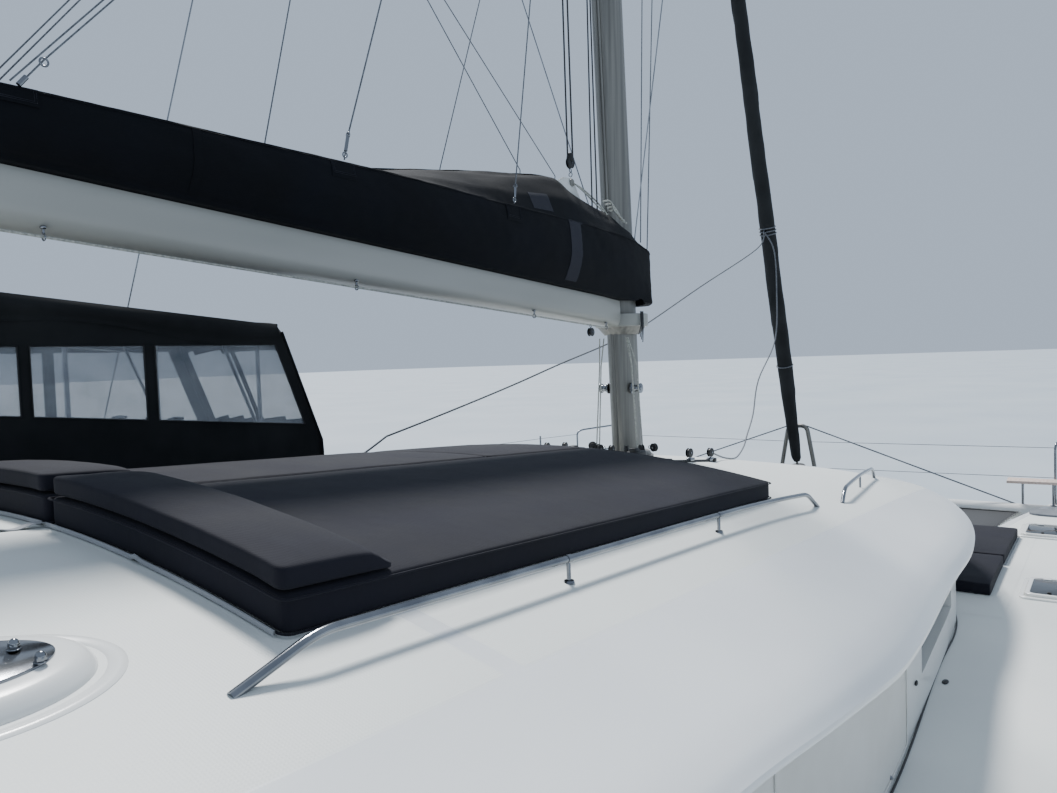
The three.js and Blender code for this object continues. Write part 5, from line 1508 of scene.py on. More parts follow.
def mast_surface(u, v):
    """The section is blunt forward and has a shallow groove down its aft face."""
    z = mixed(MAST_FOOT, MAST_TOP, v)
    angle = 2 * math.pi * u
    share = mast_share(z)
    groove = math.exp(-((angle - math.pi) / 0.075) ** 2) * 0.012
    x = MAST_LONG * math.cos(angle) * (1 - 0.03 * math.cos(angle) ** 4)
    return at_mast(z, (x + groove) * share, MAST_WIDE * share * math.sin(angle))


def track_lip(side):
    """One lip of the sail track on the mast's aft face."""
    def surface(u, v):
        z = mixed(TRACK_LOW, TRACK_HIGH, v)
        reach = (MAST_LONG * 0.985 + 0.004 * math.sin(math.pi * u)) * mast_share(z)
        return at_mast(z, -reach, side * (0.009 + 0.01 * u))
    return modify(skin(surface, 4, 30), "SOLIDIFY", thickness=0.006)


def spreader(side, z, reach, sweep):
    """A swept wing with its tip and its root on the mast's side."""
    root, tip = at_mast(z), at_mast(z, -sweep, side * reach, 0.06)

    def wing(u, v):
        angle = 2 * math.pi * u
        return mixed(root, tip, v) + Vector((mixed(0.05, 0.026, v) * math.cos(angle), 0,
                                             mixed(0.02, 0.011, v) * math.sin(angle)))
    socket = rod(at_mast(z, -0.03, side * 0.09, -0.055), at_mast(z, -0.03, side * 0.118, 0.07), 0.045, 0.04,
                 24, 0.006)
    return [skin(wing, 28, 12, round_way=True, capped=True), ball(tip, (0.026, 0.012, 0.02), 10), socket]


mast_tube = skin(mast_surface, 96, 48, round_way=True, capped=True)
done(mast_tube, "mast_tube", "boat", ANODISED, smooth=40)
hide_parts("mast")
collars = [track_lip(side) for side in (STARBOARD, PORT)]
collars += [rod((MAST_X, 0, MAST_FOOT), (MAST_X, 0, MAST_FOOT + 0.03), 0.21, sides=64, bevel=0.006),
            rod((MAST_X, 0, MAST_FOOT + 0.03), (MAST_X, 0, MAST_FOOT + 0.062), 0.198, 0.178, 64, 0.008),
            rod((PIVOT_X, 0, collar_z - 0.06), (PIVOT_X, 0, collar_z - 0.0006), 0.14, 0.19, 64)]
wings = [part for row in SPREADERS for side in (PORT, STARBOARD) for part in spreader(side, *row)]
done(joined(wings), "spreader_wings", "boat", ANODISED)
done(joined(collars), "mast_collars", "boat", ANODISED)
tang = at_mast(16.29)
tangs = [block((tang.x + 0.1, y - 0.004, 16.256), (tang.x + 0.198, y + 0.004, 16.324), 0.003)
         for y in (-0.01, 0.01)]
tangs.append(rod((tang.x + 0.178, -0.016, 16.285), (tang.x + 0.178, 0.016, 16.285), 0.009, sides=20))
done(joined(tangs), "stay_tang", "boat", STAINLESS)

# Masthead crane, diamond wires, steaming light
crane_z = MAST_TOP - 0.001
crane_x = at_mast(MAST_TOP).x
crane = [block((crane_x - 0.19, -0.035, crane_z), (crane_x + 0.13, 0.035, crane_z + 0.05), 0.008),
         rod((crane_x - 0.155, -0.03, crane_z + 0.03), (crane_x - 0.155, 0.03, crane_z + 0.03), 0.035,
             sides=28)]
done(joined(crane), "masthead_crane", "boat", ANODISED)
diamonds = []
for side in (PORT, STARBOARD):
    tips = [at_mast(z, -sweep, side * reach, 0.06) for z, reach, sweep in SPREADERS]
    diamonds.append([at_mast(4.1, 0.02, side * 0.105), *tips, at_mast(16.2, -0.02, side * 0.108)])
    diamonds.append([at_mast(7.75, 0, side * 0.1), at_mast(12.0, -0.3, side * 0.8, 0.055)])
done(pipe(diamonds, 0.0045, 2), "diamond_wires", "boat", STAINLESS)
lamp = rod(at_mast(11, 0.14), at_mast(11, 0.2), 0.03, 0.026, 24, 0.004)
done(lamp, "steaming_light", "boat", BLACK_NYLON)

# Blocks and rope clutches round the mast's foot, with the parts that run up beside the mast
foot_z = roof_z(1.0, 0) + 0.035
for angle in range(112, 257, 24):
    turn_by = math.radians(angle)
    outward = Vector((math.cos(turn_by), math.sin(turn_by), 0))
    spot = Vector((MAST_X, 0, foot_z + 0.035)) + outward * 0.285
    black, bright = pulley(spot, 0.034, axle=(-outward.y, outward.x, 0), up=-outward)
    boat_black += black
    boat_bright += bright
for x, y in ((0.7, -0.28), (0.66, 0.24)):
    z = roof_z(x, y)
    boat_black.append(block((x - 0.07, y - 0.05, z - 0.002), (x + 0.07, y + 0.05, z + 0.05), 0.012))
    boat_black.append(block((x - 0.06, y - 0.03, z + 0.03), (x + 0.01, y + 0.03, z + 0.075), 0.01))
beside = [[(x, y * 1.25, foot_z + 0.05), (x + 0.02, y, 3.3), (at_mast(top).x - 0.13, y * 0.8, 3.52)]
          for x, y, top in ((0.86, -0.165, 4.1), (0.885, -0.15, 4.14), (0.9, 0.15, 4.12),
                            (0.84, 0.1, 4.15), (0.93, -0.17, 4.2))]
done(pipe(beside, 0.005, 2), "mast_foot_ropes", "boat", PALE_ROPE)
tails = [[(1.0 - 0.014 * i, -0.212, 3.72), (0.99 - 0.012 * i, -0.218, 3.62),
          (0.98 - 0.02 * i, -0.214, 3.48 + 0.02 * i)] for i in range(4)]
done(pipe(tails, 0.0035, 1), "bag_rope_tails", "boom_body", BLACK_ROPE)
# Winch: heights over its base, radius at the foot and head of each part
WINCH_ROWS = ((0.0, 0.012, 0.052, 0.056), (0.012, 0.03, 0.05, 0.036), (0.03, 0.06, 0.036, 0.033),
              (0.06, 0.085, 0.033, 0.038), (0.085, 0.1, 0.046, 0.05))


def winch(centre, axis, size=1.0):
    """A winch: base, ribbed drum, flange and top socket."""
    centre, axis = Vector(centre), Vector(axis).normalized() * size
    parts = [rod(centre + axis * start, centre + axis * end, low * size, high * size, 40, 0.0015)
             for start, end, low, high in WINCH_ROWS]
    socket = rod(centre + axis * 0.098, centre + axis * 0.106, 0.022 * size, sides=24, bevel=0.002)
    return [*parts, socket]


for side in (STARBOARD, PORT):
    boat_bright += winch((0.985, side * 0.102, 3.12), (0, side, 0), 0.8)


# Tracks and cars of the headsail's sheets on the roof before the sun pads


def track_bar(a, b, cross):
    """A round-topped bar from a to b."""
    def surface(u, v):
        angle = 2 * math.pi * u
        lift = Vector((0, 0, 0.008 + 0.011 * math.sin(angle)))
        return mixed(a, b, v) + cross * 0.016 * math.cos(angle) + lift
    return skin(surface, 16, 20, round_way=True, capped=True)


for side in (STARBOARD, PORT):
    a = Vector((0.55, side * 0.61, roof_z(0.55, 0.61)))
    b = Vector((1.22, side * 0.68, roof_z(1.22, 0.68)))
    run = (b - a).normalized()
    cross = Vector((-run.y, run.x, 0))
    boat_black.append(track_bar(a, b, cross))
    for share in (0.03, 0.97):
        place = mixed(a, b, share)
        low, high = place - Vector((0.022, 0.022, 0.002)), place + Vector((0.022, 0.022, 0.028))
        boat_black.append(block(low, high, 0.006))
    for share, lean in ((0.48, -0.4), (0.9, 0.2)):
        place = mixed(a, b, share) + Vector((0, 0, 0.022))
        low, high = place - Vector((0.035, 0.02, 0.014)), place + Vector((0.035, 0.02, 0.01))
        boat_bright.append(block(low, high, 0.005))
        black, bright = pulley(place + Vector((lean * 0.05, 0, 0.05)), 0.036, axle=cross, up=(0, 0, -1))
        boat_black += black
        boat_bright += bright
done(joined(boom_black), "halyard_block", "boom_body", BLACK_NYLON)
done(joined(boom_bright), "halyard_block_metal", "boom_body", STAINLESS)
done(joined(boat_black), "deck_blocks", "boat", BLACK_NYLON)
done(joined(boat_bright), "deck_blocks_metal", "boat", STAINLESS)


# Furled headsail on its stay, drum and sheets

TANG_Z = 16.25
STAY_TACK, STAY_TOP = Vector((5.357, 0, 1.81)), at_mast(TANG_Z, 0.178)
stay_run = (STAY_TOP - STAY_TACK).normalized()
stay_side = Vector((0, 1, 0))
stay_front = stay_side.cross(stay_run)
ROLL_LOW, ROLL_HIGH = 2.01, 15.6
# Roll: height, radius
ROLL = [(ROLL_LOW, 0.04), (2.05, 0.058), (3.3, 0.09), (6.8, 0.08), (12.0, 0.056), (ROLL_HIGH, 0.037)]
CLEW_Z = 4.743


def stay_point(z):
    """A point of the stay at a height."""
    return mixed(STAY_TACK, STAY_TOP, (z - STAY_TACK.z) / (STAY_TOP.z - STAY_TACK.z))


def off_stay(centre, angle, radius):
    """A point at a radius from a place on the stay."""
    return centre + (stay_front * math.cos(angle) + stay_side * math.sin(angle)) * radius


def roll_surface(u, v):
    """The roll is a spiral: one leech edge winds round it, with soft tucks where it was pulled tight."""
    z = mixed(ROLL_LOW, ROLL_HIGH, v)
    angle = 2 * math.pi * u
    wind = (u - z * 0.62) % 1
    step = 0.0075 * (wind - 0.5)
    tuck = lumps((math.cos(angle) * 0.09, math.sin(angle) * 0.09, z * 0.5), 0.1, 0.006)
    return off_stay(stay_point(z), angle, eased(ROLL, z) * 0.95 + step + tuck)


roll = skin(roll_surface, 40, 420, round_way=True, capped=True)
roll = done(roll, "headsail_roll", "furler", CANOPY_CANVAS, smooth=50)
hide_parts("furled_headsail")
foil_parts = [rod(stay_point(1.95), stay_point(2.05), 0.014, sides=20),
              rod(stay_point(15.55), stay_point(16.24), 0.013, sides=20),
              rod(stay_point(15.7), stay_point(15.86), 0.028, 0.026, 28, 0.004)]
done(joined(foil_parts), "headsail_foil", "furler", ANODISED)
ties = [[off_stay(stay_point(z), math.radians(10 * i), eased(ROLL, z) + 0.004) for i in range(37)]
        for z in (CLEW_Z, CLEW_Z - 0.035, CLEW_Z + 0.035, 3.2)]
done(pipe(ties, 0.006, 2), "clew_lashing", "furler", GREY_ROPE)
clew = stay_point(CLEW_Z) - stay_front * 0.1
clew_patch = [rod(clew + Vector((0, -0.004, 0)), clew + Vector((0, 0.004, 0)), 0.03, sides=28, bevel=0.002),
              hoop(clew - stay_front * 0.016, 0.013, 0.004, (0, 1, 0), turns=20)]
done(joined(clew_patch), "clew_ring", "furler", STAINLESS)

drum_low, drum_mid_low, drum_mid_high, drum_high = (stay_point(z) for z in (1.832, 1.843, 1.931, 1.942))
drum = [rod(drum_low, drum_mid_low, 0.093, sides=64, bevel=0.003),
        rod(drum_mid_high, drum_high, 0.093, sides=64, bevel=0.003),
        rod(drum_mid_low, drum_mid_high, 0.04, sides=40)]
drum = done(joined(drum), "drum_flanges", "furler", BLACK_NYLON)
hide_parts("furler_drum")
windings = [[off_stay(mixed(drum_mid_low, drum_mid_high, (i + 0.5) / 9), math.radians(12 * k), 0.045)
             for k in range(31)] for i in range(9)]
done(pipe(windings, 0.0048, 2), "drum_windings", "furler", BLACK_ROPE)


def smooth_line(points, parts=6):
    """A soft curve through points."""
    points = [Vector(p) for p in points]
    line = []
    for i in range(len(points) - 1):
        before, after = points[max(i - 1, 0)], points[min(i + 2, len(points) - 1)]
        a, b = points[i], points[i + 1]
        for k in range(parts):
            t = k / parts
            line.append(0.5 * (2 * a + (b - before) * t + (2 * before - 5 * a + 4 * b - after) * t * t
                               + (3 * a - before - 3 * b + after) * t ** 3))
    line.append(points[-1])
    return line


SHEET_DIAMETER = 0.014


def headsail_sheet(name, line, hold):
    """A sheet from the clew along a line, which passes the place called hold, where it has come to rest."""
    span = ("furler", "boat", tuple(clew), hold)
    rope = done(pipe([line], SHEET_DIAMETER / 2, 3), name, span, GREY_ROPE)


NEAR_HOLD, FAR_HOLD = (3.59, -0.165, 3.078), (3.061, 0.227, 4.054)
near_sheet = smooth_line([clew, (4.34, -0.1, 4.5), (4.34, -0.12, 4.05), (4.2, -0.14, 3.503), NEAR_HOLD,
                          (3.213, -0.242, 2.749), (2.824, -0.325, 2.576), (2.613, -0.37, 2.485),
                          (2.211, -0.456, 2.437), (1.701, -0.565, 2.5), (1.2, -0.68, 2.6)])
headsail_sheet("headsail_sheet_starboard", near_sheet, NEAR_HOLD)
far_sheet = smooth_line([clew, (4.2, 0.05, 4.52), FAR_HOLD, (2.081, 0.401, 3.634), (1.583, 0.489, 3.481),
                         (1.007, 0.591, 3.328), (0.545, 0.673, 3.197), (0.125, 0.748, 3.085),
                         (-0.35, 0.832, 2.965), (-0.72, 0.9, 2.875)])
LEAD_X, LEAD_Y = -1.03, 0.94
lead_z = roof_z(LEAD_X, LEAD_Y)
lead_line = smooth_line([far_sheet[-1], (-0.93, 0.925, 2.77), (LEAD_X, LEAD_Y, lead_z + 0.075)])
headsail_sheet("headsail_sheet_port", far_sheet[:-1] + lead_line, FAR_HOLD)
lead_black, lead_bright = pulley((LEAD_X, LEAD_Y, lead_z + 0.045), 0.034, axle=(0.2, 1, 0), up=(0, 0, -1))
lead_black.append(block((LEAD_X - 0.05, LEAD_Y - 0.03, lead_z - 0.004),
                        (LEAD_X + 0.05, LEAD_Y + 0.03, lead_z + 0.012), 0.005))
done(joined(lead_black), "sheet_lead", "boat", BLACK_NYLON)
done(joined(lead_bright), "sheet_lead_metal", "boat", STAINLESS)


# Hulls: smooth skins through the stations, with raked stern and boarding steps


def prism(outline, axis, start, end, bevel=0.0, segments=3):
    """An outline in the plane square to an axis, drawn out from start to end."""
    pick()
    bpy.ops.mesh.primitive_circle_add(vertices=len(outline), radius=1, fill_type="NGON")
    piece = bpy.context.object
    for corner, (a, b) in zip(piece.data.vertices, outline):
        corner.co = {0: (start, a, b), 1: (a, start, b), 2: (a, b, start)}[axis]
    bpy.ops.object.mode_set(mode="EDIT")
    bpy.ops.mesh.select_all(action="SELECT")
    reach = [end - start if i == axis else 0 for i in range(3)]
    bpy.ops.mesh.extrude_region_move(TRANSFORM_OT_translate={"value": reach})
    bpy.ops.mesh.select_all(action="SELECT")
    bpy.ops.mesh.normals_make_consistent(inside=False)
    bpy.ops.object.mode_set(mode="OBJECT")
    if bevel:
        modify(piece, "BEVEL", width=bevel, segments=segments, limit_method="ANGLE")
    return piece


HULL_MIDDLE, DECK_Z, STERN_X = 2.93, 1.65, -6.5
# Hull stations: x, half width at the waterline, half width at the deck, height of the bottom
HULL_STATIONS = [
    (-6.5, 0.56, 0.79, -0.11), (-5.2, 0.64, 0.88, -0.33), (-3.4, 0.7, 0.92, -0.52), (-1.0, 0.72, 0.92, -0.6),
    (1.2, 0.68, 0.905, -0.59), (2.9, 0.56, 0.82, -0.54), (4.3, 0.38, 0.61, -0.48), (5.5, 0.185, 0.33, -0.4),
    (6.2, 0.07, 0.14, -0.3), (6.5, 0.022, 0.055, -0.18)]


def hull_half(x):
    """Half section from the middle of the bottom to the middle of the deck."""
    water, deck, bottom = (eased(HULL_STATIONS, x, column) for column in (1, 2, 3))
    inner = max(deck - 0.04, deck * 0.6)
    bilge = [(water * share, bottom * depth)
             for share, depth in ((0, 1), (0.25, 0.985), (0.45, 0.93), (0.64, 0.82), (0.8, 0.66),
                                  (0.9, 0.46), (0.96, 0.25))]
    topside = [(mixed(water, deck, share), z)
               for share, z in ((0, 0.06), (0.3, 0.38), (0.55, 0.7), (0.82, 0.95), (1, 1.15), (1, 1.42),
                                (1, 1.6))]
    edge = [(mixed(deck, inner, 0.3), 1.638), *[(inner * share, DECK_Z) for share in (1, 0.85, 0.5, 0)]]
    return bilge + topside + edge


def hull_point(place, x, out=0.0):
    """Distance from a hull's centre plane and height, at a place from 0 at its keel to 1 on its deck."""
    rows = [(i, y, z) for i, (y, z) in enumerate(hull_half(x))]
    along = place * (len(rows) - 1)
    return eased(rows, along, 1) + out, eased(rows, along, 2)


def hull_skin(side):
    """The whole outside of a hull, before its stern is cut."""
    def surface(u, v):
        x = mixed(STERN_X, 6.5, v)
        y, z = hull_point(abs(2 * u - 1), x)
        return x, side * HULL_MIDDLE + (y if u > 0.5 else -y), z
    return skin(surface, 144, 150, round_way=True, capped=True)


# Raked stern and boarding steps, seen from the side: x, z
RAKE = [(-4.9, 1.75), (-4.9, 1.65), (-5.15, 1.63), (-6.4, 0.8), (-6.7, 0.62), (-6.9, 2.0)]
STEPS = [(-4.205, 1.9), (-4.205, 1.38), (-4.48, 1.38), (-4.48, 1.11), (-5.65, 1.11), (-5.65, 0.85),
         (-5.93, 0.85), (-5.93, 0.59), (-6.21, 0.59), (-6.21, 0.33), (-6.8, 0.33), (-6.8, 1.9)]
STEP_HALF = 0.47


def foil(half, share):
    """Half thickness of a foil section at a share of its chord from the front."""
    t = clamped(share)
    shape = 0.2969 * math.sqrt(t) - 0.126 * t - 0.3516 * t * t + 0.2843 * t ** 3 - 0.1036 * t ** 4
    return half * 2.6 * shape / 0.26


def fin(front_of, back_of, half_of, z_low, z_high, middle_y, sides=48, rows=14):
    """A fin with a foil section between two heights, its lower end rounded."""
    def surface(u, v):
        z = mixed(z_low, z_high, v)
        front, back, half = front_of(v), back_of(v), half_of(v)
        share = (1 - math.cos(2 * math.pi * u)) / 2
        round_end = math.sqrt(max(1 - (1 - min(v / 0.08, 1)) ** 2, 0.02))
        y = foil(half, share) * (1 if u <= 0.5 else -1) * round_end
        return mixed(front, back, share), middle_y + y, z
    return skin(surface, sides, rows, round_way=True, capped=True)


def hull_window(side, x0, x1):
    """A long window in the hull's side with rounded ends."""
    def surface(u, v):
        x = mixed(x0, x1, v)
        ends = min(v, 1 - v) / 0.06
        squeeze = 0.5 - 0.5 * math.sqrt(max(1 - max(1 - ends, 0) ** 2, 0))
        place = mixed(10.2 + squeeze * 0.9, 11.9 - squeeze * 0.8, u) / 18
        y, z = hull_point(place, x, 0.0025)
        return x, side * (HULL_MIDDLE + y), z
    return skin(surface, 10, 60)


for name, side in SIDES:
    middle = side * HULL_MIDDLE
    shell = hull_skin(side)
    cut(shell, prism(RAKE, 1, middle - 1.2, middle + 1.2))
    inner, outer = sorted((middle - side, middle + side * STEP_HALF))
    cut(shell, prism(STEPS, 1, inner, outer))
    shell = done(shell, f"hull_shell_{name}", "boat", HULL_GELCOAT, smooth=35)
    shell.data.materials.append(DECK_GELCOAT)
    for face in shell.data.polygons:
        width = eased(HULL_STATIONS, face.center.x, 2)
        level_face = face.normal.z > 0.95 and face.center.z > 0.3
        if level_face and abs(face.center.y - middle) < width - 0.09:
            face.material_index = 1
    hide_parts(f"hull_{name}")
    keel = fin(lambda v: mixed(1.0, 1.3, v), lambda v: mixed(-1.55, -1.7, v), lambda v: 0.11, -1.3, -0.43,
               middle)
    done(keel, f"keel_{name}", "boat", ANTIFOUL)
    panes = joined([hull_window(side, -3.3, -1.5), hull_window(side, 0.1, 2.3)])
    done(panes, f"hull_windows_{name}", "boat", ACRYLIC, smooth=60)
    strake = [(x, middle + side * (eased(HULL_STATIONS, x, 2) + 0.006), 1.56)
              for x in steps_between(-4.95, 6.3, 0.12)]
    done(pipe([strake], 0.011, 3), f"rubbing_strake_{name}", "boat", GELCOAT)


# Window covers on the saloon walls, sealant along the walls' foot


def wall_at(x, inset):
    """Distance of the saloon wall's face from the centreline."""
    if x <= ROOF_FRONT_X:
        return eased(ROOF_SIDE, x) - inset
    reach = ROOF_FRONT_REACH - inset - FRONT_WALL_INSET
    share = min(((x - ROOF_FRONT_X) / reach) ** (1 / ROOF_FRONT_POWER), 1)
    return (ROOF_HALF - inset) * max(1 - share * share, 0) ** (ROOF_FRONT_POWER / 2)


WALL_INSET = 0.08
COVER_AFT, COVER_FRONT, COVER_FOOT = -4.15, -1.05, 1.7


def cover_point(side, x, level, out=0.0):
    """A point off the wall, at a level from 0 at the cover's foot to 1 at its head."""
    z = mixed(COVER_FOOT, soffit_z(x) - 0.014, level)
    return Vector((x, side * (wall_at(x, WALL_INSET - 0.0015) + out), z))


def side_cover(side):
    """The cover lies close to the wall and billows a little between its edges."""
    def surface(u, v):
        x = mixed(COVER_AFT, COVER_FRONT, v)
        z = mixed(COVER_FOOT, soffit_z(x) - 0.014, u)
        loose = math.sin(math.pi * u) ** 0.7
        pulls = abs(lumps((x, z * 1.5, side), 0.4, 0.006))
        billow = 0.0022 + (0.0022 * math.sin(v * 41 + u * 2) + pulls) * loose
        return cover_point(side, x, u, min(billow, 0.0095))
    return skin(surface, 36, 220)


for name, side in SIDES:
    cover = done(side_cover(side), f"side_cover_{name}", "boat", COVER_MESH, smooth=60)
    modify(cover, "SOLIDIFY", thickness=0.0012, offset=-1)
    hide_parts(f"window_cover_{name}")
    ends = (COVER_AFT + 0.01, COVER_FRONT - 0.01)
    hems = [[cover_point(side, mixed(*ends, i / 120), level, 0.0045) for i in range(121)]
            for level in (0.03, 0.97)]
    hems += [[cover_point(side, x, 0.03 + 0.94 * i / 8, 0.0045 + 0.002 * math.sin(math.pi * i / 8))
              for i in range(9)] for x in (*ends, -2.53)]
    done(pipe(hems, 0.003, 1), f"side_cover_hem_{name}", "boat", COVER_MESH, smooth=60)
    studs = []
    for x in steps_between(COVER_AFT, COVER_FRONT, 0.33):
        for level in (0.045, 0.955):
            spot = cover_point(side, x, level)
            studs.append(rod(spot, spot + Vector((0, side * 0.0105, 0)), 0.0085, 0.006, 16))
    done(joined(studs), f"side_cover_studs_{name}", "boat", STAINLESS, smooth=50)

    seal = [(x, side * (wall_at(x, WALL_INSET) + 0.003), DECK_Z + 0.003)
            for x in steps_between(-4.1, 2.2, 0.06)]
    done(pipe([seal], 0.005, 2), f"wall_sealant_{name}", "boat", BLACK_NYLON, smooth=60)
    drains = [ball((x, side * (wall_at(x, WALL_INSET) + off), DECK_Z + 0.003), (0.035, 0.016, 0.005), 10)
              for x, off in ((-0.13, 0.055), (1.62, 0.3))]
    drains.append(ball((-0.75, side * (wall_at(-0.75, WALL_INSET) + 0.002), 1.86), (0.02, 0.007, 0.012), 10))
    done(joined(drains), f"deck_drains_{name}", "boat", BLACK_NYLON, smooth=60)


# Foredeck: one anti-slip skin over the joint with the hulls


foredeck = skin(lambda u, v: (mixed(1.1, 3.997, v), mixed(-2.62, 2.62, u), DECK_Z + 0.0012), 60, 60)
done(foredeck, "foredeck_skin", "boat", DECK_GELCOAT)


# Foredeck pads: a band before the mast and a cushion each side of the saloon's front

FORE_PAD_THICKNESS = 0.088
# Distance from the centreline: outer edge of all, inner edge of the band, inner limit of the side pads
FORE_OUTER, BAND_INNER, WING_INNER = 2.505, 0.3, 1.4
BAND_AFT, BAND_FRONT = 2.503, 3.62
# Inner edge of the side pads: x, distance from the centreline
WING_EDGE = [(1.57, 2.165), (1.8, 1.985), (2.0, 1.765), (2.5, WING_INNER)]
fore_seams = []


def wing_lie(place):
    """A point of a side pad, brought to the pad's slanted inner edge and laid on the deck."""
    share = (abs(place.y) - WING_INNER) / (FORE_OUTER - WING_INNER)
    y = math.copysign(mixed(eased(WING_EDGE, place.x), FORE_OUTER, share), place.y)
    return laid(Vector((place.x, y, place.z)), DECK_Z + 0.0015)


for name, side in SIDES:
    y0, y1 = sorted((side * BAND_INNER, side * FORE_OUTER))
    band = boxed_pad((BAND_AFT, y0), (BAND_FRONT, y1), FORE_PAD_THICKNESS)
    moved(band, lambda place: laid(place, DECK_Z + 0.0015))
    cushion_done(band, f"foredeck_band_pad_{name}", "boat", f"foredeck_pad_{name}")
    seam = border((BAND_AFT, y0), (BAND_FRONT, y1), 0.03, 0)
    fore_seams.append([(x, y, DECK_Z + 0.006) for x, y, _ in seam])
    y0, y1 = sorted((side * WING_INNER, side * FORE_OUTER))
    wing_pad = moved(boxed_pad((1.57, y0), (2.497, y1), FORE_PAD_THICKNESS), wing_lie)
    cushion_done(wing_pad, f"foredeck_side_pad_{name}", "boat")
done(pipe(fore_seams, 0.0045, 1), "foredeck_pad_hems", "boat", TRIM_WEBBING, smooth=70)


# Deck hatches: fixed flange, and a lid with its frame, smoked lens, handles and hinges

# Hatches: x, distance from the centreline, half width
HATCHES = (("fore", 3.905, 2.765, 0.255), ("mid", 1.893, 2.93, 0.24))


def rounded_square(centre, half, radius):
    """The points of a square's outline with rounded corners."""
    return corner_arcs([c - half for c in centre], [c + half for c in centre], radius)


def rounded_frame(centre, outer, inner, z0, z1, radius=0.045):
    """A square ring with rounded corners."""
    soft = min(0.003, (z1 - z0) / 3)
    rows = ((outer, z0), (outer, z1 - soft), (outer - soft, z1), (inner + soft, z1), (inner, z1 - soft),
            (inner, z0), (outer, z0))
    loops = [[(x, y, z) for x, y in rounded_square(centre, half, radius)] for half, z in rows]
    return skin(lambda u, v: loops[round(v * 6)][round(u * 28) % 28], 28, 6, round_way=True)


def two_blocks(x0, x1, middle, apart, half_wide, z0, z1):
    """Two small blocks on a lid, either side of its middle line."""
    return [block((x0, middle + s * apart - half_wide, DECK_Z + z0),
                  (x1, middle + s * apart + half_wide, DECK_Z + z1), 0.004) for s in (-1, 1)]


flanges = []
for kind, x, y, half in HATCHES:
    for name, side in SIDES:
        centre = (x, side * y)
        flange = rounded_frame(centre, half + 0.034, half + 0.006, DECK_Z - 0.002, DECK_Z + 0.014, 0.055)
        # The flange is open at the hinges, where the lid's edge swings down past it
        cut(flange, block((x + half - 0.02, side * y - half - 0.006, DECK_Z - 0.01),
                          (x + half + 0.05, side * y + half + 0.006, DECK_Z + 0.03), 0))
        flanges.append(flange)
        body = f"hatch_{kind}_{name}_lid"
        lid = [rounded_frame(centre, half, half - 0.028, DECK_Z + 0.0006, DECK_Z + 0.033)]
        lid += two_blocks(x + half - 0.05, x + half, side * y, half * 0.55, 0.025, 0.022, 0.034)
        grips = two_blocks(x - half + 0.05, x - half + 0.075, side * y, 0.1, 0.012, 0.03, 0.042)
        done(joined(lid), f"hatch_frame_{kind}_{name}", body, GELCOAT)
        done(joined(grips), f"hatch_grips_{kind}_{name}", body, BLACK_NYLON)
        lens = prism(rounded_square(centre, half - 0.026, 0.04), 2, DECK_Z + 0.02, DECK_Z + 0.031, 0.002)
        lens = done(lens, f"hatch_lens_{kind}_{name}", body, ACRYLIC)
        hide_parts(f"hatch_{kind}_{name}")
done(joined(flanges), "hatch_flanges", "boat", GELCOAT)


# Bows: pulpits, guard wires, stanchions, seats, crossbeam, nets

POSTS_X = (4.6, 3.1, 1.5, -0.1, -1.7, -3.3, -4.8)
RAIL_LIFT = 0.62
WIRE_LIFTS = (0.29, 0.6)
TUBE = 0.0125
# Feet of the pulpit: outboard, inboard and at the stem
PULPIT_OUTER, PULPIT_INNER, PULPIT_FRONT = 5.3, 5.46, 6.165


def deck_edge(x):
    """Distance of the rail from the centreline, a little inside the deck's edge."""
    return HULL_MIDDLE + eased(HULL_STATIONS, x, 2) - 0.08


def at_edge(side, x, lift, inner=False):
    """A point over the deck's outer edge, or over its inner one."""
    return x, side * (2 * HULL_MIDDLE - deck_edge(x) if inner else deck_edge(x)), DECK_Z + lift


def stanchion_base(x, y, z=DECK_Z):
    """A round foot with its socket and four screws."""
    screws = [ball((x + dx, y + dy, z + 0.007), (0.0045, 0.0045, 0.003), 6)
              for dx, dy in ((0.023, 0), (-0.023, 0), (0, 0.023), (0, -0.023))]
    return [rod((x, y, z), (x, y, z + 0.006), 0.034, 0.032, 28),
            rod((x, y, z + 0.005), (x, y, z + 0.05), 0.0165, 0.0155, 20), *screws]


def pulpit(side):
    """The bow's rail with its middle bar and front leg."""
    centre, high = side * HULL_MIDDLE, DECK_Z + RAIL_LIFT + 0.06
    front_y = centre + side * 0.04
    upper = [at_edge(side, PULPIT_OUTER, 0.002), at_edge(side, PULPIT_OUTER, RAIL_LIFT + 0.01),
             at_edge(side, 5.4, RAIL_LIFT + 0.04), (6.15, centre + side * 0.09, high), (6.23, centre, high),
             (6.15, centre - side * 0.09, high), at_edge(side, 5.55, RAIL_LIFT + 0.04, True),
             at_edge(side, PULPIT_INNER, RAIL_LIFT, True), at_edge(side, PULPIT_INNER, 0.002, True)]
    middle_bar = [at_edge(side, PULPIT_OUTER, 0.3), at_edge(side, 5.5, 0.32),
                  (6.16, front_y, DECK_Z + 0.34)]
    leg = [(PULPIT_FRONT, front_y, DECK_Z + 0.002), (PULPIT_FRONT, front_y, high)]
    parts = [pipe([rounded(upper, 0.09)], TUBE, 5), pipe([rounded(middle_bar, 0.06), leg], 0.0105, 4)]
    for x, y in ((PULPIT_OUTER, side * deck_edge(PULPIT_OUTER)),
                 (PULPIT_INNER, at_edge(side, PULPIT_INNER, 0, True)[1]), (PULPIT_FRONT, front_y)):
        parts += stanchion_base(x, y)
    return parts


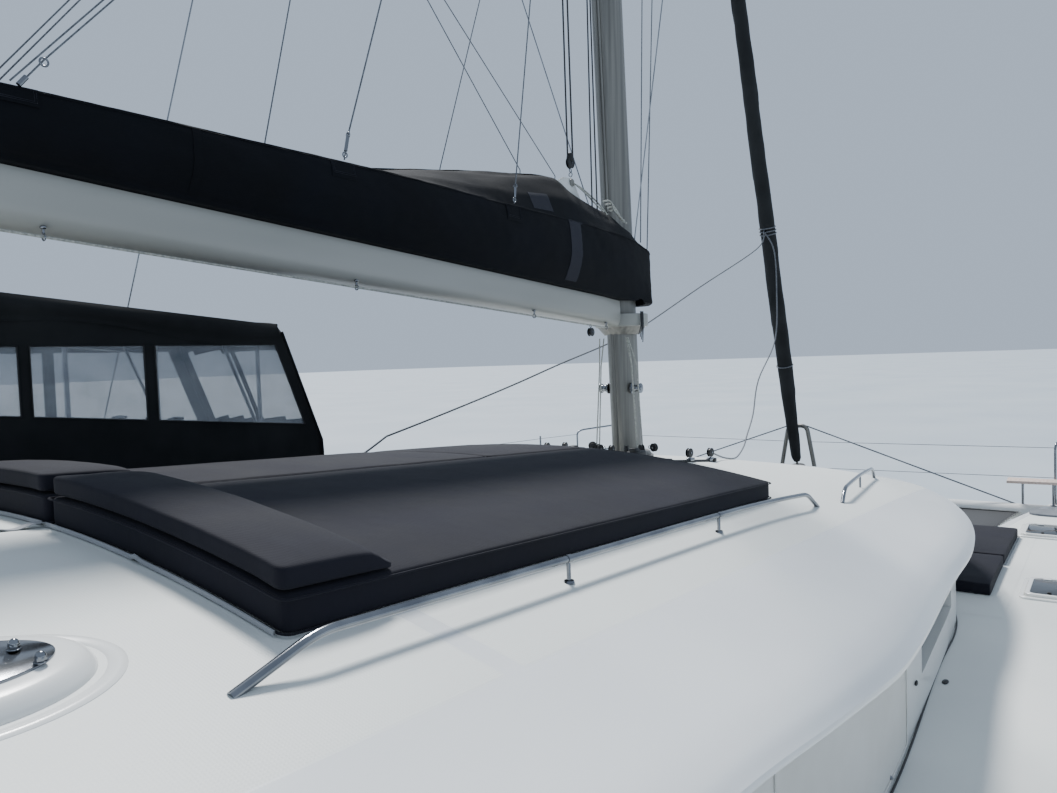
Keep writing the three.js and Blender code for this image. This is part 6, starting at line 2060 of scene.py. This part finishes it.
def cleat(x, y):
    """A mooring cleat: plate, two legs and a horn that rises at both ends."""
    legs = [rod((x + dx, y, DECK_Z + 0.006), (x + dx * 0.8, y, DECK_Z + 0.045), 0.011, 0.009, 16)
            for dx in (-0.03, 0.03)]
    horn = smooth_line([(x + dx, y, DECK_Z + lift) for dx, lift in (
        (-0.12, 0.052), (-0.07, 0.048), (0, 0.045), (0.07, 0.048), (0.12, 0.052))])
    return [block((x - 0.035, y - 0.022, DECK_Z), (x + 0.035, y + 0.022, DECK_Z + 0.01), 0.004), *legs,
            pipe([horn], 0.011, 4)]


def locker_lid(side):
    """A lid with a rounded, nearly square outline."""
    rows = ((1, 0.0), (1, 0.012), (0.985, 0.018), (0.5, 0.02), (0.0, 0.02))

    def surface(u, v):
        share, lift = rows[round(v * 4)]
        ahead_share, side_share = math.cos(2 * math.pi * u), math.sin(2 * math.pi * u)
        x = math.copysign(abs(ahead_share) ** 0.5, ahead_share) * 0.175 * share
        y = math.copysign(abs(side_share) ** 0.7, side_share) * 0.22 * share
        return 4.875 + x, side * (2.7 + y), DECK_Z + lift
    return skin(surface, 64, 4, round_way=True, capped=True)


BEAM_X = 5.33
for name, side in SIDES:
    metal = []
    for x in POSTS_X:
        _, y, top = at_edge(side, x, RAIL_LIFT + 0.014)
        metal.append(pipe([[(x, y, DECK_Z + 0.004), (x, y, top)]], TUBE, 4))
        metal.append(ball((x, y, top), (TUBE, TUBE, 0.007), 8))
        metal += stanchion_base(x, y)
        metal += [hoop((x, y, DECK_Z + lift), 0.0075, 0.003, (1, 0, 0), 8, 16) for lift in WIRE_LIFTS]
    rail = done(joined(metal + pulpit(side)), f"pulpit_and_posts_{name}", "boat", STAINLESS)
    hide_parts(f"guard_rail_{name}")
    wires = [[at_edge(side, x, lift) for x in (PULPIT_OUTER, *POSTS_X)] for lift in WIRE_LIFTS]
    for z, leg_y in ((2.25, 0.148), (1.93, 0.204)):
        wires.append([at_edge(side, PULPIT_INNER, z - DECK_Z, True), (5.342, side * leg_y, z - 0.004)])
    done(pipe(wires, 0.0032, 2), f"guard_wires_{name}", "boat", STAINLESS)

    # Mooring cleats, chainplate cover and shroud
    cleats = [part for x in (4.35, 0.3, -4.45) for part in cleat(x, side * (deck_edge(x) - 0.075))]
    done(joined(cleats), f"mooring_cleats_{name}", "boat", STAINLESS)
    foot = Vector((-1.6, side * 3.78, DECK_Z + 0.06))
    head = at_mast(HOUNDS, -0.03, side * (MAST_WIDE + 0.012), 0.1)
    run = (head - foot).normalized()
    shroud_parts = [pipe([[foot + run * 0.3, head]], 0.006, 3),
                    rod(foot - run * 0.03, foot + run * 0.34, 0.0105, sides=24, bevel=0.002),
                    rod(foot + run * 0.07, foot + run * 0.25, 0.0155, sides=24, bevel=0.003),
                    block((foot.x - 0.04, foot.y - 0.012, DECK_Z + 0.001),
                          (foot.x + 0.04, foot.y + 0.012, DECK_Z + 0.108), 0.005),
                    block((foot.x - 0.09, foot.y - 0.04, DECK_Z),
                          (foot.x + 0.09, foot.y + 0.04, DECK_Z + 0.006), 0.003)]
    shroud = done(joined(shroud_parts), f"shroud_wire_{name}", "boat", STAINLESS)
    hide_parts(f"shroud_{name}")

    # Seat at the bow, and the locker lid with its dome abaft it
    seat_z = DECK_Z + 0.24
    seat = prism([(5.17, side * 2.25), (5.425, side * 2.24), (5.425, side * 2.74), (5.21, side * 2.76)], 2,
                 seat_z, seat_z + 0.03, 0.008)
    seat = done(seat, f"bow_seat_plank_{name}", "boat", PLANK)
    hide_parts(f"bow_seat_{name}")
    legs = [[(BEAM_X, side * y, z), (BEAM_X, side * y, seat_z + 0.002)]
            for y, z in ((2.385, 1.6), (2.66, DECK_Z))]
    leg_foot = rod((BEAM_X, side * 2.66, DECK_Z), (BEAM_X, side * 2.66, DECK_Z + 0.006), 0.032, sides=24)
    done(joined([pipe(legs, TUBE, 4), leg_foot]), f"bow_seat_legs_{name}", "boat", STAINLESS)
    done(locker_lid(side), f"bow_locker_lid_{name}", "boat", LID_PAINT, smooth=50)
    dome = ball((5.16, side * 2.82, DECK_Z - 0.03), (0.13, 0.15, 0.09), 20)
    done(dome, f"bow_locker_dome_{name}", "boat", GELCOAT)

# Crossbeam, its striker frame and straps
beam_z, beam_half = DECK_Z - 0.08, 2.7
beam_parts = [rod((BEAM_X, -beam_half, beam_z), (BEAM_X, beam_half, beam_z), 0.085, sides=48)]
beam_parts += [rod((BEAM_X, y - 0.03, beam_z), (BEAM_X, y + 0.03, beam_z), 0.089, sides=48, bevel=0.003)
               for y in (-1.6, 1.6, -0.255, 0.255)]
beam = done(joined(beam_parts), "beam_tube", "boat", GELCOAT)
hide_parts("crossbeam")
striker_x, striker_top = BEAM_X + 0.015, DECK_Z + 0.79
striker = [(BEAM_X, -0.255, beam_z + 0.06), (striker_x, -0.112, striker_top),
           (striker_x, 0.112, striker_top), (BEAM_X, 0.255, beam_z + 0.06)]
frame_parts = [pipe([rounded(striker, 0.07)], 0.026, 6),
               rod(stay_point(beam_z + 0.04), stay_point(1.8285), 0.022, sides=28)]
frame_parts += [rod((BEAM_X, y, beam_z + 0.07), (BEAM_X + 0.002, y * 0.98, beam_z + 0.1), 0.04, 0.03, 28)
                for y in (-0.25, 0.25)]
done(joined(frame_parts), "striker_frame", "boat", ANODISED)
straps = [[(BEAM_X, side * (beam_half - 0.33), beam_z + 0.06), (striker_x, side * 0.112, striker_top)]
          for side in (STARBOARD, PORT)]
done(pipe(straps, 0.0085, 3), "striker_straps", "boat", STAINLESS)

# Nets between the foredeck, the crossbeam, the hulls and the longeron, laced along their edges
net_z = DECK_Z - 0.071
# A net's corners: its aft and fore ends, its inner edge, its outer edge at both ends
NET_AFT, NET_FORE, NET_INNER, NET_OUTER_AFT, NET_OUTER_FORE = 4.03, 5.2, 0.14, 2.2, 2.35
net_corners = ((NET_AFT, NET_INNER), (NET_FORE, NET_INNER), (NET_FORE, NET_OUTER_FORE),
               (NET_AFT, NET_OUTER_AFT))
# Edges as pairs of corners, and how far the lacing reaches out of each
NET_EDGES = ((0, 1, (0, -0.04)), (3, 2, (0, 0.045)), (0, 3, (-0.03, 0)), (1, 2, (0.05, 0)))


def net_skin(side):
    """A net that sags a little in its middle."""
    def surface(u, v):
        sag = 0.02 * math.sin(math.pi * u) * math.sin(math.pi * v)
        y = mixed(NET_INNER, mixed(NET_OUTER_AFT, NET_OUTER_FORE, v), u)
        return mixed(NET_AFT, NET_FORE, v), side * y, net_z - sag
    return skin(surface, 60, 40)


def net_lacing(side, a, b, out):
    """A line that goes to and fro along an edge from a to b, out over what holds the net."""
    count = int(math.dist(a, b) / 0.045)
    return [(mixed(a[0], b[0], i / count) + out[0] * (i % 2),
             side * (mixed(a[1], b[1], i / count) + out[1] * (i % 2)), net_z + 0.006)
            for i in range(count + 1)]


for name, side in SIDES:
    net = done(net_skin(side), f"net_{name}", "boat", NETTING, smooth=60)
    modify(net, "SOLIDIFY", thickness=0.004)
    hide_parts(f"trampoline_{name}")
    lacing = [net_lacing(side, net_corners[i], net_corners[j], out) for i, j, out in NET_EDGES]
    rim = [(x, side * y, net_z + 0.004) for x, y in (*net_corners, net_corners[0])]
    done(pipe(lacing, 0.003, 1), f"net_lacing_{name}", "boat", PALE_ROPE, smooth=60)
    done(pipe([rim], 0.009, 2), f"net_rim_{name}", "boat", BLACK_ROPE, smooth=60)


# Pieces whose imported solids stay: finished as they are


def finish_solid(name, finish, smooth=30, level_finish=None):
    """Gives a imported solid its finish, and its level faces another one."""
    solid = nodes[name]
    solid.data.materials.clear()
    solid.data.materials.append(finish)
    if level_finish:
        solid.data.materials.append(level_finish)
        for face in solid.data.polygons:
            if face.normal.z > 0.95 and face.center.z > 0.78:
                face.material_index = 1
    pick(solid)
    bpy.ops.object.shade_smooth_by_angle(angle=math.radians(smooth))
    return solid


finish_solid("bridge_deck", GELCOAT, level_finish=DECK_GELCOAT)
finish_solid("saloon_walls", GELCOAT)
finish_solid("saloon_windows", ACRYLIC)
finish_solid("saloon_furniture", JOINERY)
finish_solid("longeron", GELCOAT)


# Cockpit: moulded seats with cushions, table on its post

COCKPIT_SOLE, SEAT_TOP, COAMING_TOP = 0.8203, 1.23, 1.56
mouldings = [
    block((-5.9, -1.95, 0.8003), (-4.26, 1.95, COCKPIT_SOLE), 0.004),
    block((-5.85, -1.3, 0.801), (-5.25, 1.3, SEAT_TOP), 0.03, 4),
    block((-5.9, -1.95, 0.801), (-5.78, 1.95, COAMING_TOP), 0.035, 4),
    block((-5.3, 1.25, 0.801), (-4.3, 1.95, SEAT_TOP), 0.03, 4),
    block((-4.76, 0.5, 0.801), (-4.64, 0.62, 1.435), 0.02)]
cockpit = done(joined(mouldings), "cockpit_mouldings", "boat", GELCOAT)
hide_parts("cockpit_furniture")
table_top = block((-5.2, 0.12, 1.43), (-4.4, 1.05, 1.47), 0.012)
done(table_top, "cockpit_table", "boat", JOINERY)


for name, low, high in (("aft_seat_cushion_starboard", (-5.77, -1.28), (-5.27, -0.01)),
                        ("aft_seat_cushion_port", (-5.77, 0.01), (-5.27, 1.22)),
                        ("side_seat_cushion", (-5.24, 1.27), (-4.32, 1.93))):
    cushion = boxed_pad(low, high, 0.07, cell=0.06)
    cushion_done(moved(cushion, lambda place: laid(place, SEAT_TOP - 0.001)), name, "boat")


# Roof posts, sliding door, helm

for name, side in SIDES:
    y, post_top = side * 1.86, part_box(f"roof_post_{name}")[1].z
    parts = [rod((-5.84, y, COAMING_TOP + 0.004), (-5.71, y, post_top - 0.01), 0.03, sides=32),
             block((-5.89, y - 0.05, COAMING_TOP + 0.0004), (-5.79, y + 0.05, COAMING_TOP + 0.014), 0.004)]
    post = done(joined(parts), f"roof_post_tube_{name}", "boat", STAINLESS)
    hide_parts(f"roof_post_{name}")

leaf_front = -4.2003
# Rails of the door's leaf: y0, y1, z0, z1
LEAF_RAILS = ((-0.66, -0.57, 0.85, 2.7), (0.57, 0.66, 0.85, 2.7), (-0.66, 0.66, 0.85, 0.94),
              (-0.66, 0.66, 2.61, 2.7))
rails = [block((leaf_front - 0.04, y0, z0), (leaf_front, y1, z1), 0.006) for y0, y1, z0, z1 in LEAF_RAILS]
done(joined(rails), "door_frame", "door", ANODISED)
pane = block((leaf_front - 0.024, -0.585, 0.93), (leaf_front - 0.012, 0.585, 2.62), 0)
done(pane, "door_pane", "door", ACRYLIC)
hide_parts("sliding_door")
grip_path = [(leaf_front + out, 0.61, z)
             for out, z in ((-0.038, 1.66), (-0.072, 1.66), (-0.072, 1.94), (-0.038, 1.94))]
done(pipe([rounded(grip_path, 0.02)], 0.008, 4), "door_grip", "door", STAINLESS)

HELM_AFT, HELM_Y0, HELM_Y1 = -4.15, 1.1, 1.82
finish_solid("helm_pod", GELCOAT)
seat = boxed_pad((HELM_AFT + 0.12, HELM_Y0), (HELM_AFT + 0.52, HELM_Y1), 0.099, cell=0.05)
moved(seat, lambda place: laid(place, 2.3305))
cushion_done(seat, "helm_seat_cushion", "boat", "helm_seat")
# The back is made lying down, with its height along x, and set up
back = boxed_pad((2.34, HELM_Y0), (2.78, HELM_Y1), 0.085, cell=0.05)
moved(back, lambda place: Vector((HELM_AFT + 0.062 + place.z + creased(place), place.y, place.x)))
pick(back)
bpy.ops.object.mode_set(mode="EDIT")
bpy.ops.mesh.select_all(action="SELECT")
bpy.ops.mesh.normals_make_consistent(inside=False)
bpy.ops.object.mode_set(mode="OBJECT")
cushion_done(back, "helm_seat_back", "boat")

# Wheel: leather rim, five spokes, hub
WHEEL_CENTRE, WHEEL_RADIUS = Vector((-2.48, 1.6, 2.64)), 0.37
rim = hoop(WHEEL_CENTRE, WHEEL_RADIUS, 0.0148, (1, 0, 0), 20, 96)
done(rim, "wheel_rim", "wheel", LEATHER)
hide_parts("steering_wheel")
wheel_parts = []
for i in range(5):
    angle = 2 * math.pi * i / 5
    reach = Vector((0, math.sin(angle), math.cos(angle)))
    inner_end, outer_end = WHEEL_CENTRE + reach * 0.03, WHEEL_CENTRE + reach * (WHEEL_RADIUS - 0.005)
    wheel_parts.append(rod(inner_end, outer_end, 0.008, 0.0075, 20))
wheel_parts.append(rod(WHEEL_CENTRE + Vector((0.025, 0, 0)), WHEEL_CENTRE - Vector((0.045, 0, 0)), 0.045,
                       0.036, 40, 0.006))
wheel_parts.append(rod(WHEEL_CENTRE, WHEEL_CENTRE + Vector((0.1318, 0, 0)), 0.02, sides=28))
done(joined(wheel_parts), "wheel_spokes", "wheel", STAINLESS)

# Instruments, throttle and winches at the helm
panel = [block((-2.255, y - 0.085, 2.972), (-2.155, y + 0.085, 2.992), 0.008) for y in (1.32, 1.6, 1.88)]
done(joined(panel), "helm_displays", "boat", ACRYLIC)
throttle = [block((-2.36, 2.0, 2.83), (-2.3, 2.1, 2.88), 0.012)]
throttle += [rod((-2.33, y, 2.87), (-2.36, y, 2.97), 0.008, sides=16) for y in (2.02, 2.07)]
throttle += [ball((-2.36, y, 2.98), (0.017, 0.017, 0.02)) for y in (2.02, 2.07)]
done(joined(throttle), "engine_levers", "boat", BLACK_NYLON)
helm_winches = [part for y in (1.2, 1.45, 1.85) for part in winch((-2.085, y, 3.018), (0, 0, 1), 0.9)]
done(joined(helm_winches), "helm_winches", "boat", STAINLESS)


# Underwater gear: saildrives, propellers, rudders; boarding ladder

DRIVE_X, SHAFT_Z, RUDDER_X = -3.7, -0.9, -5.2
HUB_X = DRIVE_X - 0.1703


def blade(middle, turn_by):
    """A propeller blade, turned about the shaft."""
    def surface(u, v):
        width = 0.058 * math.sin(math.pi * min(max(0.16 + v * 0.84, 0), 0.985)) ** 0.6
        pitch = math.radians(mixed(62, 28, v))
        angle = 2 * math.pi * u
        a, b = math.cos(angle) * width, math.sin(angle) * 0.006 * (1 - 0.7 * v)
        along = a * math.sin(pitch) + b * math.cos(pitch)
        y, z = a * math.cos(pitch) - b * math.sin(pitch), mixed(0.035, 0.19, v)
        return (HUB_X - 0.055 + along * 0.75, middle + y * math.cos(turn_by) - z * math.sin(turn_by),
                SHAFT_Z + y * math.sin(turn_by) + z * math.cos(turn_by))
    return skin(surface, 28, 16, round_way=True, capped=True)


for name, side in SIDES:
    middle = side * HULL_MIDDLE
    leg = fin(lambda v: DRIVE_X + mixed(0.11, 0.15, v), lambda v: DRIVE_X - mixed(0.11, 0.15, v),
              lambda v: mixed(0.036, 0.05, v), -1.02, -0.46, middle, 40, 12)
    gear = rod((DRIVE_X + 0.16, middle, SHAFT_Z), (DRIVE_X - 0.17, middle, SHAFT_Z), 0.056, 0.048, 40, 0.004)
    nose = ball((DRIVE_X + 0.16, middle, SHAFT_Z), (0.055, 0.055, 0.055), 16)
    plate = block((DRIVE_X - 0.16, middle - 0.08, -0.74), (DRIVE_X + 0.1, middle + 0.08, -0.728), 0.004)
    drive = done(joined([leg, gear, nose, plate]), f"drive_leg_{name}", "boat", ANTIFOUL)
    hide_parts(f"saildrive_{name}")

    screw = [rod((HUB_X, middle, SHAFT_Z), (HUB_X - 0.085, middle, SHAFT_Z), 0.047, 0.036, 40, 0.002),
             ball((HUB_X - 0.085, middle, SHAFT_Z), (0.025, 0.036, 0.036), 12)]
    screw += [blade(middle, 2 * math.pi * i / 3) for i in range(3)]
    screw = done(joined(screw), f"propeller_blades_{name}", f"propeller_{name}_body", BRONZE)
    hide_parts(f"propeller_{name}")

    rudder = fin(lambda v: RUDDER_X + mixed(0.136, 0.17, v), lambda v: RUDDER_X - mixed(0.32, 0.4, v),
                 lambda v: mixed(0.027, 0.034, v), -1.21, -0.385, middle, 48, 16)
    stock = rod((RUDDER_X, middle, -0.42), (RUDDER_X, middle, -0.333), 0.025, sides=28)
    rudder = joined([rudder, stock])
    done(rudder, f"rudder_blade_{name}", f"rudder_{name}_body", ANTIFOUL)
    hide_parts(f"rudder_{name}")

LADDER = Vector((-6.5143, -2.93, 0.3))


def ladder_box(low, high, bevel=0.006):
    """A block placed from the ladder's foot."""
    return block(LADDER + Vector(low), LADDER + Vector(high), bevel)


ladder = [pipe([[LADDER + Vector((0, y, 0.002)), LADDER + Vector((0, y, 0.898))]], 0.0138, 5)
          for y in (-0.18, 0.18)]
ladder += [ladder_box((-0.03, -0.18, z - 0.012), (0.02, 0.18, z + 0.012)) for z in (0.15, 0.4, 0.65, 0.85)]
hinge_half = Vector((0, 0.19, 0))
ladder.append(rod(LADDER - hinge_half, LADDER + hinge_half, 0.012, sides=24, bevel=0.002))
ladder = done(joined(ladder), "ladder_tubes", "ladder", STAINLESS)
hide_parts("swim_ladder")
brackets = [ladder_box((-0.02, y - 0.012, -0.03), (0.0183, y + 0.012, 0.02), 0.004) for y in (-0.208, 0.208)]
done(joined(brackets), "ladder_brackets", "boat", STAINLESS)
